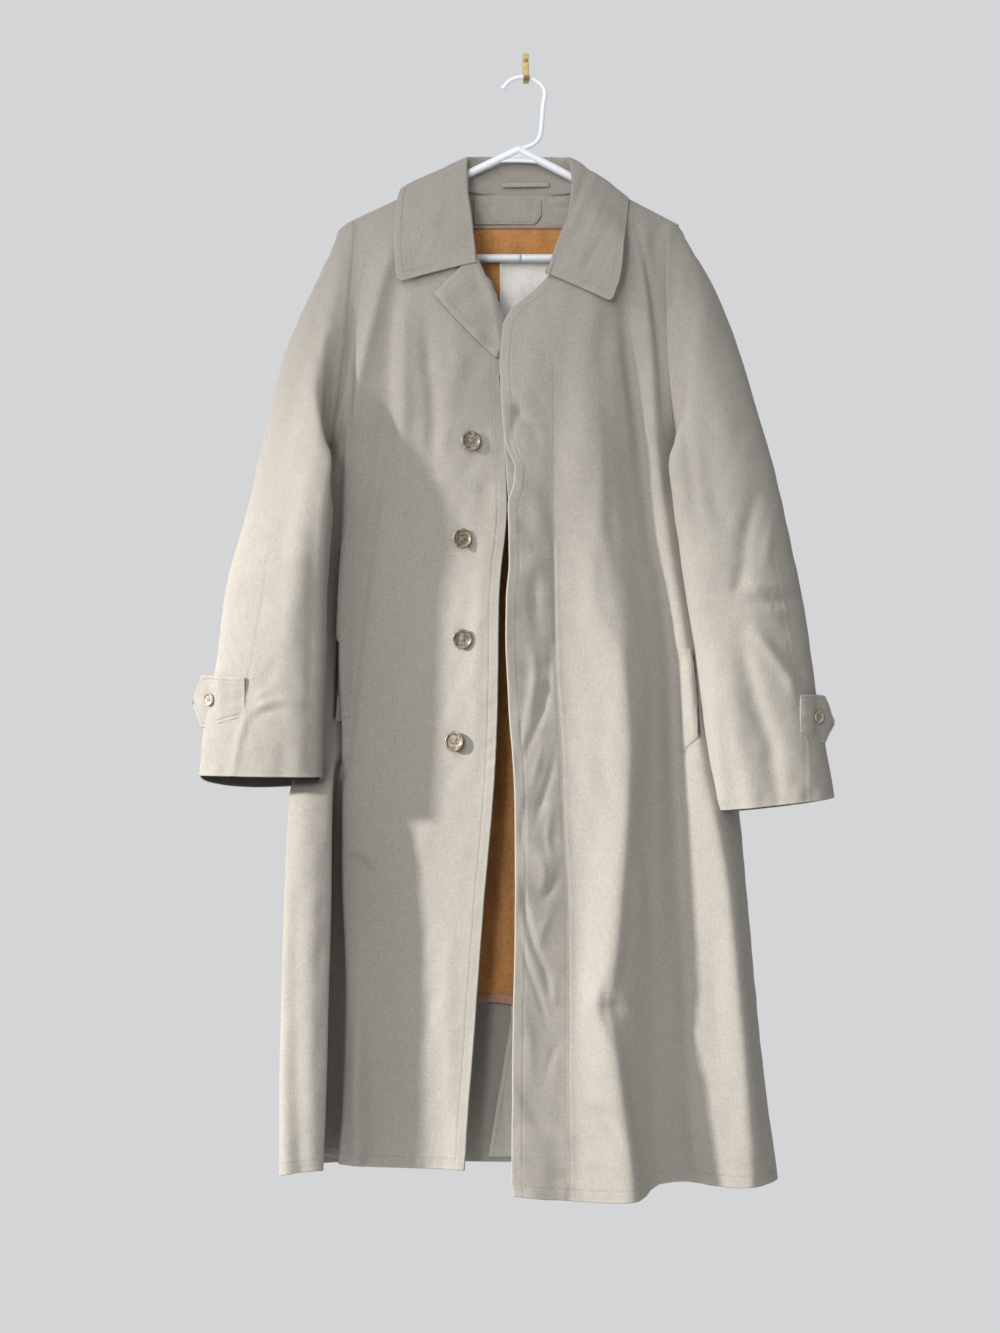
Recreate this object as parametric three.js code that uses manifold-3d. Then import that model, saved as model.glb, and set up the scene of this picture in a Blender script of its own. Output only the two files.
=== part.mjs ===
// A single-breasted fly-front raincoat on a moulded plastic hanger, hung from a small brass wall hook.
// Millimetres. +Z is up, the wall is the plane y = 0 and everything else is at y < 0, +X is to the
// right when facing the wall. The origin is the middle of the wall hook's back face.
import * as THREE from "three";
import { mergeVertices } from "three/addons/utils/BufferGeometryUtils.js";
import Module from "manifold-3d";

const wasm = await Module();
wasm.setup();

// ------------------------------------------------------------------ driving sizes
const CLOTH = 1.6; // wall of the raincoat cloth, two layers at the edges
const GAP = 0.3; // at every seam
const LINING = 2.0; // pile lining
const COLLAR_T = 2.2; // two cloths and the interlining
const PLATE = { w: 7.6, h: 35, t: 2.2 }; // wall hook's back plate
const HANGER = { y: -24, tube: 4.5, wire: 2.3, peak: [-8, -99] }; // plane, tube and wire radii, neck
const ARM_L = { x: -194, z: -188.5 }; // where each arm bends round to the bar
const ARM_R = { x: 164, z: -190 };
const BAR_Z = -225.5;
const BUTTON = { d: 23, t: 4.2, hole: 2.2, pitch: 5.0 };
const CUFF_BUTTON = { d: 14.5, t: 3.2, hole: 1.6, pitch: 3.4 };

const COL = {
  cloth: 0xb3ada1, lining: 0xa0622c, binding: 0xb98f86, label: 0xe8e6e0,
  hanger: 0xeceff2, brass: 0xb99b55, button: 0x7c7263,
};

// ------------------------------------------------------------------ small vector and curve tools
const V = (x, y, z) => new THREE.Vector3(x, y, z);
const mix = (a, b, k) => a + (b - a) * k;
const rad = (d) => (d * Math.PI) / 180;

// Monotone cubic through (xs, ys): no overshoot, so a fold's ridge stays on its own line.
function pchip(xs, ys) {
  const n = xs.length;
  const h = [], d = [], m = new Array(n).fill(0);
  for (let i = 0; i < n - 1; i++) {
    h.push(xs[i + 1] - xs[i]);
    d.push((ys[i + 1] - ys[i]) / h[i]);
  }
  for (let i = 1; i < n - 1; i++) {
    if (d[i - 1] * d[i] <= 0) continue;
    const w1 = 2 * h[i] + h[i - 1], w2 = h[i] + 2 * h[i - 1];
    m[i] = (w1 + w2) / (w1 / d[i - 1] + w2 / d[i]);
  }
  m[0] = d[0];
  m[n - 1] = d[n - 2];
  return (x) => {
    let i = 0;
    while (i < n - 2 && x > xs[i + 1]) i++;
    const t = (x - xs[i]) / h[i], t2 = t * t, t3 = t2 * t;
    return (2 * t3 - 3 * t2 + 1) * ys[i] + (t3 - 2 * t2 + t) * h[i] * m[i] +
      (3 * t2 - 2 * t3) * ys[i + 1] + (t3 - t2) * h[i] * m[i + 1];
  };
}

// A surface through sections: rows[r][c] are points; the result takes a column and a row number.
function sections(rows) {
  const R = rows.length, C = rows[0].length;
  const rowKnot = [0], colKnot = [0];
  for (let r = 1; r < R; r++) {
    let s = 0;
    for (let c = 0; c < C; c++) s += rows[r][c].distanceTo(rows[r - 1][c]);
    rowKnot.push(rowKnot[r - 1] + s / C);
  }
  for (let c = 1; c < C; c++) {
    let s = 0;
    for (let r = 0; r < R; r++) s += rows[r][c].distanceTo(rows[r][c - 1]);
    colKnot.push(colKnot[c - 1] + s / R);
  }
  const along = [];
  for (let c = 0; c < C; c++) {
    along.push(["x", "y", "z"].map((a) => pchip(rowKnot, rows.map((row) => row[c][a]))));
  }
  const at = (knot, v) => {
    const i = Math.max(0, Math.min(knot.length - 2, Math.floor(v)));
    return mix(knot[i], knot[i + 1], v - i);
  };
  const f = (t, s) => {
    const w = at(rowKnot, s), u = at(colKnot, t);
    const xyz = [0, 1, 2].map((a) => pchip(colKnot, along.map((g) => g[a](w)))(u));
    return V(...xyz);
  };
  f.cols = C - 1;
  f.rows = R - 1;
  return f;
}

// Where a surface passes over (x, z), by Newton steps from a first guess.
function locate(f, x, z, t, s) {
  const e = 1e-3;
  for (let k = 0; k < 60; k++) {
    t = Math.max(0, Math.min(f.cols, t));
    s = Math.max(0, Math.min(f.rows, s));
    const p = f(t, s);
    const ta = Math.min(t, f.cols - e), sa = Math.min(s, f.rows - e);
    const q = f(ta, sa), pt = f(ta + e, sa).sub(q).divideScalar(e), ps = f(ta, sa + e).sub(q).divideScalar(e);
    const dx = x - p.x, dz = z - p.z, det = pt.x * ps.z - ps.x * pt.z;
    if (Math.abs(dx) + Math.abs(dz) < 1e-4) break;
    const dt = (dx * ps.z - ps.x * dz) / det, ds = (pt.x * dz - dx * pt.z) / det;
    const k1 = Math.min(1, 0.6 / Math.max(Math.abs(dt), Math.abs(ds), 1e-9));
    t += dt * k1;
    s += ds * k1;
  }
  return [t, s];
}

function normalAt(f, t, s, hint) {
  const e = 1e-3, t0 = Math.max(0, t - e), t1 = Math.min(f.cols, t + e);
  const s0 = Math.max(0, s - e), s1 = Math.min(f.rows, s + e);
  const n = f(t1, s).sub(f(t0, s)).cross(f(t, s1).sub(f(t, s0))).normalize();
  return n.dot(hint) < 0 ? n.negate() : n;
}

// ------------------------------------------------------------------ cloth walls
// A sheet is a grid of points on its outer face with a normal at each; solid() makes it a wall.
function sheet(grid, hint, wrap = false) {
  const R = grid.length, C = grid[0].length;
  const at = (i, j) => grid[Math.max(0, Math.min(R - 1, i))][wrap ? (j + C) % C : Math.max(0, Math.min(C - 1, j))];
  const N = grid.map((row, i) => row.map((_, j) =>
    V(0, 0, 0).copy(at(i, j + 1)).sub(at(i, j - 1)).cross(V(0, 0, 0).copy(at(i + 1, j)).sub(at(i - 1, j))).normalize()));
  let sum = 0;
  for (let i = 0; i < R; i++) for (let j = 0; j < C; j++) sum += N[i][j].dot(hint(grid[i][j]));
  if (sum < 0) N.forEach((row) => row.forEach((n) => n.negate()));
  return { P: grid.map((row) => row.map((p) => p.clone())), N, R, C, wrap, move: grid.map((row) => row.map(() => V(0, 0, 0))), scale: grid.map((row) => row.map(() => 1)) };
}

// Two sheets share an edge: one mitred normal, and half the seam's gap taken off each.
function seam(a, edgeA, b, edgeB) {
  edgeA.forEach(([i, j], k) => {
    const [m, n] = edgeB[k];
    const na = a.N[i][j], nb = b.N[m][n];
    const s = na.clone().add(nb);
    if (s.length() < 0.2) s.copy(na);
    s.normalize();
    const sc = Math.min(1.5, 1 / Math.max(0.45, s.dot(na)));
    a.N[i][j] = s.clone();
    b.N[m][n] = s.clone();
    a.scale[i][j] = b.scale[m][n] = sc;
  });
}
function pull(a, edge, inward, amount = GAP * 0.75) {
  edge.forEach(([i, j], k) => {
    const [m, n] = inward[k];
    a.move[i][j].add(a.P[m][n].clone().sub(a.P[i][j]).normalize().multiplyScalar(amount));
  });
}

function solid(a, thick, out = 0) {
  const { R, C, wrap } = a;
  const pos = [], idx = [];
  for (const k of [0, 1]) {
    for (let i = 0; i < R; i++) {
      for (let j = 0; j < C; j++) {
        const p = a.P[i][j].clone().add(a.move[i][j]).addScaledVector(a.N[i][j], out - k * thick * a.scale[i][j]);
        pos.push(p.x, p.y, p.z);
      }
    }
  }
  const id = (k, i, j) => k * R * C + i * C + ((j + C) % C);
  const quad = (p, q, r, s) => idx.push(p, q, r, p, r, s);
  const cols = wrap ? C : C - 1;
  for (let i = 0; i < R - 1; i++) {
    for (let j = 0; j < cols; j++) {
      quad(id(0, i, j), id(0, i, j + 1), id(0, i + 1, j + 1), id(0, i + 1, j));
      idx.push(id(1, i, j), id(1, i + 1, j + 1), id(1, i, j + 1), id(1, i, j), id(1, i + 1, j), id(1, i + 1, j + 1));
    }
  }
  for (let j = 0; j < cols; j++) {
    quad(id(0, 0, j + 1), id(0, 0, j), id(1, 0, j), id(1, 0, j + 1));
    quad(id(0, R - 1, j), id(0, R - 1, j + 1), id(1, R - 1, j + 1), id(1, R - 1, j));
  }
  if (!wrap) {
    for (let i = 0; i < R - 1; i++) {
      quad(id(0, i, 0), id(0, i + 1, 0), id(1, i + 1, 0), id(1, i, 0));
      quad(id(0, i + 1, C - 1), id(0, i, C - 1), id(1, i, C - 1), id(1, i + 1, C - 1));
    }
  }
  return outwards(geometry(pos, idx));
}

function geometry(pos, idx) {
  const g = new THREE.BufferGeometry();
  g.setAttribute("position", new THREE.BufferAttribute(new Float32Array(pos), 3));
  g.setIndex(idx);
  return g;
}

function outwards(g) {
  const p = g.attributes.position, ix = g.index.array, a = V(0, 0, 0), b = V(0, 0, 0), c = V(0, 0, 0);
  let vol = 0;
  for (let i = 0; i < ix.length; i += 3) {
    a.fromBufferAttribute(p, ix[i]);
    b.fromBufferAttribute(p, ix[i + 1]);
    c.fromBufferAttribute(p, ix[i + 2]);
    vol += a.dot(b.cross(c));
  }
  if (vol < 0) {
    const f = Array.from(ix);
    for (let i = 0; i < f.length; i += 3) [f[i + 1], f[i + 2]] = [f[i + 2], f[i + 1]];
    g.setIndex(f);
  }
  return g;
}

// ------------------------------------------------------------------ manifold joins and cuts
function toManifold(g0) {
  const g = g0.clone();
  g.deleteAttribute("normal");
  g.deleteAttribute("uv");
  const m = mergeVertices(g, 1e-4);
  return new wasm.Manifold(new wasm.Mesh({
    numProp: 3,
    vertProperties: new Float32Array(m.attributes.position.array),
    triVerts: new Uint32Array(m.index.array),
  }));
}
function fromManifold(man) {
  const m = man.getMesh();
  return geometry(Array.from(m.vertProperties), Array.from(m.triVerts));
}
const join = (...gs) => fromManifold(gs.map(toManifold).reduce((a, b) => a.add(b)));
const cut = (g, ...tools) => fromManifold(tools.map(toManifold).reduce((a, b) => a.subtract(b), toManifold(g)));

// ------------------------------------------------------------------ the armholes and sleeves
// One row a ring, from the armhole to the cuff. The outer point is the sleeve's top or outside, the
// inner point its underarm seam; fwd and bwd are how far it stands forward of them and behind them,
// bow leans the front of the ring towards the chest, tilt drops the back of the ring.
const SLEEVE_COLS = ["outer_x", "outer_z", "outer_y", "inner_x", "inner_z", "inner_y", "fwd", "bwd", "bow", "tilt"];
const SLEEVE_LEFT = {
  armhole: [-205, -184, -24, -231, -445, -40, 42, 21, 13, 0],
  cap: [-226, -199, -27, -244, -458, -50, 45, 22, 12, 0],
  head: [-244, -240, -36, -241, -474, -63, 44, 24, 9, 0],
  upper: [-266, -294, -46, -229, -497, -74, 42, 26, 5, 0],
  bicep: [-290, -375, -64, -221, -532, -83, 40, 27, 2, 0],
  above_elbow: [-314, -484, -76, -222, -578, -89, 38, 27, 0, 0],
  elbow: [-339, -599, -87, -226, -635, -90, 36, 27, 0, 0],
  forearm: [-355, -707, -92, -228, -718, -92, 34, 26, 0, 2],
  strap: [-367, -764, -92, -231, -769, -92, 32, 25, 0, 8],
  cuff: [-373, -820, -91, -234, -821, -91, 31, 24, 0, 14],
};
const SLEEVE_RIGHT = {
  armhole: [175, -186, -24, 186, -454, -40, 42, 21, -21, 0],
  cap: [207, -220, -29, 199, -468, -52, 46, 22, -26, 0],
  head: [225, -258, -38, 194, -484, -68, 46, 24, -24, 0],
  upper: [241, -311, -48, 180, -506, -79, 44, 25, -16, 0],
  bicep: [263, -387, -60, 171, -541, -85, 42, 26, -6, 0],
  above_elbow: [286, -474, -70, 174, -580, -88, 40, 27, 0, 0],
  elbow: [312, -604, -80, 181, -637, -89, 38, 27, 0, 0],
  forearm: [327, -707, -84, 193, -724, -86, 36, 26, 0, 0],
  strap: [340, -775, -85, 201, -786, -86, 34, 25, 0, 2],
  cuff: [350, -845, -85, 217, -860, -86, 33, 24, 0, 5],
};
// The angle round the ring at each section of the body above the underarm, 0 at the shoulder.
const ARM_ANGLE = pchip([0, 1, 2, 3, 4, 5, 6], [0, 12, 45, 80, 110, 142, 180]);

function sleeveSurface(table) {
  const rings = Object.values(table).map((row) => Object.fromEntries(SLEEVE_COLS.map((n, i) => [n, row[i]])));
  const knot = rings.map((_, i) => i);
  const run = Object.fromEntries(SLEEVE_COLS.map((n) => [n, pchip(knot, rings.map((r) => r[n]))]));
  // angle in degrees, negative at the back; r from 0 at the armhole to 9 at the cuff
  const f = (angle, r) => {
    const a = rad(Math.abs(angle)), c = (1 - Math.cos(a)) / 2, s = Math.pow(Math.max(0, Math.sin(a)), 0.85);
    const front = angle >= 0;
    const g = (n) => run[n](r);
    return V(
      mix(g("outer_x"), g("inner_x"), c) + g("bow") * Math.pow(s, 0.7) * (front ? 1 : 0.2),
      mix(g("outer_y"), g("inner_y"), c) + (front ? -g("fwd") : g("bwd")) * s,
      mix(g("outer_z"), g("inner_z"), c) - (front ? 0 : g("tilt") * s),
    );
  };
  f.last = rings.length - 1;
  return f;
}
const armLeft = sleeveSurface(SLEEVE_LEFT);
const armRight = sleeveSurface(SLEEVE_RIGHT);

// ------------------------------------------------------------------ the fronts and backs
// One row a section, from the shoulder line to the hem; z is given at the panel's free edge and at
// its side. The columns are the fold lines, each "x, y" and how far it hangs above that line. Above
// the underarm the last column is the armhole itself.
const PANEL_ROWS = ["shoulder", "bend", "yoke", "gorge", "lapel", "chest", "underarm", "waist", "pocket", "welt", "thigh", "knee", "shin", "hem"];

// Wearer's left, on top: the front edge, the fly's stitch line, the big flute's ridge, its foot,
// the flat valley, the side roll, the outline and the side seam behind it.
const FRONT_RIGHT = {
  //        z edge  z side   edge        fly         ridge        foot        valley      roll        flank       seam
  shoulder: [-130, 0, [68, -24], [80, -24], [95, -24], [111, -24], [126, -24], [141, -24], [158, -24], 0],
  bend: [-134.5, 0, [67, -31.8], [80, -31.8], [95, -31.8], [111, -31.8], [126, -31.8], [141, -31.8], [158, -32], 0],
  yoke: [-185, 0, [58, -62], [71, -67], [88, -70], [104, -68], [118, -62], [133, -65], [148, -59], 0],
  gorge: [-253, 0, [27, -84], [50, -89], [76, -90], [98, -84], [113, -76], [133, -80], [149, -74], 0],
  lapel: [-306, 0, [-24, -86], [34, -91], [74, -92], [104, -84], [118, -75], [141, -81], [153, -75], 0],
  chest: [-346, 0, [-29, -87], [22, -92], [78, -93], [110, -84], [126, -74], [146, -80], [158, -74], 0],
  underarm: [-437, 0, [-25, -88], [23, -92], [81, -93], [113, -83], [132, -71], [149, -73], [171, -57], 0],
  waist: [-560, -560, [-18, -89], [28, -90], [87, -98], [129, -84], [147, -73], [161, -72], [201, -36], [193, -22]],
  pocket: [-690, -690, [-21, -90], [33, -90], [107, -106], [145, -88], [167, -75], [180, -78], [223, -38], [211, -19]],
  welt: [-800, -800, [-16, -93], [39, -92], [114, -110], [147, -91], [174, -78], [194, -79], [239, -42], [226, -18]],
  thigh: [-930, -930, [-13, -97], [45, -95], [105, -113], [147, -93], [179, -80], [224, -90], [251, -45], [237, -18]],
  knee: [-1070, -1070, [-14, -102], [46, -98], [95, -117], [145, -94], [185, -82], [239, -95], [263, -46], [248, -18]],
  shin: [-1190, -1188, [-16, -107], [46, -102], [106, -123, -1], [146, -97], [193, -85, 2], [249, -98], [275, -46], [260, -18]],
  hem: [-1291, -1285, [-14, -111], [46, -106, -1], [118, -128, -6], [153, -101, 1], [197, -87, 6], [254, -100, 1], [288, -44], [272, -18]],
};
// Wearer's right, underneath: the front edge (above the break it is the lapel's roll), the middle, a
// soft ridge, a soft crease, the turn into the recess, the recess, the side flute's inner face, its
// ridge, the outline and the side seam.
const FRONT_LEFT = {
  //        z edge  z side   edge       middle      soft         crease       turn        recess       inner       flute        flank       seam
  shoulder: [-127, 0, [-84, -24], [-98, -24], [-114, -24], [-128, -24], [-142, -24], [-155, -24], [-167, -24], [-180, -24], [-192, -24], 0],
  bend: [-131.5, 0, [-83, -31.8], [-98, -31.8], [-114, -31.8], [-128, -31.8], [-142, -31.8], [-155, -31.8], [-167, -31.8], [-180, -32], [-192, -32], 0],
  yoke: [-190, 0, [-72, -62], [-88, -68], [-116, -70], [-132, -68], [-150, -68], [-162, -64], [-173, -61], [-183, -59], [-192, -57], 0],
  gorge: [-226, 0, [-59, -80], [-86, -84], [-130, -82], [-148, -77], [-166, -79], [-176, -75], [-184, -72], [-191, -70], [-197, -70], 0],
  lapel: [-267, 0, [-43, -82], [-84, -86], [-136, -84], [-156, -76], [-183, -80], [-191, -75], [-197, -72], [-202, -71], [-206, -72], 0],
  chest: [-341, 0, [-30, -82], [-84, -86], [-138, -82], [-159, -73], [-197, -75], [-204, -69], [-209, -65], [-212, -62], [-215, -62], 0],
  underarm: [-437, 0, [-19, -80], [-84, -80], [-140, -74], [-165, -67], [-206, -64], [-208, -60], [-211, -57], [-215, -54], [-220, -50], 0],
  waist: [-560, -560, [-26, -80], [-90, -72], [-143, -64], [-179, -59], [-211, -56], [-212, -42], [-221, -42], [-234, -46], [-248, -32], [-238, -21]],
  pocket: [-690, -690, [-33, -80], [-95, -67], [-147, -59], [-188, -56], [-216, -53], [-211, -32], [-222, -44], [-238, -56], [-258, -38], [-246, -18]],
  welt: [-800, -800, [-36, -80], [-98, -65], [-150, -58], [-189, -55], [-211, -52], [-204, -29], [-220, -50], [-240, -61], [-267, -44], [-254, -18]],
  thigh: [-930, -930, [-46, -79], [-107, -64], [-154, -57], [-188, -54], [-212, -51], [-214, -26], [-219, -98], [-249, -106], [-273, -94], [-260, -18]],
  knee: [-1070, -1070, [-57, -79], [-108, -64], [-154, -57], [-187, -54], [-207, -50], [-215, -26], [-222, -102], [-252, -110], [-277, -98], [-265, -18]],
  shin: [-1190, -1190, [-66, -80], [-105, -66], [-153, -58], [-187, -54], [-210, -50], [-216, -26], [-225, -104], [-255, -112], [-279, -101], [-266, -18]],
  hem: [-1268, -1274, [-70, -81], [-103, -68], [-153, -59], [-187, -55], [-216, -50], [-219, -26], [-228, -104], [-257, -113], [-279, -102], [-265, -18]],
};
// The backs, next to the wall: the centre seam, three soft folds and the side.
const BACK_RIGHT = {
  //        z centre z side  centre      fold a      fold b       fold c      side
  shoulder: [-130, 0, [68, -24], [95, -24], [122, -24], [149, -24], 0],
  bend: [-135, 0, [63, -16.2], [92, -16.2], [120, -16.2], [148, -16.2], 0],
  yoke: [-151, 0, [-8, -8.5], [42, -9], [90, -10], [136, -9], 0],
  gorge: [-220, 0, [-8, -8.5], [42, -8], [92, -11], [138, -7], 0],
  lapel: [-290, 0, [-8, -9], [43, -7], [93, -12], [140, -7], 0],
  chest: [-368, 0, [-8, -10], [44, -7], [95, -13], [144, -7], 0],
  underarm: [-437, 0, [-8, -11], [45, -7], [98, -14], [150, -8], 0],
  waist: [-560, -560, [-8, -12], [46, -7], [103, -15], [156, -8], 1],
  pocket: [-690, -690, [-8, -12], [48, -7], [108, -17], [166, -7], 1],
  welt: [-800, -800, [-8, -12], [50, -6], [113, -19], [175, -7], 1],
  thigh: [-930, -930, [-8, -12], [52, -6], [118, -21], [184, -7], 1],
  knee: [-1070, -1070, [-8, -12], [54, -6], [123, -23], [192, -6], 1],
  shin: [-1188, -1188, [-7, -11], [56, -6], [127, -25], [200, -6], 1],
  hem: [-1277, -1285, [-5, -10], [58, -6], [131, -27], [208, -6], 1],
};
const BACK_LEFT = {
  shoulder: [-127, 0, [-84, -24], [-115, -24], [-147, -24], [-178, -24], 0],
  bend: [-132, 0, [-79, -16.2], [-112, -16.2], [-145, -16.2], [-177, -16.2], 0],
  yoke: [-151, 0, [-8, -8.5], [-58, -9], [-112, -10], [-162, -9], 0],
  gorge: [-220, 0, [-8, -8.5], [-58, -8], [-111, -10], [-160, -7], 0],
  lapel: [-290, 0, [-8, -9], [-58, -7], [-112, -11], [-163, -7], 0],
  chest: [-368, 0, [-8, -10], [-60, -7], [-114, -12], [-168, -7], 0],
  underarm: [-437, 0, [-8, -11], [-61, -7], [-117, -13], [-175, -9], 0],
  waist: [-560, -560, [-8, -12], [-63, -7], [-121, -14], [-183, -8], 1],
  pocket: [-690, -690, [-8, -12], [-65, -7], [-127, -15], [-190, -7], 1],
  welt: [-800, -800, [-8, -12], [-67, -6], [-132, -17], [-198, -7], 1],
  thigh: [-930, -930, [-8, -12], [-69, -6], [-137, -18], [-205, -7], 1],
  knee: [-1070, -1070, [-8, -12], [-71, -6], [-141, -20], [-209, -6], 1],
  shin: [-1190, -1190, [-10, -11], [-73, -6], [-144, -21], [-211, -6], 1],
  hem: [-1272, -1274, [-13, -10], [-75, -6], [-147, -22], [-212, -6], 1],
};
const UNDERARM = 6;

function panelSurface(table, arm, back, partner) {
  const names = PANEL_ROWS;
  return sections(names.map((n, r) => {
    const row = table[n], cells = row.slice(2, -1), zEdge = row[0];
    const end = r <= UNDERARM ? arm(ARM_ANGLE(r) * (back ? -1 : 1), 0)
      : back ? (() => { const q = partner[n]; const w = q[q.length - 1]; return V(w[0], w[1], q[1]); })()
        : V(row[row.length - 1][0], row[row.length - 1][1], row[1]);
    const pts = cells.map(([x, y, dz = 0]) => V(x, y, mix(zEdge, end.z, (x - cells[0][0]) / (end.x - cells[0][0])) + dz));
    return [...pts, end];
  }));
}
const frontRight = panelSurface(FRONT_RIGHT, armRight, false);
const frontLeft = panelSurface(FRONT_LEFT, armLeft, false);
const backRight = panelSurface(BACK_RIGHT, armRight, true, FRONT_RIGHT);
const backLeft = panelSurface(BACK_LEFT, armLeft, true, FRONT_LEFT);

// Rows sampled by every panel, so that the seams meet point for point.
const ROW_STEPS = [1, 2, 2, 1, 1, 1, 2, 1, 2, 1, 2, 1, 1];
const ROWS = [0];
ROW_STEPS.forEach((n, r) => { for (let k = 1; k <= n; k++) ROWS.push(r + k / n); });
const ARM_ROWS = ROWS.filter((s) => s <= UNDERARM);

const colsOf = (f, per) => {
  const out = [0];
  for (let c = 0; c < f.cols; c++) for (let k = 1; k <= per; k++) out.push(c + k / per);
  return out;
};
const gridOf = (f, cols, rows) => rows.map((s) => cols.map((t) => f(t, s)));
const forward = () => V(0, -1, 0), backward = () => V(0, 1, 0);

const GRID = Object.fromEntries(Object.entries({ frontRight, frontLeft, backRight, backLeft })
  .map(([n, f]) => [n, gridOf(f, colsOf(f, 2), ROWS)]));
// The panels meet point for point: on the armhole's ring above the underarm, on one side seam below it.
for (const [front, back, arm] of [[GRID.frontRight, GRID.backRight, armRight], [GRID.frontLeft, GRID.backLeft, armLeft]]) {
  ROWS.forEach((s, i) => {
    const fc = front[i].length - 1, bc = back[i].length - 1;
    if (s <= UNDERARM) {
      front[i][fc] = arm(ARM_ANGLE(s), 0);
      back[i][bc] = arm(-ARM_ANGLE(s), 0);
    } else back[i][bc] = front[i][fc].clone();
  });
}
GRID.backLeft.forEach((row, i) => { if (ROWS[i] > 1.9) row[0] = GRID.backRight[i][0].clone(); });
const FR = sheet(GRID.frontRight, forward);
const FL = sheet(GRID.frontLeft, forward);
const BR = sheet(GRID.backRight, backward);
const BL = sheet(GRID.backLeft, backward);

// Sleeves: the ring's points are the armhole's own, front then back.
function sleeveSheet(f) {
  const front = ARM_ROWS.map((s) => ARM_ANGLE(s));
  const around = [...front, ...front.slice(1, -1).reverse().map((a) => -a)];
  const rings = [0, 0.6, 1.3, 2, 3, 4, 5, 6, 7, 8, 9];
  const mid = (r) => f(90, r).add(f(-90, r)).multiplyScalar(0.5);
  return sheet(rings.map((r) => around.map((a) => f(a, r))), (p) => {
    let best = mid(0), d = 1e9;
    for (let r = 0; r <= 9; r++) { const m = mid(r); if (m.distanceTo(p) < d) { d = m.distanceTo(p); best = m; } }
    return p.clone().sub(best).normalize();
  }, true);
}
const SR = sleeveSheet(armRight);
const SL = sleeveSheet(armLeft);

const nArm = ARM_ROWS.length, last = ROWS.length - 1;
const range = (n, f) => Array.from({ length: n }, (_, k) => f(k));
for (const [F, B, S] of [[FR, BR, SR], [FL, BL, SL]]) {
  const fc = F.C - 1, bc = B.C - 1;
  // side seam, below the underarm
  const side = range(last - nArm + 1, (k) => k + nArm);
  seam(F, side.map((i) => [i, fc]), B, side.map((i) => [i, bc]));
  pull(F, side.map((i) => [i, fc]), side.map((i) => [i, fc - 1]));
  pull(B, side.map((i) => [i, bc]), side.map((i) => [i, bc - 1]));
  // armhole
  const ring = range(nArm, (k) => k);
  seam(F, ring.slice(1, -1).map((i) => [i, fc]), S, ring.slice(1, -1).map((i) => [0, i]));
  seam(B, ring.slice(1, -1).map((i) => [i, bc]), S, ring.slice(1, -1).map((i) => [0, S.C - i]));
  for (const [i, j] of [[0, 0], [nArm - 1, nArm - 1]]) {
    const n = F.N[i][fc].clone().add(B.N[i][bc]).normalize().add(S.N[0][j]).normalize();
    F.N[i][fc] = n.clone();
    B.N[i][bc] = n.clone();
    S.N[0][j] = n.clone();
  }
  pull(F, ring.map((i) => [i, fc]), ring.map((i) => [i, fc - 1]));
  pull(B, ring.map((i) => [i, bc]), ring.map((i) => [i, bc - 1]));
  pull(S, range(S.C, (j) => [0, j]), range(S.C, (j) => [1, j]));
  pull(F, [[nArm - 1, fc]], [[nArm, fc]]);
  pull(B, [[nArm - 1, bc]], [[nArm, bc]]);
  // shoulder seam, each point over its own place on the other panel
  for (const [A, down] of [[F, -1], [B, 1]]) {
    for (let j = 0; j < A.C - 1; j++) {
      A.N[0][j] = V(0, 0, 1);
      A.move[0][j].add(V(0, down * GAP * 0.75, 0));
    }
    A.move[0][A.C - 1].add(V(0, down * GAP * 0.75, 0));
  }
}
// centre back seam
seam(BR, range(last + 1, (i) => [i, 0]).slice(3), BL, range(last + 1, (i) => [i, 0]).slice(3));
pull(BR, range(last + 1, (i) => [i, 0]), range(last + 1, (i) => [i, 1]));
pull(BL, range(last + 1, (i) => [i, 0]), range(last + 1, (i) => [i, 1]));

// ------------------------------------------------------------------ pieces laid on a panel
// A patch between four corners (x, z), moved out of the panel by `out`.
function patch(f, corners, n, m, out, hint, guess) {
  let g = guess;
  const grid = range(m + 1, (i) => range(n + 1, (j) => {
    const u = j / n, v = i / m, [a, b, c, d] = corners;
    const x = mix(mix(a[0], b[0], u), mix(d[0], c[0], u), v), z = mix(mix(a[1], b[1], u), mix(d[1], c[1], u), v);
    const [t, s] = locate(f, x, z, ...g);
    if (j === 0) g = [t, s];
    const o = typeof out === "function" ? out(u, v) : out;
    return f(t, s).addScaledVector(normalAt(f, t, s, hint), o);
  }));
  return sheet(grid, () => hint);
}
const FRONT = V(0, -1, 0);

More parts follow.
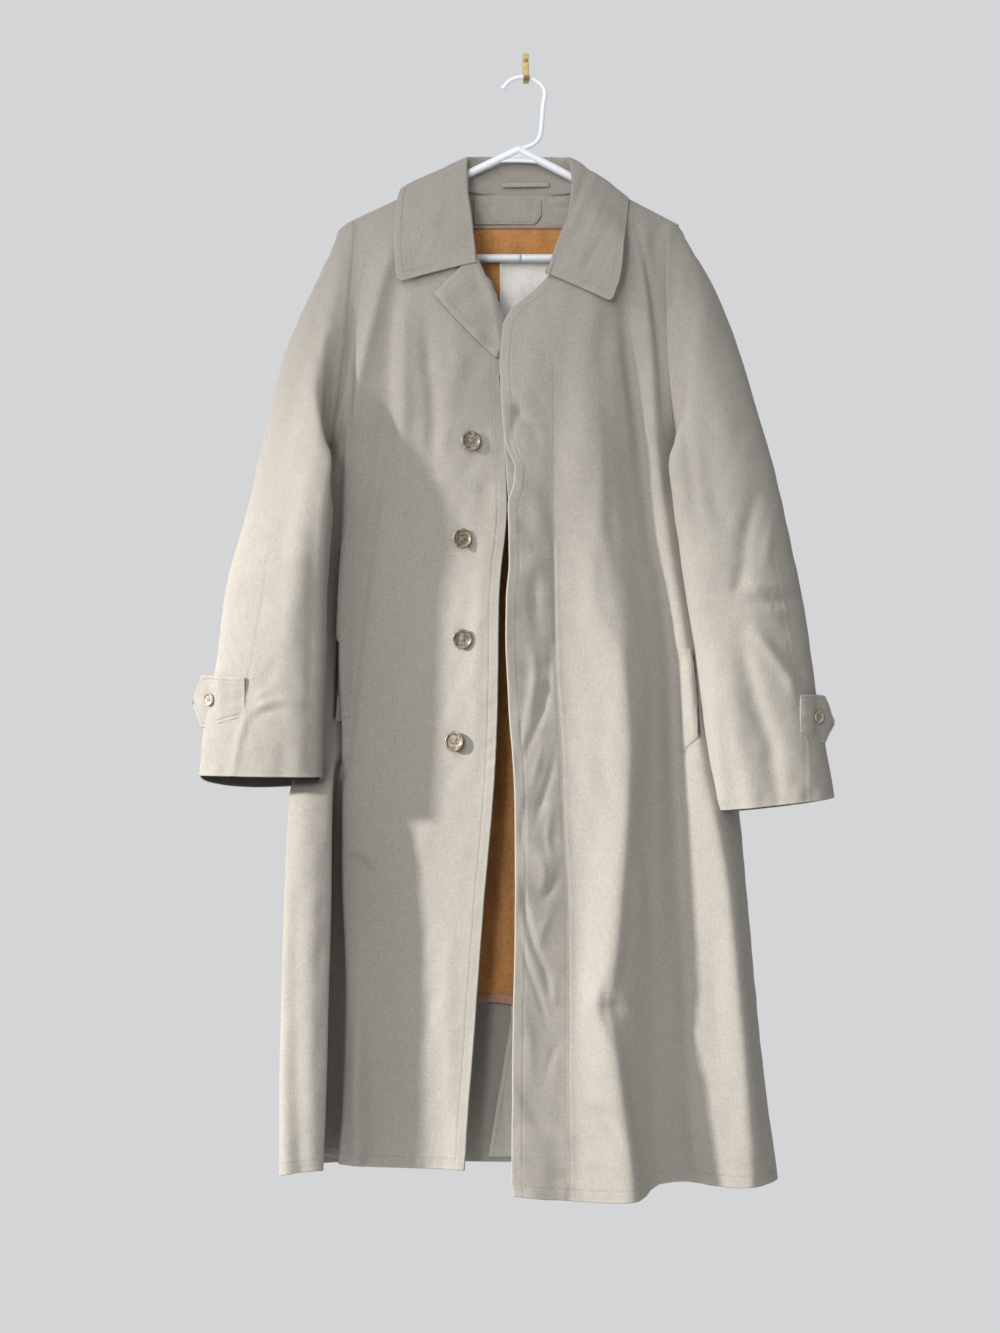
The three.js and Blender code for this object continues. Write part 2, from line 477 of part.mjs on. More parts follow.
// ------------------------------------------------------------------ the collar
// One row a station round the neck, from the wearer's right front end to the left. The seam joins the coat,
// the roll is the fold line and the edge is the leaf's outer edge.
const COLLAR = {
  //               seam               roll               edge
  right_end: [[-61, -86.5, -236], [-57, -90, -240], [-141.8, -93.5, -262]],
  right_leaf: [[-62, -77.5, -213], [-58.5, -82, -214], [-147.6, -93, -239]],
  right_throat: [[-69, -64.5, -187], [-63, -69, -176], [-149, -84, -206]],
  right_front: [[-75.5, -47, -154], [-68, -48, -138], [-148, -60, -172]],
  right_side: [[-80, -26, -122], [-67, -28, -110], [-141, -27, -144]],
  right_back: [[-57, -15.5, -133.5], [-52, -12, -107], [-112, -4.4, -170]],
  back: [[-8, -11.2, -148], [-8, -9.5, -106.5], [-8, -4.0, -177]],
  left_back: [[42, -15.5, -134.8], [36, -12, -107], [96, -4.4, -172]],
  left_side: [[64, -26, -125], [49.5, -28, -110], [132, -27, -153]],
  left_front: [[60, -47, -156.5], [52.5, -48, -138], [134, -62, -190]],
  left_throat: [[53, -65.5, -187], [48, -71, -178], [130, -88, -216]],
  left_leaf: [[37, -81.5, -221], [33, -88, -222], [116, -97, -252]],
  left_end: [[22, -91, -250], [24, -94, -253], [98, -99, -284]],
};
function collarSheet() {
  const st = Object.values(COLLAR), n = st.length, knot = st.map((_, i) => i);
  const track = [0, 1, 2].map((k) => [0, 1, 2].map((a) => pchip(knot, st.map((s) => s[k][a]))));
  const at = (k, u) => V(...track[k].map((g) => g(u)));
  const h = 2.6;
  const rows = [];
  const U = range(2 * (n - 1) + 1, (k) => k / 2);
  for (const u of U) {
    const S = at(0, u), R = at(1, u), E = at(2, u);
    const T = at(1, Math.min(n - 1, u + 0.05)).sub(at(1, Math.max(0, u - 0.05))).normalize();
    const e1 = E.clone().sub(R).normalize(), s1 = S.clone().sub(R).normalize();
    let l = e1.clone().sub(s1);
    l.addScaledVector(T, -l.dot(T)).normalize();
    const a = T.clone().cross(l).normalize();
    if (a.dot(e1) > 0) a.negate();
    const inner = R.clone().addScaledVector(l, -h).addScaledVector(a, -h * 0.9);
    const outer = R.clone().addScaledVector(l, h).addScaledVector(a, -h * 0.9);
    const line = [S, S.clone().lerp(inner, 0.5), inner, R];
    line.push(outer);
    for (const q of [0.34, 0.67, 1]) line.push(outer.clone().lerp(E, q).addScaledVector(l, 2.2 * Math.sin(Math.PI * q * 0.9)));
    rows.push(line);
  }
  const c = V(-8, -45, -190);
  // the visible face is the leaf's outside and the stand's inside
  const sh = sheet(rows, () => V(0, 0, 1));
  let sum = 0;
  for (let i = 0; i < sh.R; i++) sum += sh.N[i][sh.C - 2].dot(sh.P[i][sh.C - 2].clone().sub(c));
  if (sum < 0) sh.N.forEach((row) => row.forEach((v) => v.negate()));
  return sh;
}

// ------------------------------------------------------------------ hard pieces
function tube(path, r, sides, steps) {
  const shape = new THREE.Shape(range(sides, (k) => {
    const a = (2 * Math.PI * (k + 0.5)) / sides;
    return new THREE.Vector2(r * Math.cos(a), r * Math.sin(a));
  }));
  return new THREE.ExtrudeGeometry(shape, { steps, extrudePath: path, bevelEnabled: false });
}
function path(points, tension = 0.5) {
  return new THREE.CatmullRomCurve3(points.map(([x, z]) => V(x, HANGER.y, z)), false, "catmullrom", tension);
}
function hanger() {
  const [px, pz] = HANGER.peak, half = -6;
  const left = path([[px + 2, pz], [px - 30, pz - 15.4], [mix(px, ARM_L.x, 0.5), mix(pz, ARM_L.z, 0.5)], [ARM_L.x + 14, ARM_L.z + 7.5], [ARM_L.x - 3, ARM_L.z - 4], [ARM_L.x - 9, ARM_L.z - 14], [ARM_L.x - 5, BAR_Z + 7], [ARM_L.x + 8, BAR_Z + 0.8], [ARM_L.x + 26, BAR_Z], [-100, BAR_Z], [half + 1, BAR_Z]]);
  const right = path([[px - 2, pz], [px + 30, pz - 16.8], [mix(px, ARM_R.x, 0.5), mix(pz, ARM_R.z, 0.5)], [ARM_R.x - 14, ARM_R.z + 7.5], [ARM_R.x + 2, ARM_R.z - 2.5], [ARM_R.x + 7, ARM_R.z - 9], [ARM_R.x + 4, BAR_Z + 6], [ARM_R.x - 8, BAR_Z + 0.8], [ARM_R.x - 26, BAR_Z], [90, BAR_Z], [half - 1, BAR_Z]]);
  const web = new THREE.Shape();
  web.moveTo(px, pz + 4);
  web.lineTo(px + 33, pz - 15);
  web.quadraticCurveTo(px, pz - 12.5, px - 33, pz - 13.5);
  web.closePath();
  const webG = new THREE.ExtrudeGeometry(web, { depth: 3.6, bevelEnabled: false, curveSegments: 6 });
  webG.rotateX(Math.PI / 2);
  webG.translate(0, HANGER.y + 1.8, 0);
  const hook = path([[px + 1, pz - 2], [px + 8, pz + 1.5], [9.4, -93], [15, -87], [17.6, -78], [19.8, -52], [21.9, -33.5], [16.4, -24], [7, -18.3], [0.6, -16.3], [-9.4, -16.4], [-19, -20.6], [-27, -29.5]]);
  return join(tube(left, HANGER.tube, 8, 46), tube(right, HANGER.tube, 8, 46), webG, tube(hook, HANGER.wire, 8, 34));
}
function wallHook() {
  const { w, h, t } = PLATE, s = new THREE.Shape();
  s.moveTo(-w / 2, -h / 2 + 2);
  s.quadraticCurveTo(-w / 2, -h / 2, -w / 2 + 2, -h / 2);
  s.lineTo(w / 2 - 2, -h / 2);
  s.quadraticCurveTo(w / 2, -h / 2, w / 2, -h / 2 + 2);
  s.lineTo(w / 2, h / 2 - 7);
  s.quadraticCurveTo(w / 2, h / 2 - 2, 0, h / 2);
  s.quadraticCurveTo(-w / 2, h / 2 - 2, -w / 2, h / 2 - 7);
  s.closePath();
  const plate = new THREE.ExtrudeGeometry(s, { depth: t, bevelEnabled: false, curveSegments: 5 });
  plate.rotateX(Math.PI / 2); // the plate's back face is at y = 0, its front at -t
  const jaw = new THREE.CatmullRomCurve3([[-2.3, -8.5], [-3.2, -13], [-7.5, -18], [-15, -20.6], [-22, -20.9], [-27.6, -20.4], [-31.4, -17.4], [-32.4, -13], [-32.4, -9.5]].map(([y, z]) => V(0.4, y, z)));
  const strap = new THREE.Shape();
  strap.moveTo(-3.2, -1.3);
  strap.lineTo(3.2, -1.3);
  strap.lineTo(3.2, 1.3);
  strap.lineTo(-3.2, 1.3);
  strap.closePath();
  const j = new THREE.ExtrudeGeometry(strap, { steps: 18, extrudePath: jaw, bevelEnabled: false });
  return join(plate, j);
}
function screw() {
  const g = new THREE.LatheGeometry([[0, 0], [2.4, 0], [2.3, 0.7], [1.4, 1.4], [0, 1.6]].map(([x, y]) => new THREE.Vector2(x, y)), 14);
  const slot = new THREE.BoxGeometry(6, 1, 0.7);
  slot.translate(0, 1.5, 0);
  const s = cut(g, slot);
  s.rotateX(Math.PI); // its axis now points out of the wall, along -y
  return s;
}
function button(b) {
  const R = b.d / 2, t = b.t;
  const pts = [[0, 0], [R * 0.72, 0], [R * 0.96, t * 0.38], [R, t * 0.66], [R * 0.93, t], [R * 0.8, t * 0.96], [R * 0.7, t * 0.62], [0, t * 0.56]];
  const body = new THREE.LatheGeometry(pts.map(([x, y]) => new THREE.Vector2(x, y)), 20);
  const holes = [[1, 1], [1, -1], [-1, 1], [-1, -1]].map(([i, j]) => {
    const c = new THREE.CylinderGeometry(b.hole / 2, b.hole / 2, t * 3, 7);
    c.translate((i * b.pitch) / 2, 0, (j * b.pitch) / 2);
    return c;
  });
  return cut(body, ...holes);
}
// Places a disc made along +Y so that it faces along n, at p.
function place(g, p, n, tiltX = 0, tiltZ = 0) {
  const dir = n.clone().add(V(tiltX, 0, tiltZ)).normalize();
  g.applyQuaternion(new THREE.Quaternion().setFromUnitVectors(V(0, 1, 0), dir));
  g.translate(p.x, p.y, p.z);
  return g;
}

// ------------------------------------------------------------------ the object
const group = new THREE.Group();
const material = (color, roughness = 0.85, metalness = 0) => new THREE.MeshStandardMaterial({ color, roughness, metalness });
const MAT = {
  cloth: material(COL.cloth), lining: material(COL.lining, 0.95), binding: material(COL.binding, 0.7),
  label: material(COL.label, 0.8), hanger: material(COL.hanger, 0.35), brass: material(COL.brass, 0.3, 1),
  button: material(COL.button, 0.4),
};
function add(name, g, mat) {
  g.deleteAttribute("normal");
  g.deleteAttribute("uv");
  const m = new THREE.Mesh(mergeVertices(g, 1e-4), mat);
  m.name = name;
  group.add(m);
}

add("wall_hook", wallHook(), MAT.brass);
const screwG = screw();
screwG.translate(0, -PLATE.t - GAP, 8.5);
add("wall_hook_screw", screwG, MAT.brass);
add("hanger", hanger(), MAT.hanger);

add("front_right", solid(FR, CLOTH), MAT.cloth);
add("front_left", solid(FL, CLOTH), MAT.cloth);
add("back_right", solid(BR, CLOTH), MAT.cloth);
add("back_left", solid(BL, CLOTH), MAT.cloth);
add("sleeve_right", solid(SR, CLOTH), MAT.cloth);
add("sleeve_left", solid(SL, CLOTH), MAT.cloth);
add("collar", solid(collarSheet(), COLLAR_T), MAT.cloth);

// the turned lapel, from its roll (left side of the patch) to its point
const lapel = patch(frontLeft, [[-56, -246], [-103, -276], [-40, -345], [-36, -343]], 5, 6, (u, v) => 4.4 + 1.6 * (1 - u) * (1 - v) + (v > 0.8 ? 0 : 0), FRONT, [0.2, 3]);
add("lapel", solid(lapel, CLOTH + 0.4), MAT.cloth);

// the welts of the two slanted side pockets
const weltR = patch(frontRight, [[166, -679], [188.5, -677], [196.5, -781], [175, -799]], 2, 6, 3.6, FRONT, [4.2, 7.8]);
add("pocket_welt_right", solid(weltR, CLOTH), MAT.cloth);
const weltL = patch(frontLeft, [[-209.5, -556], [-190, -556], [-194, -745], [-214, -757]], 2, 8, 3.2, FRONT, [3.8, 7.2]);
add("pocket_welt_left", solid(weltL, CLOTH), MAT.cloth);

// lining, binding, neck facing, tab, label and vent, all from the backs' own points moved in
const BACKWARD = V(0, 1, 0);
function inside(x, z, depth) {
  const left = x < -8, f = left ? backLeft : backRight;
  const [t, s] = locate(f, x, z, left ? Math.min(3.4, (-8 - x) / 53) : Math.min(3.4, (x + 8) / 50), Math.max(1.6, Math.min(12, 2 + (-151 - z) / 100)));
  return f(t, s).addScaledVector(normalAt(f, t, s, BACKWARD), -depth);
}
function inner(xs, zs, depth, trim = (x, z) => [x, z]) {
  const grid = zs.map((z) => xs.map((x) => {
    const [a, b] = trim(x, z);
    return inside(a, b, typeof depth === "function" ? depth(a, b) : depth);
  }));
  return sheet(grid, backward);
}
const spread = (a, b, n) => range(n + 1, (k) => mix(a, b, k / n));
// the lining and its binding share the backs' own columns, so they lie parallel to them
function backStrip(rows, depth, reach = 2) {
  const grid = [], normals = [];
  for (const r of rows) {
    const i = Math.min(ROWS.length - 2, ROWS.findIndex((v, k) => r >= v && r <= ROWS[k + 1]));
    const k = (r - ROWS[i]) / (ROWS[i + 1] - ROWS[i]);
    const line = [], nl = [];
    for (const [S, js] of [[BL, range(BL.C - 1 - reach, (q) => BL.C - 1 - reach - q)], [BR, range(BR.C - reach, (q) => q)]]) {
      for (const j of js) {
        line.push(S.P[i][j].clone().lerp(S.P[i + 1][j], k));
        nl.push(S.N[i][j].clone().lerp(S.N[i + 1][j], k).normalize());
      }
    }
    grid.push(line);
    normals.push(nl);
  }
  const sh = sheet(grid, backward);
  sh.N = normals;
  sh.P = grid.map((row, i) => row.map((p, j) => p.clone().addScaledVector(normals[i][j], -depth)));
  return sh;
}
const LINING_ROWS = [2.6, ...ROWS.filter((s) => s > 2.9 && s < 11), 11.1];
add("lining_back", solid(backStrip(LINING_ROWS, CLOTH + 1.0), LINING), MAT.lining);
add("lining_binding", solid(backStrip([11.105, 11.2], CLOTH + 0.8), LINING + 0.4), MAT.binding);
add("neck_facing", solid(inner([-66, -54, -42, -30, -19, -8, 3, 14, 26, 38, 50], [-156, -165, -176, -186.4], CLOTH + 0.7, (x, z) => [x, z > -160 ? -155 + 4 * Math.pow((x + 8) / 58, 2) : z]), 1.2), MAT.cloth);
const TAB_R = 16;
const tabX = (z) => (z > -170 ? 18 : 18 - TAB_R + Math.sqrt(Math.max(0, TAB_R * TAB_R - Math.pow(-170 - z, 2))));
add("neck_tab", solid(inner([0, 0.25, 0.5, 0.75, 1], [-156.5, -164, -170, -176, -181, -184.5], CLOTH + 2.4, (k, z) => [mix(-58, tabX(z), k), z]), 1.2), MAT.cloth);
add("vent_underlap", solid(inner([0, 0.34, 0.67, 1], [-1104, -1160, -1215, -1266], CLOTH + 0.9, (k, z) => [mix(-19 - (-1104 - z) * -0.045, 36, k), z]), CLOTH), MAT.cloth);
add("label", solid(inner([-30, -15, 0, 15, 30], [-236, -250, -265, -280, -296], CLOTH + 1.0 + LINING + 0.5), 1.0), MAT.label);

// the hanging loop inside the collar stand
const loopG = new THREE.BoxGeometry(52, 1.0, 5.2);
loopG.translate(0, -14.6, -139.5);
add("hanger_loop", loopG, MAT.cloth);

// Cuff straps: each lies on the sleeve's front from its seam and ends in a point that stands off the edge.
// Columns along the strap: x, z of its top and bottom edges; the last two stand free of the sleeve.
function onSleeve(f, x, z, out) {
  let a = 60, r = 7.5;
  for (let k = 0; k < 80; k++) {
    const p = f(a, r), pa = f(a + 0.01, r).sub(p).multiplyScalar(100), pr = f(a, r + 0.001).sub(p).multiplyScalar(1000);
    const dx = x - p.x, dz = z - p.z, det = pa.x * pr.z - pr.x * pa.z;
    if (Math.abs(dx) + Math.abs(dz) < 1e-3) break;
    a = Math.max(12, Math.min(150, a + Math.max(-12, Math.min(12, (dx * pr.z - pr.x * dz) / det))));
    r = Math.max(5, Math.min(8.9, r + Math.max(-0.4, Math.min(0.4, (pa.x * dz - dx * pa.z) / det))));
  }
  const p = f(a, r), n = f(a + 0.5, r).sub(f(a - 0.5, r)).cross(f(a, r + 0.05).sub(f(a, r - 0.05))).normalize();
  return p.addScaledVector(n.y > 0 ? n.negate() : n, out);
}
const STRAP = { lift: 4.2, free: [[10, 7.5], [21, 19]] }; // how far the point runs on, and falls back
const STRAPS = {
  left: { rise: 2.4, sleeve: armLeft, x: [-316, -332, -345, -357], top: [-710.5, -709.5, -709, -708.5, -708, -735], bottom: [-753, -757, -760.5, -763.5, -766, -741], out: -1 },
  right: { rise: 1.2, sleeve: armRight, x: [307, 313.5, 320, 327], top: [-730, -729.5, -729.5, -729.5, -731, -757], bottom: [-776, -777.5, -779, -781, -783.5, -764], out: 1 },
};
for (const [side, st] of Object.entries(STRAPS)) {
  const grid = [0, 1 / 3, 2 / 3, 1].map((k) => {
    const line = st.x.map((x, i) => onSleeve(st.sleeve, x, mix(st.top[i], st.bottom[i], k), STRAP.lift));
    const end = line[line.length - 1];
    STRAP.free.forEach(([run, fall], i) => line.push(V(end.x + st.out * run, end.y + fall * 0.8, mix(st.top[i + 4], st.bottom[i + 4], k))));
    return line;
  });
  add(`cuff_strap_${side}`, solid(sheet(grid, forward), 1.8), MAT.cloth);
  const p = grid[1][2].clone().lerp(grid[2][2], 0.5).lerp(grid[1][3].clone().lerp(grid[2][3], 0.5), 0.5);
  const along = grid[1][3].clone().sub(grid[1][2]).normalize(), n = V(0, 0, 1).cross(along).normalize();
  if (n.y > 0) n.negate();
  add(`cuff_button_${side}`, place(button(CUFF_BUTTON), p.addScaledVector(n, st.rise), n), MAT.button);
}

// four front buttons on the under front, each hanging its own way from its shank of thread
const FRONT_BUTTONS = [[-63, -442, 0.1, 0.12], [-73, -552, 0.3, 0.05], [-72, -666, 0.08, -0.12], [-80, -783, -0.22, 0.1]];
FRONT_BUTTONS.forEach(([x, z, tx, tz], k) => {
  const [t, s] = locate(frontLeft, x, z, 0.9, 6.5 + k * 0.9);
  const n = normalAt(frontLeft, t, s, FRONT);
  const lift = 0.5 + (BUTTON.d / 2) * Math.hypot(tx, tz) * 0.75;
  add(`button_${k + 1}`, place(button(BUTTON), frontLeft(t, s).addScaledVector(n, lift), n, tx, tz), MAT.button);
});

export default group;
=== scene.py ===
import math

import bmesh
import bpy
import numpy as np
from mathutils import Matrix, Vector
from mathutils.bvhtree import BVHTree


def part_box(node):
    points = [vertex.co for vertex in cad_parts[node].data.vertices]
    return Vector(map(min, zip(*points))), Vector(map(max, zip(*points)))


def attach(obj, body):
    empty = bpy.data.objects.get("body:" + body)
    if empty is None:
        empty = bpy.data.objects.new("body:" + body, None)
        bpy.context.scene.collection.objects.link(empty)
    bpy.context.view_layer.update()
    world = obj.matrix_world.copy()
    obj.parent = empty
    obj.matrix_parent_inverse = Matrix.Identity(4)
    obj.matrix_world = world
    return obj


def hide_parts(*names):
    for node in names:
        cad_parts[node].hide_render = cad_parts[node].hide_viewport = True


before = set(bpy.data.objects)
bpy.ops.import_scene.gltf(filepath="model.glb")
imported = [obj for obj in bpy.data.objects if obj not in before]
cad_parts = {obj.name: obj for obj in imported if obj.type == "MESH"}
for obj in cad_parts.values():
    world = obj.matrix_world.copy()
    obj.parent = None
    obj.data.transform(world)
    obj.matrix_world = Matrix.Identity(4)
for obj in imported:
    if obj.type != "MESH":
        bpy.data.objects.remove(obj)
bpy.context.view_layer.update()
MM = 0.001

# ---------------------------------------------------------------- where things are, in millimetres
# x, z of a place in the 1000 x 1333 view, at the depth y: the camera stands 3040 mm in front of the wall
EYE = (-29.9, -3040.0, -697.5)


def px(u, v, y=-85.0):
    k = 1.15 * (-EYE[1] + y) / 3000.0
    return EYE[0] + (u - 500.0) * k, EYE[2] - (v - 666.5) * k


# ---------------------------------------------------------------- curves and surfaces
def slopes(xs, ys):
    """Tangents of a monotone cubic through xs, ys; ys has the knots on its first axis."""
    h = np.diff(xs).reshape((-1,) + (1,) * (ys.ndim - 1))
    d = np.diff(ys, axis=0) / h
    m = np.zeros_like(ys)
    m[0], m[-1] = d[0], d[-1]
    if len(xs) > 2:
        a, b, h0, h1 = d[:-1], d[1:], h[:-1], h[1:]
        w1, w2 = 2 * h1 + h0, h1 + 2 * h0
        ok = a * b > 0
        sa, sb = np.where(ok, a, 1.0), np.where(ok, b, 1.0)
        m[1:-1] = np.where(ok, (w1 + w2) / (w1 / sa + w2 / sb), 0.0)
    return m


def cubic(xs, ys, m, x, own=False):
    """The cubic at each x. own: ys holds a curve of its own for each x, on its second axis."""
    i = np.clip(np.searchsorted(xs, x, "right") - 1, 0, len(xs) - 2)
    h = xs[i + 1] - xs[i]
    t = (x - xs[i]) / h
    if own:
        n = np.arange(len(x))
        y0, y1, m0, m1 = ys[i, n], ys[i + 1, n], m[i, n], m[i + 1, n]
    else:
        y0, y1, m0, m1 = ys[i], ys[i + 1], m[i], m[i + 1]
    e = (slice(None),) + (None,) * (y0.ndim - 1)
    t, h = t[e], h[e]
    t2, t3 = t * t, t * t * t
    return (2 * t3 - 3 * t2 + 1) * y0 + (t3 - 2 * t2 + t) * h * m0 + (3 * t2 - 2 * t3) * y1 + (t3 - t2) * h * m1


def curve1(xs, ys):
    xs, ys = np.asarray(xs, float), np.asarray(ys, float)
    m = slopes(xs, ys)
    return lambda x: cubic(xs, ys, m, np.atleast_1d(np.asarray(x, float)))


class Surface:
    """A surface through sections: rows x columns of points."""

    def __init__(self, rows):
        self.P = np.asarray(rows, float)
        R, C = self.P.shape[:2]
        self.R, self.C = R, C
        self.rk = np.concatenate([[0], np.cumsum(np.linalg.norm(np.diff(self.P, axis=0), axis=2).mean(1))])
        self.ck = np.concatenate([[0], np.cumsum(np.linalg.norm(np.diff(self.P, axis=1), axis=2).mean(0))])
        self.m = slopes(self.rk, self.P)

    def grid(self, T, S):
        w, u = np.interp(S, np.arange(self.R), self.rk), np.interp(T, np.arange(self.C), self.ck)
        q = cubic(self.rk, self.P, self.m, w).transpose(1, 0, 2)  # columns first
        return cubic(self.ck, q, slopes(self.ck, q), u).transpose(1, 0, 2)

    def dense(self, per_col, per_row):
        T = np.linspace(0, self.C - 1, (self.C - 1) * per_col + 1)
        S = np.linspace(0, self.R - 1, (self.R - 1) * per_row + 1)
        return self.grid(T, S), T, S


def catmull(points, n):
    p = np.asarray(points, float)
    e = np.vstack([2 * p[0] - p[1], p, 2 * p[-1] - p[-2]])
    t = np.linspace(0, len(p) - 1, n)
    i = np.clip(t.astype(int), 0, len(p) - 2)
    f = (t - i)[:, None]
    a, b, c, d = e[i], e[i + 1], e[i + 2], e[i + 3]
    return 0.5 * (2 * b + (c - a) * f + (2 * a - 5 * b + 4 * c - d) * f ** 2 + (3 * b - 3 * c + d - a) * f ** 3)


def unit(v):
    return v / np.maximum(np.linalg.norm(v, axis=-1, keepdims=True), 1e-9)


def normals(P, wrap=False):
    du = (np.roll(P, -1, 1) - np.roll(P, 1, 1)) if wrap else np.gradient(P, axis=1)
    dv = np.gradient(P, axis=0)
    return unit(np.cross(du, dv))


def facing(N, way):
    """N, turned so that it mostly looks the way given (a vector or a field)."""
    return -N if (N * way).sum() < 0 else N


def soften(A, n, wrap=False):
    for _ in range(n):
        B = A.copy()
        B[1:-1] = 0.25 * A[:-2] + 0.5 * A[1:-1] + 0.25 * A[2:]
        if wrap:
            B = 0.25 * np.roll(B, 1, 1) + 0.5 * B + 0.25 * np.roll(B, -1, 1)
        else:
            D = B.copy()
            D[:, 1:-1] = 0.25 * B[:, :-2] + 0.5 * B[:, 1:-1] + 0.25 * B[:, 2:]
            B = D
        A = B
    return A


def along(P, axis=1):
    """Distance along the cloth from its first row or column."""
    d = np.linalg.norm(np.diff(P, axis=axis), axis=2)
    pad = np.zeros((P.shape[0], 1)) if axis == 1 else np.zeros((1, P.shape[1]))
    return np.concatenate([pad, np.cumsum(d, axis=axis)], axis=axis)


def respace(P, head, n, tail):
    """Each row again, with points at the head and tail distances from its ends and n even ones between."""
    L = along(P)
    out = np.empty((P.shape[0], len(head) + n + len(tail), 3))
    for i in range(P.shape[0]):
        tot = L[i, -1]
        h = np.minimum(np.array(head), tot * 0.35)
        t = tot - np.minimum(np.array(tail), tot * 0.35)[::-1]
        pos = np.concatenate([h, np.linspace(h[-1], t[0], n + 2)[1:-1], t])
        for k in range(3):
            out[i, :, k] = np.interp(pos, L[i], P[i, :, k])
    return out


def respace_down(P, head, n, tail):
    return respace(P.transpose(1, 0, 2), head, n, tail).transpose(1, 0, 2)


RNG = np.random.default_rng(11)


def waves(x, z, size, n=14, seed=0, stretch=1.0):
    """Smooth unevenness of about unit height; size in mm, stretch lengthens it along z."""
    r = np.random.default_rng(seed)
    out = np.zeros_like(x)
    for _ in range(n):
        a, w = r.uniform(0, math.pi), r.uniform(0.6, 1.6) * 2 * math.pi / size
        out += np.sin(w * (x * math.cos(a) + z * math.sin(a) / stretch) + r.uniform(0, 6.28))
    return out / math.sqrt(n / 2)


def fold(x, z, pts, d, wl, wr=None, y=-85.0, flat=None):
    """Height of one crease along pts (view places, or mm if flat): d its depth at each point, wl and wr its
    half widths to the left and to the right of it."""
    wr = wl if wr is None else wr
    q = np.array(pts if flat else [px(u, v, y) for u, v in pts], float)
    n = len(q)
    d = np.full(n, float(d)) if np.isscalar(d) else np.asarray(d, float)
    k = np.arange(n, dtype=float)
    length = np.linalg.norm(np.diff(q, axis=0), axis=1).sum()
    m = max(8, int(length / 2.5))
    t = np.linspace(0, n - 1, m)
    path = cubic(k, q, slopes(k, q), t) if n > 2 else np.outer(1 - t, q[0]) + np.outer(t, q[1])
    dep = np.interp(t, k, d)
    reach = 3.2 * max(wl, wr)
    near = (x > path[:, 0].min() - reach) & (x < path[:, 0].max() + reach) & (z > path[:, 1].min() - reach) & (z < path[:, 1].max() + reach)
    out = np.zeros_like(x)
    if not near.any():
        return out
    p = np.stack([x[near], z[near]], 1)
    tan = unit(np.gradient(path, axis=0))
    nx = np.array([[0, 1], [-1, 0]])
    best = np.empty(len(p), int)
    for a in range(0, len(p), 20000):
        b = p[a:a + 20000]
        best[a:a + 20000] = ((b[:, None, :] - path[None]) ** 2).sum(2).argmin(1)
    off = p - path[best]
    par = (off * tan[best]).sum(1)
    side = (off * (tan[best] @ nx)).sum(1)
    # to the right of a path that runs down is +x
    sx = np.where((tan[best] @ nx)[:, 0] * side > 0, 1.0, -1.0)
    end = ((best == 0) & (par < 0)) | ((best == m - 1) & (par > 0))
    dist = np.where(end, np.hypot(side, par), np.abs(side))
    w = np.where(sx > 0, wr, wl)
    out[near] = dep[best] * np.exp(-(dist / w) ** 2)
    return out


def folds(x, z, items, y):
    out = np.zeros_like(x)
    for it in items:
        out += fold(x, z, *it, y=y)
    return out


# ---------------------------------------------------------------- meshes
def make_mesh(name, verts, faces, mat, uv=None, smooth=True, fix=True, attrs=None):
    me = bpy.data.meshes.new(name)
    me.from_pydata((np.asarray(verts, float) * MM).tolist(), [], faces.tolist() if hasattr(faces, "tolist") else faces)
    if uv is not None:
        layer = me.uv_layers.new(name="Cut")
        idx = np.empty(len(me.loops), np.int32)
        me.loops.foreach_get("vertex_index", idx)
        layer.data.foreach_set("uv", (np.asarray(uv, float)[idx] * MM).astype(np.float32).ravel())
    for k, v in (attrs or {}).items():
        a = me.attributes.new(k, "FLOAT", "POINT")
        a.data.foreach_set("value", np.asarray(v, np.float32).ravel())
    if fix:
        bm = bmesh.new()
        bm.from_mesh(me)
        bmesh.ops.recalc_face_normals(bm, faces=bm.faces)
        bm.to_mesh(me)
        bm.free()
    if smooth:
        me.polygons.foreach_set("use_smooth", np.ones(len(me.polygons), bool))
    me.update()
    ob = bpy.data.objects.new(name, me)
    bpy.context.scene.collection.objects.link(ob)
    if mat:
        me.materials.append(mat)
    return ob


def quads(idx, wrap=False):
    j = np.roll(idx, -1, 1) if wrap else idx[:, 1:]
    i = idx if wrap else idx[:, :-1]
    return np.stack([i[:-1], j[:-1], j[1:], i[1:]], -1).reshape(-1, 4)


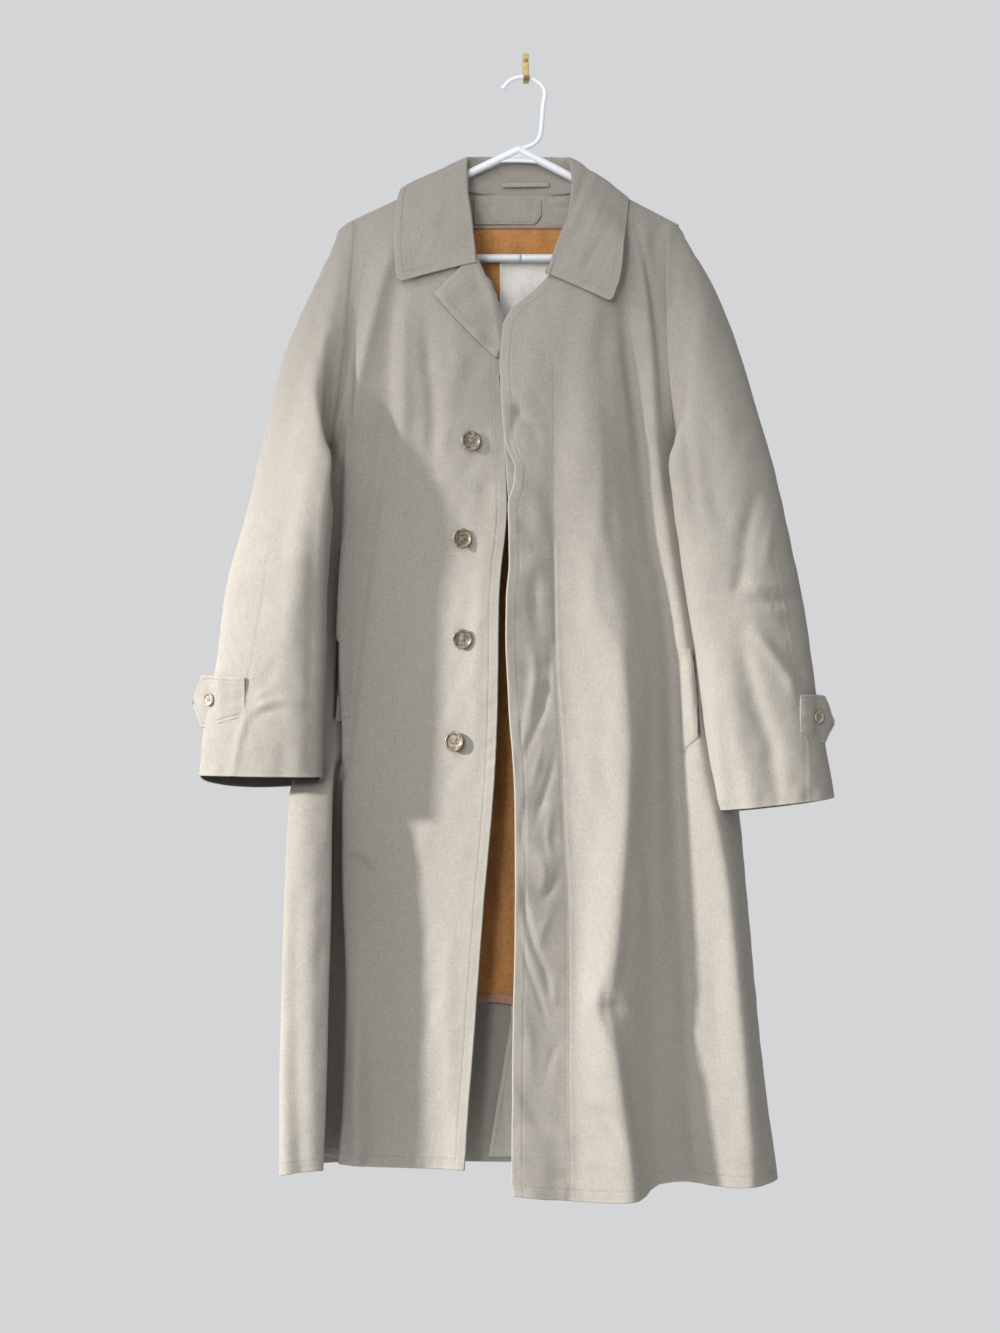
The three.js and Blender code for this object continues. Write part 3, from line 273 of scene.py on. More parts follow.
def shell(name, P, N, thick, mat, wrap=False, uv=None, swell=0.35, attrs=None):
    """A cloth wall of the given thickness behind the outer face P, with a rounded rim."""
    nr, nc = P.shape[:2]
    t = thick if np.isscalar(thick) else thick[..., None]
    inner = P - N * t
    o = np.arange(nr * nc).reshape(nr, nc)
    i = o + nr * nc
    verts = [P.reshape(-1, 3), inner.reshape(-1, 3)]
    faces = [quads(o, wrap), quads(i[:, ::-1], wrap) if not wrap else quads(i, wrap)[:, ::-1]]
    loops = []
    if wrap:
        for r, nb in ((0, 1), (nr - 1, nr - 2)):
            loops.append(([(r, j) for j in range(nc)], [(nb, j) for j in range(nc)]))
    else:
        a = [(0, j) for j in range(nc - 1)] + [(k, nc - 1) for k in range(nr - 1)] + [(nr - 1, j) for j in range(nc - 1, 0, -1)] + [(k, 0) for k in range(nr - 1, 0, -1)]
        b = [(min(max(r, 1), nr - 2), min(max(c, 1), nc - 2)) for r, c in a]
        loops.append((a, b))
    count = 2 * nr * nc
    uvs = None if uv is None else [uv.reshape(-1, 2), uv.reshape(-1, 2)]
    extra = {k: [v.reshape(-1), v.reshape(-1)] for k, v in (attrs or {}).items()}
    for ring, nb in loops:
        ra, ca = np.array(ring).T
        rb, cb = np.array(nb).T
        out = unit(P[ra, ca] - P[rb, cb])
        tt = thick if np.isscalar(thick) else thick[ra, ca][:, None]
        mid = (P[ra, ca] + inner[ra, ca]) / 2 + out * tt * swell
        m = np.arange(count, count + len(ring))
        count += len(ring)
        verts.append(mid)
        m2 = np.roll(m, -1)
        A, B = o[ra, ca], i[ra, ca]
        A2, B2 = np.roll(A, -1), np.roll(B, -1)
        faces += [np.stack([A, A2, m2, m], 1), np.stack([m, m2, B2, B], 1)]
        if uvs is not None:
            uvs.append(uv[ra, ca])
        for k, v in (attrs or {}).items():
            extra[k].append(v[ra, ca])
    return make_mesh(name, np.vstack(verts), np.vstack(faces), mat,
                     uv=None if uvs is None else np.vstack(uvs), attrs={k: np.concatenate(v) for k, v in extra.items()})


def cut_uv(P, axis_first=True):
    return np.stack([along(P, 1), -along(P, 0)], -1)


def tube(path, r, sides=16, closed_ends=True, squash=None):
    """Vertices and faces of a round tube along path (points in mm)."""
    path = np.asarray(path, float)
    T = unit(np.gradient(path, axis=0))
    ref = np.array([0.0, -1.0, 0.0])
    A = unit(ref - (T @ ref)[:, None] * T)
    B = np.cross(T, A)
    a = np.linspace(0, 2 * math.pi, sides, endpoint=False)
    rr = np.full(len(path), float(r)) if np.isscalar(r) else np.asarray(r, float)
    V = path[:, None] + rr[:, None, None] * (np.cos(a)[None, :, None] * A[:, None] + np.sin(a)[None, :, None] * B[:, None])
    idx = np.arange(V.shape[0] * sides).reshape(-1, sides)
    F = quads(idx, True).tolist()
    V = V.reshape(-1, 3)
    if closed_ends:
        n = len(V)
        V = np.vstack([V, path[0] - T[0] * rr[0] * 0.45, path[-1] + T[-1] * rr[-1] * 0.45])
        F += [[n, int(idx[0, (k + 1) % sides]), int(idx[0, k])] for k in range(sides)]
        F += [[n + 1, int(idx[-1, k]), int(idx[-1, (k + 1) % sides])] for k in range(sides)]
    return V, F


def merge(parts):
    V, F, n = [], [], 0
    for v, f in parts:
        V.append(np.asarray(v, float))
        F += [[int(i) + n for i in q] for q in f]
        n += len(v)
    return np.vstack(V), F


def lathe(profile, sides=40):
    """Turned about +Y."""
    pr = np.array(profile, float)
    a = np.linspace(0, 2 * math.pi, sides, endpoint=False)
    V = np.stack([pr[:, 0][:, None] * np.cos(a), np.repeat(pr[:, 1][:, None], sides, 1), pr[:, 0][:, None] * np.sin(a)], -1)
    idx = np.arange(len(pr) * sides).reshape(len(pr), sides)
    return V.reshape(-1, 3), quads(idx, True).tolist()


def turn(V, n, p, spin=0.0):
    """Vertices made about +Y, turned to face n and moved to p."""
    q = Vector((0, 1, 0)).rotation_difference(Vector(n)) @ Matrix.Rotation(spin, 3, "Y").to_quaternion()
    R = np.array(q.to_matrix())
    return np.asarray(V) @ R.T + np.asarray(p)


STITCH = []


def stitches(name, path, nrm, mat, step=3.1, length=2.3, r=0.24, lift=0.06):
    """A line of thread stitches lying along path, as one mesh."""
    path, nrm = np.asarray(path, float), np.asarray(nrm, float)
    L = np.concatenate([[0], np.cumsum(np.linalg.norm(np.diff(path, axis=0), axis=1))])
    s = np.arange(step * 0.5, L[-1] - step * 0.5, step)
    if len(s) < 2:
        return
    at = lambda q, A: np.stack([np.interp(q, L, A[:, k]) for k in range(3)], 1)
    c, n = at(s, path), unit(at(s, nrm))
    t = unit(at(s + 0.6, path) - at(s - 0.6, path))
    b = np.cross(t, n)
    rings = [(-0.5, 0.0, -0.6), (-0.3, 1.0, 0.35), (0.0, 1.05, 0.75), (0.3, 1.0, 0.35), (0.5, 0.0, -0.6)]
    V, F, sides = [], [], 6
    for f, rad, up in rings:
        base = c + t * f * length + n * (lift + up * r)
        if rad == 0:
            V.append(base[:, None])
        else:
            a = np.linspace(0, 2 * math.pi, sides, endpoint=False)
            V.append(base[:, None] + rad * r * (np.cos(a)[None, :, None] * n[:, None] + np.sin(a)[None, :, None] * b[:, None]))
    V = np.concatenate(V, 1)
    m = V.shape[1]
    one = []
    R = [[0], list(range(1, 7)), list(range(7, 13)), list(range(13, 19)), [19]]
    for k in range(sides):
        k2 = (k + 1) % sides
        one.append([R[0][0], R[1][k], R[1][k2], R[1][k2]])
        one.append([R[1][k], R[2][k], R[2][k2], R[1][k2]])
        one.append([R[2][k], R[3][k], R[3][k2], R[2][k2]])
        one.append([R[4][0], R[3][k2], R[3][k], R[3][k]])
    F = (np.array(one)[None] + (np.arange(len(s)) * m)[:, None, None]).reshape(-1, 4).tolist()
    F = [q[:3] if q[2] == q[3] else q for q in F]
    STITCH.append((V.reshape(-1, 3), F))


def flush_stitches(name, mat):
    """All the stitches laid since the last flush become one piece."""
    global STITCH
    if not STITCH:
        return None
    V, F = merge(STITCH)
    STITCH = []
    ob = make_mesh(name, V, F, mat, fix=False)
    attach(ob, "root")
    return ob


# ---------------------------------------------------------------- materials
def nodes_of(name):
    mat = bpy.data.materials.new(name)
    mat.use_nodes = True
    nt = mat.node_tree
    nt.nodes.clear()
    out = nt.nodes.new("ShaderNodeOutputMaterial")
    bs = nt.nodes.new("ShaderNodeBsdfPrincipled")
    nt.links.new(bs.outputs[0], out.inputs[0])
    return mat, nt, bs


class Net:
    def __init__(self, nt):
        self.nt = nt

    def node(self, kind, **kw):
        n = self.nt.nodes.new("ShaderNode" + kind)
        for k, v in kw.items():
            setattr(n, k, v)
        return n

    def link(self, a, b):
        self.nt.links.new(a, b)

    def math(self, op, a, b=None, clamp=False):
        n = self.node("Math", operation=op, use_clamp=clamp)
        for i, v in enumerate((a, b)):
            if v is None:
                continue
            if hasattr(v, "is_output"):
                self.link(v, n.inputs[i])
            else:
                n.inputs[i].default_value = v
        return n.outputs[0]

    def mix(self, fac, a, b, kind="MIX"):
        n = self.node("Mix", data_type="RGBA", blend_type=kind)
        for s, v in ((0, fac), (6, a), (7, b)):
            if hasattr(v, "is_output"):
                self.link(v, n.inputs[s])
            else:
                n.inputs[s].default_value = v if s == 0 else (*v, 1.0)
        return n.outputs[2]

    def noise(self, vec, scale, detail=3.0, rough=0.5, dim="3D"):
        n = self.node("TexNoise", noise_dimensions=dim)
        n.inputs["Scale"].default_value = scale
        n.inputs["Detail"].default_value = detail
        n.inputs["Roughness"].default_value = rough
        self.link(vec, n.inputs["Vector"])
        return n.outputs[0]

    def scaled(self, vec, x, y, z):
        n = self.node("Mapping")
        n.inputs["Scale"].default_value = (x, y, z)
        self.link(vec, n.inputs["Vector"])
        return n.outputs[0]

    def ramp(self, fac, stops):
        n = self.node("ValToRGB")
        e = n.color_ramp.elements
        while len(e) > 1:
            e.remove(e[-1])
        for i, (p, c) in enumerate(stops):
            el = e[0] if i == 0 else e.new(p)
            el.position = p
            el.color = (c, c, c, 1) if np.isscalar(c) else (*c, 1)
        self.link(fac, n.inputs[0])
        return n.outputs[0]


def lin(r, g, b):
    """8-bit sRGB to linear."""
    return tuple(((c / 255 + 0.055) / 1.055) ** 2.4 if c > 10 else c / 255 / 12.92 for c in (r, g, b))


def cloth_material(name, base, pitch=0.52, bump=0.16, uneven=0.05, sheen=0.12, rough=0.82, wear_and_pocket_shade=True):
    """A tight plain weave: crossed threads from the cut's own directions, slubs, and slow changes of tone."""
    mat, nt, bs = nodes_of(name)
    g = Net(nt)
    uv = g.node("UVMap", uv_map="Cut").outputs[0]
    obj = g.node("TexCoord").outputs["Object"]
    warp = g.node("TexWave", wave_type="BANDS", bands_direction="X", wave_profile="SIN")
    weft = g.node("TexWave", wave_type="BANDS", bands_direction="Y", wave_profile="SIN")
    for w, ph in ((warp, 0.0), (weft, 1.3)):
        g.link(uv, w.inputs["Vector"])
        w.inputs["Scale"].default_value = 1.0 / (pitch * MM) / 20.0 * math.pi
        w.inputs["Distortion"].default_value = 1.1
        w.inputs["Detail"].default_value = 1.0
        w.inputs["Detail Scale"].default_value = 0.6
        w.inputs["Phase Offset"].default_value = ph
    weave = g.math("MULTIPLY", warp.outputs[1], weft.outputs[1])
    slub_v = g.noise(g.scaled(uv, 900, 60, 1), 1.0, 2.0, 0.6)
    slub_h = g.noise(g.scaled(uv, 70, 1000, 1), 1.0, 2.0, 0.6)
    slub = g.math("ADD", g.math("MULTIPLY", slub_v, 0.5), g.math("MULTIPLY", slub_h, 0.5))
    grain = g.noise(obj, 520.0, 2.0, 0.65)
    slow = g.noise(g.scaled(obj, 1, 1, 0.45), 5.5, 3.0, 0.55)
    mid = g.noise(obj, 38.0, 3.0, 0.55)
    dark, light = tuple(c * (1 - 1.5 * uneven) for c in base), tuple(min(1, c * (1 + 1.5 * uneven)) for c in base)
    tone = g.mix(g.ramp(slow, [(0.3, 0.0), (0.7, 1.0)]), dark, light)
    warmer = tuple(np.array(base) * (1.03, 0.99, 0.93))
    tone = g.mix(g.math("MULTIPLY", g.ramp(mid, [(0.35, 0.0), (0.7, 1.0)]), 0.30), tone, warmer)
    thread = g.ramp(slub, [(0.25, 0.83), (0.5, 1.0), (0.78, 1.13)])
    col = g.mix(1.0, tone, thread, "MULTIPLY")
    grainy = g.ramp(grain, [(0.25, 0.86), (0.75, 1.12)])
    col = g.mix(1.0, col, grainy, "MULTIPLY")
    wv = g.ramp(weave, [(0.0, 0.90), (0.6, 1.05)])
    col = g.mix(1.0, col, wv, "MULTIPLY")
    # rubbed edges are wear; the pocket-mouth darkening below is painted shade
    if wear_and_pocket_shade:
        edge = g.node("Attribute", attribute_name="rim", attribute_type="GEOMETRY").outputs["Fac"]
        rubbed = tuple(min(1, c * 1.12) for c in base)
        col = g.mix(g.math("MULTIPLY", edge, 0.45), col, rubbed)
        # painted shade: the shadow inside a pocket mouth, painted as a near-black band beside the welt
        painted_mouth_shade = g.node("Attribute", attribute_name="slit_painted_shade", attribute_type="GEOMETRY").outputs["Fac"]
        col = g.mix(g.math("MULTIPLY", painted_mouth_shade, 0.86), col, (0.016, 0.013, 0.011))
    g.link(col, bs.inputs["Base Color"])
    r = g.math("ADD", g.math("MULTIPLY", slub, 0.16), rough - 0.08)
    g.link(r, bs.inputs["Roughness"])
    bs.inputs["Sheen Weight"].default_value = sheen
    bs.inputs["Sheen Roughness"].default_value = 0.45
    bs.inputs["Specular IOR Level"].default_value = 0.32
    height = g.math("ADD", g.math("MULTIPLY", weave, 0.9), g.math("ADD", g.math("MULTIPLY", slub, 1.1), g.math("MULTIPLY", grain, 0.5)))
    b = g.node("Bump")
    b.inputs["Strength"].default_value = bump
    b.inputs["Distance"].default_value = 0.0006
    g.link(height, b.inputs["Height"])
    g.link(b.outputs[0], bs.inputs["Normal"])
    return mat


def pile_material(name, base):
    mat, nt, bs = nodes_of(name)
    g = Net(nt)
    obj = g.node("TexCoord").outputs["Object"]
    tuft = g.noise(obj, 420.0, 3.0, 0.7)
    lie = g.noise(g.scaled(obj, 1, 1, 0.35), 60.0, 3.0, 0.6)
    slow = g.noise(obj, 11.0, 2.0, 0.5)
    col = g.mix(g.ramp(lie, [(0.3, 0.0), (0.7, 1.0)]), tuple(c * 0.80 for c in base), tuple(min(1, c * 1.15) for c in base))
    col = g.mix(1.0, col, g.ramp(tuft, [(0.25, 0.66), (0.55, 1.0), (0.8, 1.22)]), "MULTIPLY")
    col = g.mix(1.0, col, g.ramp(slow, [(0.3, 0.93), (0.7, 1.06)]), "MULTIPLY")
    g.link(col, bs.inputs["Base Color"])
    bs.inputs["Roughness"].default_value = 0.95
    bs.inputs["Sheen Weight"].default_value = 0.55
    bs.inputs["Sheen Roughness"].default_value = 0.35
    bs.inputs["Sheen Tint"].default_value = (1.0, 0.72, 0.42, 1.0)
    bs.inputs["Specular IOR Level"].default_value = 0.2
    b = g.node("Bump")
    b.inputs["Strength"].default_value = 0.7
    b.inputs["Distance"].default_value = 0.0016
    g.link(g.math("ADD", tuft, g.math("MULTIPLY", lie, 0.5)), b.inputs["Height"])
    g.link(b.outputs[0], bs.inputs["Normal"])
    return mat


def plastic_material(name, base, rough=0.34, speck=0.02, mottled=None, scale=90.0, coat=0.0, bump=0.05):
    mat, nt, bs = nodes_of(name)
    g = Net(nt)
    obj = g.node("TexCoord").outputs["Object"]
    fine = g.noise(obj, 900.0, 2.0, 0.5)
    slow = g.noise(obj, scale, 4.0, 0.62)
    if mottled:
        col = g.ramp(slow, [(0.30, mottled[0]), (0.48, mottled[1]), (0.56, mottled[2]), (0.74, mottled[3])])
    else:
        col = g.mix(g.ramp(slow, [(0.3, 0.0), (0.7, 1.0)]), tuple(c * (1 - speck) for c in base), tuple(min(1, c * (1 + speck)) for c in base))
    g.link(col, bs.inputs["Base Color"])
    scuff = g.noise(g.scaled(obj, 1, 1, 4), 140.0, 4.0, 0.7)
    g.link(g.math("ADD", g.math("MULTIPLY", scuff, 0.22), rough - 0.11), bs.inputs["Roughness"])
    bs.inputs["Coat Weight"].default_value = coat
    bs.inputs["Coat Roughness"].default_value = 0.2
    b = g.node("Bump")
    b.inputs["Strength"].default_value = bump
    b.inputs["Distance"].default_value = 0.0004
    g.link(g.math("ADD", fine, slow), b.inputs["Height"])
    g.link(b.outputs[0], bs.inputs["Normal"])
    return mat


def metal_material(name, base):
    mat, nt, bs = nodes_of(name)
    g = Net(nt)
    obj = g.node("TexCoord").outputs["Object"]
    brush = g.noise(g.scaled(obj, 2200, 160, 90), 1.0, 3.0, 0.6)
    spot = g.noise(obj, 260.0, 4.0, 0.62)
    col = g.mix(g.ramp(spot, [(0.42, 0.0), (0.72, 1.0)]), base, tuple(np.array(base) * (0.62, 0.55, 0.42)))
    g.link(col, bs.inputs["Base Color"])
    bs.inputs["Metallic"].default_value = 1.0
    g.link(g.math("ADD", g.math("MULTIPLY", brush, 0.20), g.math("ADD", g.math("MULTIPLY", spot, 0.15), 0.18)), bs.inputs["Roughness"])
    b = g.node("Bump")
    b.inputs["Strength"].default_value = 0.12
    b.inputs["Distance"].default_value = 0.0002
    g.link(brush, b.inputs["Height"])
    g.link(b.outputs[0], bs.inputs["Normal"])
    return mat


CLOTH_BASE = (0.320, 0.297, 0.264)
M_CLOTH = cloth_material("coat_cloth_woven", CLOTH_BASE)
# painted light: the facing cloth is 12% lighter than the shell, standing in for light reaching the inside of the neck
M_FACING_PAINTED_LIGHT = cloth_material("coat_cloth_facing_painted_lit", tuple(c * 1.12 for c in CLOTH_BASE), wear_and_pocket_shade=False)
# painted light: the vent's underlap cloth is made about 1.6 times lighter than the shell, standing in for a lit patch
M_UNDERLAP_PAINTED_LIGHT = cloth_material("coat_cloth_underlap_painted_lit", tuple(np.array(CLOTH_BASE) * (1.55, 1.62, 1.6)), wear_and_pocket_shade=False)
M_THREAD = cloth_material("stitch_thread", tuple(np.array(CLOTH_BASE) * 0.95), pitch=0.3, wear_and_pocket_shade=False, sheen=0.3)
M_LINING = pile_material("lining_pile_rust", (0.560, 0.262, 0.090))
# a real sleeve lining, made near-black as painted shade for the inside of the sleeves
M_SLEEVE_LINING_PAINTED_SHADE = cloth_material("sleeve_lining_painted_shade", (0.060, 0.049, 0.040), pitch=0.35, bump=0.06, uneven=0.03, sheen=0.1, rough=0.62, wear_and_pocket_shade=False)
M_BIND = cloth_material("binding_tape_rose", (0.50, 0.27, 0.20), pitch=0.8, sheen=0.2, wear_and_pocket_shade=False)
M_LABEL = cloth_material("label_satin_weave", (0.88, 0.86, 0.81), pitch=0.35, bump=0.08, uneven=0.02, sheen=0.3, rough=0.6, wear_and_pocket_shade=False)
M_LABELEDGE = cloth_material("label_edge_thread", (0.45, 0.43, 0.38), pitch=0.3, wear_and_pocket_shade=False)
M_HANGER = plastic_material("hanger_moulded_white", (0.80, 0.82, 0.85), rough=0.36, speck=0.015, coat=0.15)
M_BRASS = metal_material("brass_brushed", (0.40, 0.305, 0.15))
M_BUTTON = plastic_material("button_horn", (0.2, 0.17, 0.12), rough=0.38, mottled=[(0.060, 0.046, 0.028), (0.140, 0.110, 0.070), (0.215, 0.175, 0.120), (0.36, 0.31, 0.24)], scale=210.0, coat=0.35, bump=0.10)
M_BUTTON_PALE = plastic_material("button_horn_pale", (0.3, 0.25, 0.2), rough=0.38, mottled=[(0.13, 0.095, 0.062), (0.27, 0.21, 0.15), (0.40, 0.33, 0.25), (0.50, 0.45, 0.36)], scale=260.0, coat=0.35, bump=0.10)

# ---------------------------------------------------------------- the same tables as the solids
CLOTH, LINING, COLLAR_T = 1.6, 2.0, 2.2
HANGER_Y, TUBE, WIRE, PEAK = -24.0, 4.5, 2.3, (-8.0, -99.0)
ARM_L, ARM_R, BAR_Z = (-194.0, -188.5), (164.0, -190.0), -225.5

SLEEVE_LEFT = [
    [-205, -184, -24, -231, -445, -40, 42, 21, 13, 0],
    [-226, -199, -27, -244, -458, -50, 45, 22, 12, 0],
    [-244, -240, -36, -241, -474, -63, 44, 24, 9, 0],
    [-266, -294, -46, -229, -497, -74, 47, 26, 5, 0],
    [-290, -375, -64, -221, -532, -83, 44, 27, 2, 0],
    [-314, -484, -76, -222, -578, -89, 35, 27, 0, 0],
    [-339, -599, -87, -226, -635, -90, 32, 27, 0, 0],
    [-355, -707, -92, -228, -718, -92, 30, 26, 0, 2],
    [-367, -764, -92, -231, -769, -92, 30, 25, 0, 8],
    [-373, -820, -91, -234, -821, -91, 30, 24, 0, 14],
]
SLEEVE_RIGHT = [
    [175, -186, -24, 186, -454, -40, 42, 21, -21, 0],
    [207, -220, -29, 199, -468, -52, 46, 22, -26, 0],
    [225, -258, -38, 194, -484, -68, 46, 24, -24, 0],
    [241, -311, -48, 180, -506, -79, 44, 25, -16, 0],
    [263, -387, -60, 171, -541, -85, 42, 26, -6, 0],
    [286, -474, -70, 174, -580, -88, 40, 27, 0, 0],
    [312, -604, -80, 181, -637, -89, 38, 27, 0, 0],
    [327, -707, -84, 193, -724, -86, 36, 26, 0, 0],
    [340, -775, -85, 201, -786, -86, 34, 25, 0, 2],
    [350, -845, -85, 217, -860, -86, 33, 24, 0, 5],
]
ARM_ANGLE = curve1([0, 1, 2, 3, 4, 5, 6], [0, 12, 45, 80, 110, 142, 180])

FRONT_RIGHT = [
    [-130, 0, [68, -24], [80, -24], [95, -24], [111, -24], [126, -24], [141, -24], [158, -24], 0],
    [-134.5, 0, [67, -31.8], [80, -31.8], [95, -31.8], [111, -31.8], [126, -31.8], [141, -31.8], [158, -32], 0],
    [-185, 0, [58, -62], [71, -67], [88, -70], [104, -68], [118, -62], [133, -65], [148, -59], 0],
    [-253, 0, [27, -84], [50, -89], [76, -90], [98, -84], [113, -76], [133, -80], [149, -74], 0],
    [-306, 0, [-24, -86], [34, -91], [74, -92], [104, -84], [118, -75], [141, -81], [153, -75], 0],
    [-346, 0, [-29, -87], [22, -92], [78, -93], [110, -84], [126, -74], [146, -80], [158, -74], 0],
    [-437, 0, [-25, -88], [23, -92], [81, -93], [113, -83], [132, -71], [149, -73], [171, -57], 0],
    [-560, -560, [-18, -89], [28, -90], [87, -98], [129, -84], [147, -73], [161, -72], [201, -36], [193, -22]],
    [-690, -690, [-21, -90], [33, -90], [107, -106], [145, -88], [167, -75], [180, -78], [223, -38], [211, -19]],
    [-800, -800, [-16, -93], [39, -92], [114, -110], [147, -91], [174, -78], [194, -79], [239, -42], [226, -18]],
    [-930, -930, [-13, -97], [45, -95], [105, -113], [147, -93], [179, -80], [224, -90], [251, -45], [237, -18]],
    [-1070, -1070, [-14, -102], [46, -98], [95, -117], [145, -94], [185, -82], [239, -95], [263, -46], [248, -18]],
    [-1190, -1188, [-16, -107], [46, -102], [106, -123, -1], [146, -97], [193, -85, 2], [249, -98], [275, -46], [260, -18]],
    [-1291, -1285, [-14, -111], [46, -106, -1], [118, -128, -6], [153, -101, 1], [197, -87, 6], [254, -100, 1], [288, -44], [272, -18]],
]
FRONT_LEFT = [
    [-127, 0, [-84, -24], [-98, -24], [-114, -24], [-128, -24], [-142, -24], [-155, -24], [-167, -24], [-180, -24], [-192, -24], 0],
    [-131.5, 0, [-83, -31.8], [-98, -31.8], [-114, -31.8], [-128, -31.8], [-142, -31.8], [-155, -31.8], [-167, -31.8], [-180, -32], [-192, -32], 0],
    [-190, 0, [-72, -62], [-88, -68], [-116, -70], [-132, -68], [-150, -68], [-162, -64], [-173, -61], [-183, -59], [-192, -57], 0],
    [-226, 0, [-59, -80], [-86, -84], [-130, -82], [-148, -77], [-166, -79], [-176, -75], [-184, -72], [-191, -70], [-197, -70], 0],
    [-267, 0, [-43, -82], [-84, -86], [-136, -84], [-156, -76], [-183, -80], [-191, -75], [-197, -72], [-202, -71], [-206, -72], 0],
    [-341, 0, [-30, -82], [-84, -86], [-138, -82], [-159, -73], [-197, -75], [-204, -69], [-209, -65], [-212, -62], [-215, -62], 0],
    [-437, 0, [-19, -80], [-84, -80], [-140, -74], [-165, -67], [-206, -64], [-208, -60], [-211, -57], [-215, -54], [-220, -50], 0],
    [-560, -560, [-26, -80], [-90, -72], [-143, -64], [-179, -59], [-211, -56], [-212, -42], [-221, -42], [-234, -46], [-248, -32], [-238, -21]],
    [-690, -690, [-33, -80], [-95, -67], [-147, -59], [-188, -56], [-216, -53], [-211, -32], [-222, -44], [-238, -56], [-258, -38], [-246, -18]],
    [-800, -800, [-36, -80], [-98, -65], [-150, -58], [-189, -55], [-211, -52], [-204, -29], [-220, -50], [-240, -61], [-267, -44], [-254, -18]],
    [-930, -930, [-46, -79], [-107, -64], [-154, -57], [-188, -54], [-212, -51], [-214, -26], [-219, -98], [-249, -106], [-273, -94], [-260, -18]],
    [-1070, -1070, [-57, -79], [-108, -64], [-154, -57], [-187, -54], [-207, -50], [-215, -26], [-222, -102], [-252, -110], [-277, -98], [-265, -18]],
    [-1190, -1190, [-66, -80], [-105, -66], [-153, -58], [-187, -54], [-210, -50], [-216, -26], [-225, -104], [-255, -112], [-279, -101], [-266, -18]],
    [-1268, -1274, [-70, -81], [-103, -68], [-153, -59], [-187, -55], [-216, -50], [-219, -26], [-228, -104], [-257, -113], [-279, -102], [-265, -18]],
]
BACK_RIGHT = [
    [-130, 0, [68, -24], [95, -24], [122, -24], [149, -24], 0],
    [-135, 0, [63, -16.2], [92, -16.2], [120, -16.2], [148, -16.2], 0],
    [-151, 0, [-8, -8.5], [42, -9], [90, -10], [136, -9], 0],
    [-220, 0, [-8, -8.5], [42, -8], [92, -11], [138, -7], 0],
    [-290, 0, [-8, -9], [43, -7], [93, -12], [140, -7], 0],
    [-368, 0, [-8, -10], [44, -7], [95, -13], [144, -7], 0],
    [-437, 0, [-8, -11], [45, -7], [98, -14], [150, -8], 0],
    [-560, -560, [-8, -12], [46, -7], [103, -15], [156, -8], 1],
    [-690, -690, [-8, -12], [48, -7], [108, -17], [166, -7], 1],
    [-800, -800, [-8, -12], [50, -6], [113, -19], [175, -7], 1],
    [-930, -930, [-8, -12], [52, -6], [118, -21], [184, -7], 1],
    [-1070, -1070, [-8, -12], [54, -6], [123, -23], [192, -6], 1],
    [-1188, -1188, [-7, -11], [56, -6], [127, -25], [200, -6], 1],
    [-1277, -1285, [-5, -10], [58, -6], [131, -27], [208, -6], 1],
]
BACK_LEFT = [
    [-127, 0, [-84, -24], [-115, -24], [-147, -24], [-178, -24], 0],
    [-132, 0, [-79, -16.2], [-112, -16.2], [-145, -16.2], [-177, -16.2], 0],
    [-151, 0, [-8, -8.5], [-58, -9], [-112, -10], [-162, -9], 0],
    [-220, 0, [-8, -8.5], [-58, -8], [-111, -10], [-160, -7], 0],
    [-290, 0, [-8, -9], [-58, -7], [-112, -11], [-163, -7], 0],
    [-368, 0, [-8, -10], [-60, -7], [-114, -12], [-168, -7], 0],
    [-437, 0, [-8, -11], [-61, -7], [-117, -13], [-175, -9], 0],
    [-560, -560, [-8, -12], [-63, -7], [-121, -14], [-183, -8], 1],
    [-690, -690, [-8, -12], [-65, -7], [-127, -15], [-190, -7], 1],
    [-800, -800, [-8, -12], [-67, -6], [-132, -17], [-198, -7], 1],
    [-930, -930, [-8, -12], [-69, -6], [-137, -18], [-205, -7], 1],
    [-1070, -1070, [-8, -12], [-71, -6], [-141, -20], [-209, -6], 1],
    [-1190, -1190, [-10, -11], [-73, -6], [-144, -21], [-211, -6], 1],
    [-1272, -1274, [-13, -10], [-75, -6], [-147, -22], [-212, -6], 1],
]
UNDERARM = 6


class Sleeve:
    def __init__(self, table, lean):
        self.lean = lean
        t = np.array(table, float)
        self.k = np.arange(len(t), dtype=float)
        self.t, self.m = t, slopes(self.k, t)

    def at(self, angle, r):
        angle, r = np.broadcast_arrays(np.atleast_1d(np.asarray(angle, float)), np.atleast_1d(np.asarray(r, float)))
        shape = angle.shape
        angle, r = angle.ravel(), r.ravel()
        g = cubic(self.k, self.t, self.m, r).T
        a = np.radians(np.abs(angle))
        c, s = (1 - np.cos(a)) / 2, np.maximum(0, np.sin(a)) ** 0.85
        front = angle >= 0
        x = g[0] + (g[3] - g[0]) * c + g[8] * s ** 0.7 * np.where(front, 1, 0.2)
        lean = np.clip((r - 0.6) / 1.6, 0, 1)
        full = np.where(c > 0.5, s ** (1 - 0.42 * lean * (self.lean > 0)), s)
        y = g[2] + (g[5] - g[2]) * c + np.where(front, -g[6] * (1 + lean * self.lean * (c - 0.45)) * full, g[7] * s)
        z = g[1] + (g[4] - g[1]) * c - np.where(front, 0, g[9] * s)
        return np.stack([x, y, z], -1).reshape(*shape, 3)


ARM = {"left": Sleeve(SLEEVE_LEFT, 0.85), "right": Sleeve(SLEEVE_RIGHT, -0.35)}


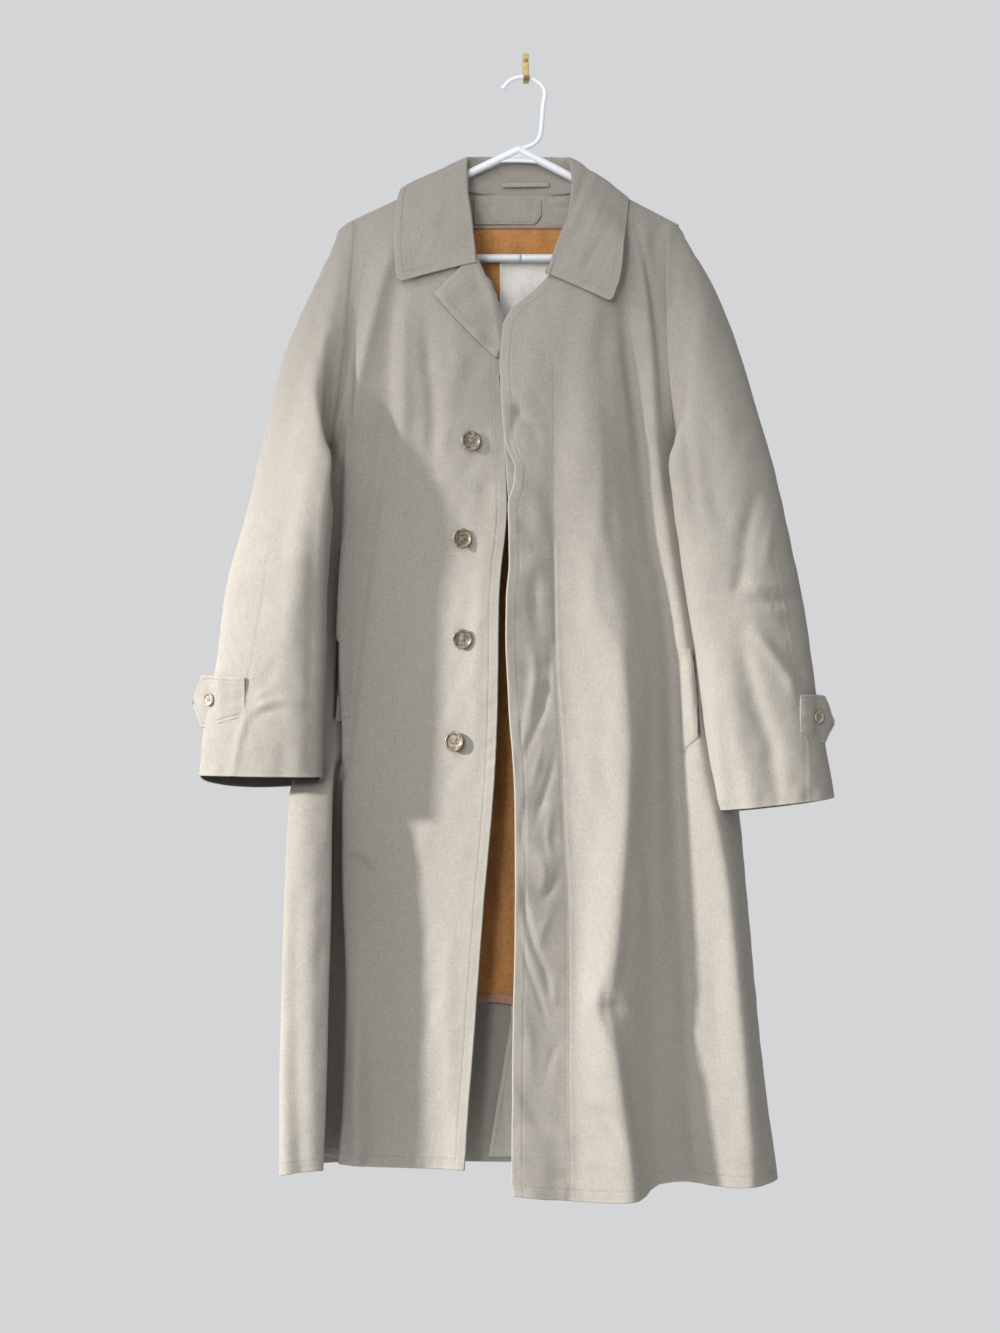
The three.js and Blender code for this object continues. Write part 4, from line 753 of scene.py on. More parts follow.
def panel(table, arm, back, partner=None):
    rows = []
    for r, row in enumerate(table):
        cells = row[2:-1]
        if r <= UNDERARM:
            end = arm.at(ARM_ANGLE(r) * (-1 if back else 1), 0.0)[0]
        elif back:
            w = partner[r][-1]
            end = np.array([w[0], w[1], partner[r][1]], float)
        else:
            end = np.array([row[-1][0], row[-1][1], row[1]], float)
        pts = []
        for c in cells:
            k = (c[0] - cells[0][0]) / (end[0] - cells[0][0])
            pts.append([c[0], c[1], row[0] + (end[2] - row[0]) * k + (c[2] if len(c) > 2 else 0)])
        rows.append(pts + [list(end)])
    return Surface(rows)


S_FR = panel(FRONT_RIGHT, ARM["right"], False)
S_FL = panel(FRONT_LEFT, ARM["left"], False)
S_BR = panel(BACK_RIGHT, ARM["right"], True, FRONT_RIGHT)
S_BL = panel(BACK_LEFT, ARM["left"], True, FRONT_LEFT)

# ---------------------------------------------------------------- panels
EDGE = [0, 0.6, 1.5, 3, 5, 7.4, 9.4, 10.4, 11.0, 11.6, 12.6, 14.5, 17]
HEMS = [0, 0.7, 1.7, 3.4, 6, 9, 10.6, 11.4, 12.0, 12.6, 13.4, 15.5, 18.5]
TOPS = [0, 0.8, 2.0, 4.0, 7]
SIDES = [0, 0.8, 2.0, 4.0, 7]


def exact_side(P, S, arm, back, side_rows):
    """The armhole's own curve above the underarm, and the shared side seam below it."""
    up = S <= UNDERARM
    P = P.copy()
    target = P[:, -1].copy()
    target[up] = arm.at(ARM_ANGLE(S[up]) * (-1 if back else 1), 0.0)
    if side_rows is not None:
        target[~up] = side_rows[~up]
    n = P.shape[1]
    w = np.clip((np.arange(n) - (n - 26)) / 25.0, 0, 1) ** 2
    return P + (target - P[:, -1])[:, None] * w[None, :, None]


def stitch_line(D, at, depth=0.24, w=0.7):
    """The groove of a line of topstitching, with the slight quilting on both sides of it."""
    return -depth * np.exp(-((D - at) / w) ** 2) + 0.12 * np.exp(-((D - at - 2.2) / 1.6) ** 2) + 0.12 * np.exp(-((D - at + 2.2) / 1.6) ** 2)


def pucker(D, at, s, size, height, reach, seed):
    """Small puckers across a stitched line, uneven along it."""
    h = waves(s, s * 0, size, 10, seed) * (0.55 + 0.45 * waves(s, s * 0, size * 7, 6, seed + 1))
    return height * h * np.exp(-((D - at) / reach) ** 2)


def edge_warp(P, column, places, reach, y=-85.0, axis=0):
    """Moves the cloth sideways near one of its edges, so that the edge runs through the places (view u, v)."""
    q = np.array([px(u, v, y) for u, v in places])
    q = q[np.argsort(q[:, 1])]
    z = P[:, column, 2]
    inside = (z > q[0, 1]) & (z < q[-1, 1])
    f = curve1(q[:, 1], q[:, 0])
    dx = np.where(inside, f(np.clip(z, q[0, 1], q[-1, 1])) - P[:, column, 0], 0)
    soft = np.minimum(1, np.minimum(np.abs(z - q[0, 1]), np.abs(z - q[-1, 1])) / 12.0)
    dx *= np.where(inside, soft, 0)
    D = np.abs(along(P) - along(P)[:, column][:, None])
    out = P.copy()
    out[..., 0] += dx[:, None] * np.exp(-(D / reach) ** 2)
    return out


def hem_warp(P, places, reach, y):
    """Moves the cloth up or down near its hem, so that the hem runs through the places (view u, v)."""
    q = np.array([px(u, v, yy) for (u, v), yy in zip(places, y)])
    x = P[-1, :, 0]
    order = np.argsort(q[:, 0])
    dz = np.interp(x, q[order, 0], q[order, 1]) - P[-1, :, 2]
    dz[-30:] = dz[-30] * np.linspace(1, 0, 30)
    D = along(P, 0)[-1][None] - along(P, 0)
    out = P.copy()
    out[..., 2] += dz[None] * np.exp(-(D / reach) ** 2)
    return out


def fit_outline(P, low, places, y, live=None, reach=1.6):
    """Moves the outermost part of a shape sideways so that its outline runs through the view places: low for
    the outline at the smaller x."""
    q = np.array([px(u, v, y) for u, v in places])
    q = q[np.argsort(q[:, 1])]
    x, z = P[..., 0], P[..., 2]
    zs = np.linspace(z.min(), z.max(), 90)
    half = (zs[1] - zs[0]) * 1.2
    edge, mid_ = np.full(90, np.nan), np.full(90, np.nan)
    for i, zz in enumerate(zs):
        m = np.abs(z - zz) < half
        if m.any():
            lo, hi = x[m].min(), x[m].max()
            edge[i], mid_[i] = (lo if low else hi), (lo + hi) / 2
    ok = ~np.isnan(edge)
    edge, mid_ = np.interp(zs, zs[ok], edge[ok]), np.interp(zs, zs[ok], mid_[ok])
    inside = (zs > q[0, 1]) & (zs < q[-1, 1])
    dx = np.where(inside, curve1(q[:, 1], q[:, 0])(np.clip(zs, q[0, 1], q[-1, 1])) - edge, 0)
    dx = np.where(zs < q[0, 1], dx[inside][0] if inside.any() else 0, dx)
    for _ in range(6):
        dx[1:-1] = 0.25 * dx[:-2] + 0.5 * dx[1:-1] + 0.25 * dx[2:]
    e, m_, d = np.interp(z, zs, edge), np.interp(z, zs, mid_), np.interp(z, zs, dx)
    w = np.clip((x - m_) / np.where(np.abs(e - m_) < 1, 1, e - m_), 0, 1) ** reach
    out = P.copy()
    out[..., 0] += np.clip(d, -16, 16) * w * (1 if live is None else live)
    return out


SIL = {
    "left": ([(357, 218), (329, 236.5), (314, 270), (299, 302), (280, 352), (262, 430), (240, 530), (222, 600), (213.7, 675), (202, 728), (198, 773)],
             [(343, 400), (337.5, 438), (333, 492), (331, 534), (327, 600), (325, 690), (323, 776)]),
    "right": ([(664, 410), (665, 443), (673.5, 514), (682.6, 575), (694.5, 650), (701.5, 703), (707, 749), (718, 811)],
              [(676.7, 224), (707.7, 257.4), (732, 310), (759.4, 402), (778, 471), (796, 560), (804, 594), (818.6, 696), (827.5, 746), (835.5, 796)]),
}

PIECES = {}
TREES = {}


def finish_cloth(name, P, N, thick, mat, nodes, wrap=False, rim=None, swell=0.35, fold=1, slit_painted_shade=None):
    uv = cut_uv(P)
    attrs = {"rim": np.zeros(P.shape[:2]) if rim is None else rim}
    # this attribute carries painted shade for a pocket mouth
    if slit_painted_shade is not None:
        attrs["slit_painted_shade"] = slit_painted_shade
    ob = shell(name, P, N, thick, mat, wrap, uv, swell, attrs)
    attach(ob, "root")
    if nodes:
        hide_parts(*nodes)
    if fold:
        Q = np.concatenate([P, P[:, :1]], 1) if wrap else P
        W, L = along(Q, 1)[:, -1].max() * MM, along(Q, 0)[-1].max() * MM
    PIECES[name] = ob
    me = ob.data
    TREES[name] = BVHTree.FromPolygons([v.co / MM for v in me.vertices], [tuple(p.vertices) for p in me.polygons])
    return ob


def pocket_mouth_painted_shade(P, top, bottom, y, way):
    """How much painted shade each point gets: the shadow inside the mouth of a slanted pocket, beside its welt, painted
    as a dark band.
    """
    a, b = px(*top, y), px(*bottom, y)
    q = np.clip((a[1] - P[..., 2]) / (a[1] - b[1]), 0, 1)
    off = (P[..., 0] - (a[0] + (b[0] - a[0]) * q)) * way
    inside = np.clip((a[1] - P[..., 2]) / 5, 0, 1) * np.clip((P[..., 2] - b[1]) / 5, 0, 1)
    front = P[..., 1] < y * 0.55
    return inside * front * np.clip(1.6 - np.abs(off - 1.2) / 1.7, 0, 1)


def drop(tree, x, z, way=1, y0=-600.0):
    """Where a line along Y through x, z first meets a piece: its y and normal, from the front (way 1) or the back."""
    hit, n, _, _ = tree.ray_cast(Vector((x, y0 if way > 0 else 200.0, z)), Vector((0, way, 0)))
    if hit is None:
        return None
    n = n if n.y * way < 0 else -n
    return np.array(hit), np.array(n)


# ---- the overlapping front, wearer's left
FR_FOLDS = [
    # pts, depth, left width, right width
    ([(631, 341), (640, 422), (650, 524), (668, 600), (675, 692), (677, 761), (681, 853), (686, 960), (689, 1029), (695, 1144), (703, 1182)],
     [0, -2.5, -2.5, -2.5, -3, -3, -3, -3, -3, -3, -2], 10, 6),
    ([(602, 463), (592, 586), (622, 669), (627, 761), (625, 830), (619, 899), (613, 960), (604, 1001)], [0, 1.5, 2, 2.5, 3, 3, 4, 3], 16, 9),
    ([(604, 1001), (610, 1029), (621, 1098), (627, 1144), (632, 1196)], [3, 4, 4, 4, 3], 14, 8),
    # the pinch on the ridge
    ([(599, 998), (607, 1002), (620, 1005), (636, 1009)], [-0.6, -3.0, -2.2, 0], 4.2, 4.2),
    ([(613, 966), (608, 988), (605, 1002), (610, 1026), (618, 1050)], [0, -2.2, -4.2, -2.8, 0], 5, 20),
    ([(597, 976), (595, 1002), (601, 1030)], [0, 2.0, 0], 8, 5),
    ([(604, 989), (620, 993), (638, 1001)], [0, 1.0, 0], 7, 7),
    ([(608, 1014), (620, 1020), (634, 1031)], [0, 0.8, 0], 7, 7),
    ([(694, 652), (697, 692), (701, 737)], [0, -3.2, 0], 2, 3),
    # light ridge beside the armhole fold
    ([(649, 320), (657, 443), (669, 545), (676, 600)], [0, 3, 3, 0], 8, 6),
    # dimple by the neck edge, and the wrinkles out of it
    ([(511, 404), (519, 411), (531, 417)], [0, -2.6, 0], 5, 5),
    ([(519, 411), (512, 432), (508, 455)], [-1.4, -1.2, 0], 4, 4),
    ([(520, 412), (535, 432), (541, 462)], [-1.0, -1.0, 0], 6, 6),
    ([(512, 385), (524, 398), (540, 404)], [0, 1.2, 0], 5, 5),
    # puckers of the fly, between the edge and its stitching
    ([(531, 640), (535, 672), (531, 705), (526, 732)], [0, 3.4, 3.4, 0], 7, 7),
    ([(551, 636), (549, 680), (541, 715), (530, 742), (521, 765)], [0, -2.6, -3.4, -2.8, 0], 5, 5),
    ([(557, 742), (551, 772), (542, 800), (533, 832)], [0, -2.4, -3.0, 0], 5, 5),
    ([(545, 735), (537, 765), (528, 797)], [0, 2.4, 0], 5, 5),
    ([(524, 696), (521, 730), (519, 760)], [0, -1.6, 0], 3.5, 3.5),
    ([(562, 866), (550, 890), (536, 906)], [0, -2.6, 0], 5, 5),
    ([(556, 905), (544, 926), (537, 952)], [0, 2.2, 0], 6, 6),
    ([(521, 868), (524, 900), (532, 940), (546, 975), (551, 1002)], [0, -2.4, -3.4, -2.4, 0], 5, 5),
    ([(519, 925), (526, 960), (540, 1000), (548, 1032)], [0, -2.2, -2.2, 0], 4, 4),
    ([(524, 1000), (530, 1040), (532, 1085)], [0, 1.8, 0], 7, 7),
    ([(562, 1040), (552, 1056), (545, 1082)], [0, -2.0, 0], 5, 5),
    ([(553, 800), (548, 835), (554, 866)], [0, 2.4, 0], 5, 5),
    ([(538, 556), (534, 600), (540, 642)], [0, -1.8, 0], 7, 7),
    ([(526, 788), (522, 830), (525, 862)], [0, -2.0, 0], 4, 4),
    ([(536, 850), (544, 872), (540, 900)], [0, 1.6, 0], 5, 5),
    ([(560, 960), (554, 990), (558, 1020)], [0, 1.5, 0], 5, 5),
    ([(528, 1100), (538, 1120), (552, 1132)], [0, -1.3, 0], 7, 7),
    # low folds beside the ridge
    ([(582, 1106), (600, 1112), (612, 1127), (623, 1152)], [0, -2.6, -2.4, 0], 6, 6),
    ([(584, 1095), (603, 1100), (619, 1117)], [0, 2.0, 0], 7, 7),
    ([(590, 1160), (604, 1168), (622, 1180)], [0, -1.3, 0], 6, 6),
    # chest
    ([(636, 206), (648, 262), (658, 322), (663, 372)], [0, -3.6, -3.4, 0], 7, 5),
    ([(628, 214), (641, 262), (653, 330), (661, 402)], [0, 3.0, 3.2, 0], 7, 6),
    ([(611, 300), (601, 344), (592, 410)], [0, -2.4, 0], 13, 13),
    ([(560, 300), (557, 420), (552, 520)], [0, -2.6, 0], 20, 20),
    ([(590, 290), (586, 400), (580, 520)], [0, 2.4, 0], 16, 16),
    ([(602, 340), (607, 430), (612, 520), (618, 600)], [0, -1.6, -1.8, 0], 10, 10),
    ([(530, 470), (540, 520), (546, 560)], [0, 1.8, 0], 12, 12),
    # skirt
    ([(640, 760), (650, 860), (655, 960), (660, 1060)], [0, -1.8, -1.8, 0], 14, 14),
    ([(727, 860), (736, 960), (748, 1060), (757, 1150)], [0, 2.2, 2.4, 2.0], 12, 9),
    ([(712, 900), (716, 1000), (724, 1100)], [0, -1.4, 0], 9, 9),
    ([(577, 900), (580, 960), (584, 1040)], [0, -1.3, 0], 11, 11),
    ([(588, 700), (590, 780), (586, 860)], [0, 1.2, 0], 12, 12),
    # the seat of the pocket
    ([(690, 640), (684, 660), (682, 690)], [0, -1.5, 0], 7, 7),
    ([(699, 742), (688, 750), (676, 760)], [0, -1.4, 0], 4, 4),
]
EDGE_FR = [(518, 300), (504, 322), (501, 347), (500, 360), (501.5, 386), (504, 425), (508, 448), (516, 468), (514, 487), (509, 505), (509.5, 530), (510, 560), (507, 600), (506.5, 640), (508, 680), (510, 720), (511.5, 738), (514, 770), (515, 800), (515.5, 880), (515, 960), (513.5, 1010), (513, 1060), (512.5, 1120), (512, 1178), (514, 1190)]
HEM_FR = [(516, 1196.5), (545, 1199.5), (578, 1202), (614.5, 1203), (630, 1202), (640, 1200), (646.6, 1196), (651, 1189.6), (660, 1183.5), (675, 1181.5), (688, 1181.5), (711, 1186), (734, 1187.5), (752, 1187), (764, 1184.5), (774, 1179)]
HEM_FR_Y = [-111, -108, -110, -124, -127, -122, -115, -108, -100, -94, -90, -90, -94, -98, -88, -70]

ns = (S_FR.R - 1) * 26
T = np.linspace(0, S_FR.C - 1, (S_FR.C - 1) * 26 + 1)
S = np.linspace(0, S_FR.R - 1, ns + 1)
side_right = S_FR.grid(np.array([S_FR.C - 1.0]), S)[:, 0]
side_left = S_FL.grid(np.array([S_FL.C - 1.0]), S)[:, 0]


def base_panel(surface, arm, back, side_rows, shape=None):
    t = np.linspace(0, surface.C - 1, (surface.C - 1) * 26 + 1)
    P = surface.grid(t, S)
    if shape is not None:
        P = shape(P, t)
    return exact_side(P, S, arm, back, side_rows)


def cell_targets(P, t, targets):
    """Moves whole lines of the surface (by column number) to other x, y by height, easing between the lines."""
    z = P[..., 2]
    cols = sorted(targets)
    D = np.zeros((len(cols),) + z.shape[:1] + (2,))
    for i, c in enumerate(cols):
        if targets[c] is None:
            continue
        j = int(np.argmin(np.abs(t - c)))
        tab = np.array(targets[c], float)[::-1]
        zz = P[:, j, 2]
        f = curve1(tab[:, 0], tab[:, 1:3])(np.clip(zz, tab[0, 0], tab[-1, 0]))
        on = np.clip((tab[-1, 0] - zz) / 30.0, 0, 1)[:, None]
        D[i] = (f - P[:, j, :2]) * on * on * (3 - 2 * on)
    out = P.copy()
    for k in range(P.shape[0]):
        for a in range(2):
            out[k, :, a] += curve1(cols, D[:, k, a])(np.clip(t, cols[0], cols[-1])) * ((t >= cols[0]) & (t <= cols[-1]))
    return out


def left_shape(P, t):
    """The side flute: a forward roll that turns back sharply into a deep recess beside the panel."""
    return cell_targets(P, t, {
        4: None,
        5: [(-760, -210, -29), (-850, -211, -24), (-930, -210, -19), (-1070, -206, -18), (-1190, -208, -18), (-1268, -213, -18)],
        5.35: [(-790, -216, -34), (-828, -219, -29), (-850, -222, -24), (-930, -224, -19), (-1070, -229, -18), (-1190, -232, -18), (-1268, -234, -18)],
        5.7: [(-790, -220, -44), (-828, -222, -54), (-850, -225, -58), (-930, -227, -60), (-1070, -232, -62), (-1190, -235, -64), (-1268, -237, -64)],
        6: [(-790, -220, -54), (-818, -219.5, -66), (-832, -219, -88), (-850, -219, -96), (-930, -219, -100), (-1070, -222, -104), (-1190, -225, -106), (-1268, -228, -106)],
        7: [(-790, -239, -60), (-818, -243, -70), (-832, -246, -94), (-850, -248, -103), (-930, -250, -108), (-1070, -253, -111), (-1190, -256, -113), (-1268, -257, -114)],
        8: [(-790, -266, -46), (-818, -267, -60), (-832, -268, -82), (-850, -269, -90), (-930, -273, -96), (-1070, -277, -99), (-1190, -279, -102), (-1268, -279, -103)],
        9: None,
    })


def right_shape(P, t):
    """The right front's ridge a little flatter at the thigh and its side roll a little fuller."""
    return cell_targets(P, t, {
        1: None,
        2: [(-400, 80, -94), (-500, 85, -96), (-560, 88, -97.5), (-690, 107, -103), (-800, 113, -106), (-930, 104, -111), (-1070, 95, -117), (-1291, 118, -128)],
        3: [(-400, 111, -82), (-470, 115, -80), (-560, 126, -80.5), (-690, 142, -85), (-800, 145, -88), (-930, 146, -91), (-1070, 145, -93), (-1291, 153, -101)],
        4: [(-500, 142, -72), (-560, 148, -72), (-690, 164, -75), (-800, 168, -77), (-930, 174, -79), (-1070, 183, -81), (-1291, 197, -86)],
        5: [(-500, 158, -74), (-560, 165, -76), (-690, 183, -85), (-800, 198, -92), (-930, 224, -97), (-1070, 238, -99), (-1291, 254, -101)],
        6: None,
    })


def fly_line(P, places, y):
    """Distance of each point from a line on the cloth given by view places, measured along x."""
    q = np.array([px(u, v, y) for u, v in places])
    q = q[np.argsort(q[:, 1])]
    return P[..., 0] - np.interp(P[..., 2], q[:, 1], q[:, 0])


FLY = [(553.5, 262), (552, 400), (553, 520), (554, 600), (556, 669), (561, 749), (564, 830), (567, 887), (568, 960), (568, 1080), (569, 1200)]

P = base_panel(S_FR, ARM["right"], False, side_right, right_shape)
P = respace(P, EDGE, 128, SIDES)
P = respace_down(P, TOPS, 238, HEMS)
P = soften(P, 2)
P = edge_warp(P, 0, EDGE_FR, 26.0, -92)
P = hem_warp(P, HEM_FR, 120.0, HEM_FR_Y)
N = facing(normals(P), np.array([0, -1.0, 0]))
x, z = P[..., 0].copy(), P[..., 2].copy()
De, Dh, Ds = along(P), along(P, 0)[-1][None] - along(P, 0), along(P)[:, -1][:, None] - along(P)
s_down = along(P, 0)
small = [(a_, [v_ * 0.58 for v_ in b_], *[w_ * 0.78 for w_ in c_]) if a_[0][0] < 568 and a_[0][1] > 600 else (a_, b_, *c_) for a_, b_, *c_ in FR_FOLDS]
h = folds(x, z, small, -95)
h += 0.55 * waves(x, z, 120, 16, 3, 3.0) + 0.16 * waves(x, z, 30, 16, 4, 1.6)
h += 1.1 * np.exp(-(Dh / 60) ** 2) * waves(x, z * 0, 74, 8, 5)
keep = 1 - np.exp(-(Ds / 16) ** 2)
h *= keep * (1 - np.exp(-(s_down / 22) ** 2))
h += 1.3 * waves(s_down, s_down * 0, 90, 7, 8) * np.exp(-(De / 14) ** 2) * np.clip((s_down - 190) / 120, 0, 1)
h += pucker(De, 6, s_down, 17, 0.34, 6, 21) + pucker(De, 6, s_down, 46, 0.55, 9, 27) * (z < -420)
h += pucker(Dh, 6, x, 19, 0.34, 7, 31)
fly = fly_line(P, FLY, -92)
strip = De / np.maximum(De - fly, 1.0)
tip = np.interp(-z, [300, 420, 520, 600, 660, 720, 800, 960, 1060, 1160], [0, 4, 14, 17, 15, 9, 10, 8, 2, -1])
h += tip * np.where(strip < 1, 1 - strip, 0) ** 0.9
h += stitch_line(De, 11.0) * (z < -262) + stitch_line(Dh, 12.0, 0.26)
on_fly = (z < -560)
h += on_fly * (-0.55 * np.exp(-(fly / 1.5) ** 2) + 0.35 * np.exp(-((fly - 3.2) / 2.4) ** 2))
h += np.where(on_fly, pucker(fly, -4, s_down, 24, 0.4, 9, 41) + pucker(fly, -22, s_down + 0.6 * fly, 31, 0.55, 16, 43) * (z > -1080), 0)
P = P + N * h[..., None]
P[..., 1] = np.minimum(P[..., 1], -2.0)
N = facing(normals(P), np.array([0, -1.0, 0]))
thick = CLOTH + 0.9 * np.exp(-(De / 13) ** 2) + 0.5 * np.exp(-(Dh / 12) ** 2)
rim = np.clip(np.exp(-(De / 2.2) ** 2) + np.exp(-(Dh / 2.2) ** 2), 0, 1)
FR_P, FR_N = P, N
# the pocket slit beside the welt is painted shade
finish_cloth("coat_front_right", P, N, thick, M_CLOTH, ["front_right"], rim=rim, slit_painted_shade=pocket_mouth_painted_shade(P, (691.2, 650), (698, 738), -80, 1))
col = EDGE.index(11.0)
rows = np.arange(P.shape[0])
down = rows[(P[:, 0, 2] < -262) & (Dh[:, col] > 11)]
stitches("edge", P[down, col], N[down, col], M_THREAD)
hr = P.shape[0] - 1 - HEMS.index(12.0)
cols = np.arange(EDGE.index(11.0), P.shape[1] - 2)
stitches("hem", P[hr, cols], N[hr, cols], M_THREAD)
# the fly's stitches, from each row's own crossing
pts, nn = [], []
for i in range(P.shape[0]):
    if P[i, 0, 2] > -330 or Dh[i, 0] < 12:
        continue
    f = fly[i]
    j = int(np.argmax(f > 0))
    if j < 1:
        continue
    k = -f[j - 1] / (f[j] - f[j - 1])
    pts.append(P[i, j - 1] * (1 - k) + P[i, j] * k)
    nn.append(N[i, j - 1])
stitches("fly", pts, nn, M_THREAD)
flush_stitches("stitching_front_right", M_THREAD)

# the fly's under layer, seen where the outer edge bows away from it
q = np.array([px(u, v, -88) for u, v in [(503.5, 425), (504, 437), (504.3, 446), (505.5, 460), (507, 480), (508, 492), (509, 505), (510, 520)]])
q = catmull(q, 60)
wide = 16.0
P = np.stack([np.stack([q[:, 0] + w_, np.full(60, -88.0 + 0.10 * w_), q[:, 1]], 1) for w_ in np.linspace(0, wide, 16)], 1)
P[..., 1] += 0.35 * waves(P[..., 0], P[..., 2], 22, 8, 45)
tree_fr = TREES["coat_front_right"]
for i in range(P.shape[0]):
    for j in range(P.shape[1]):
        hit = drop(tree_fr, P[i, j, 0], P[i, j, 2])
        if hit is not None:
            P[i, j, 1] = max(P[i, j, 1], hit[0][1] + 4.2)
P[..., 1:2] = soften(P[..., 1:2], 3)
finish_cloth("fly_under_layer", P, facing(normals(P), np.array([0, -1.0, 0])), 1.2, M_FACING_PAINTED_LIGHT, [])

# ---- the under front, wearer's right
FL_FOLDS = [
    # a crease in the shade, low on the panel
    ([(347, 860), (357, 866), (367, 875), (372, 886)], [0, -3.4, -3.6, 0], 3.5, 5),
    ([(349, 850), (362, 857), (374, 868)], [0, 2.2, 0], 6, 6),
    # the panel's own soft flare above the hem
    ([(360, 1000), (361, 1060), (363, 1120), (365, 1150)], [0, 2.4, 3.0, 3.0], 10, 9),
    ([(385, 930), (392, 1010), (398, 1100)], [0, -2.0, 0], 14, 14),
    ([(396, 245), (381, 280), (366, 330), (357, 362), (350, 412)], [0, 4.2, 4.2, 3, 0], 7, 10),
    ([(351, 290), (350, 350), (349, 420), (345, 490)], [0, -4.5, -4.5, 0], 5, 6),
    ([(405, 290), (403, 380), (404, 480), (400, 570)], [0, 3.2, 3.2, 0], 11, 11),
    ([(423, 306), (428, 350), (433, 412), (434, 486)], [0, -4.0, -4.2, 0], 9, 9),
    ([(389, 372), (380, 463), (371.5, 526), (361.5, 609), (352, 700), (345, 770)], [0, -2.4, -3.4, -4.6, -4.6, -2], 10, 6),
    ([(396, 420), (390, 520), (384, 620), (378, 720)], [0, 1.8, 2.4, 0], 14, 14),
    ([(345, 861), (356, 857), (366, 866), (375, 882)], [0, -2.6, -2.6, 0], 4, 4),
    ([(350, 849), (363, 851), (376, 866)], [0, 1.8, 0], 5, 5),
    ([(357, 972), (356, 1050), (355, 1110), (357, 1166)], [0, 5, 7, 8], 9, 8),
    ([(370, 1000), (372, 1080), (377, 1160)], [0, -2, -3.4], 8, 9),
    ([(368, 1034), (380, 1044), (388, 1062)], [0, -1.2, 0], 3.5, 3.5),
    ([(474, 474), (484, 490), (496, 506)], [0, -2.4, 0], 10, 10),
    ([(487, 520), (480, 600), (476, 700), (470, 800)], [0, 1.3, 1.3, 0], 9, 9),
    ([(420, 900), (424, 1000), (432, 1100)], [0, -1.4, 0], 16, 16),
    ([(450, 900), (448, 1000), (452, 1100), (456, 1165)], [0, 1.6, 1.6, 1.4], 10, 10),
    ([(404, 960), (408, 1040), (412, 1130), (414, 1166)], [0, 1.5, 2.0, 2.2], 12, 12),
    ([(392, 1060), (394, 1110), (396, 1164)], [0, -1.6, -2.0], 8, 8),
    # the side flute
    ([(318, 800), (316, 900), (314, 1020), (316, 1168)], [0, 1.6, 2.0, 1.6], 9, 9),
    ([(300, 840), (298, 940), (299, 1040), (303, 1170)], [0, -1.8, -1.8, -2.4], 8, 8),
    ([(288, 960), (287, 1060), (290, 1168)], [0, 1.4, 1.8], 6, 6),
    # chest, under the collar
    ([(452, 305), (456, 360), (450, 430)], [0, 2.0, 0], 12, 12),
    ([(376, 236), (366, 262), (360, 296)], [0, -2.0, 0], 7, 7),
]
EDGE_FL = [(497.5, 366), (502, 400), (504, 443), (506, 480), (506.6, 504), (505, 534), (501, 567), (498.5, 609), (498, 650), (497, 705), (495.5, 745), (493.5, 782), (489, 840), (484, 897), (480, 950), (475.6, 1007), (471.5, 1062), (467.6, 1112), (465.5, 1160)]
HEM_FL = [(284, 1170), (294, 1171), (305.6, 1171.5), (316, 1169.5), (323, 1167.5), (330, 1160), (337, 1161), (350, 1164.5), (364.6, 1166), (385, 1166.5), (407, 1167.2), (436, 1168.3), (465, 1169.5)]
HEM_FL_Y = [-80, -100, -110, -104, -90, -40, -36, -50, -52, -56, -60, -66, -80]

P = base_panel(S_FL, ARM["left"], False, side_left, left_shape)
P = respace(P, EDGE, 136, SIDES)
P = respace_down(P, TOPS, 232, HEMS)
P = soften(P, 2)
P = edge_warp(P, 0, EDGE_FL, 22.0, -80)
P = hem_warp(P, HEM_FL, 90.0, HEM_FL_Y)
N = facing(normals(P), np.array([0, -1.0, 0]))
x, z = P[..., 0].copy(), P[..., 2].copy()
De, Dh, Ds = along(P), along(P, 0)[-1][None] - along(P, 0), along(P)[:, -1][:, None] - along(P)
s_down = along(P, 0)
h = folds(x, z, FL_FOLDS, -68)
h += 0.5 * waves(x, z, 120, 16, 13, 3.0) + 0.16 * waves(x, z, 30, 16, 14, 1.6)
h += 1.0 * np.exp(-(Dh / 55) ** 2) * waves(x, z * 0, 66, 8, 15)
keep = (1 - np.exp(-(Ds / 16) ** 2)) * np.clip(-N[..., 1] * 1.6 - 0.2, 0.1, 1)
h *= keep * (1 - np.exp(-(s_down / 22) ** 2))
h += pucker(De, 6, s_down, 18, 0.30, 6, 51)
h += pucker(Dh, 6, x, 19, 0.32, 7, 61)
h += stitch_line(De, 11.0) * (z < -352) + stitch_line(Dh, 12.0, 0.26)
# the cloth pulls in a little round each button's shank
for bx, bz in ((-63, -442), (-73, -552), (-72, -666), (-80, -783)):
    rr = np.hypot(x - bx, z - bz)
    h += -1.3 * np.exp(-(rr / 7) ** 2) + 0.35 * np.sin(3 * np.arctan2(z - bz, x - bx)) * np.exp(-((rr - 13) / 8) ** 2)
P = P + N * h[..., None]
N = facing(normals(P), np.array([0, -1.0, 0]))
thick = CLOTH + 0.7 * np.exp(-(De / 13) ** 2) + 0.5 * np.exp(-(Dh / 12) ** 2)
rim = np.clip(np.exp(-(De / 2.2) ** 2) * (z < -352) + np.exp(-(Dh / 2.2) ** 2), 0, 1)
FL_P, FL_N = P, N
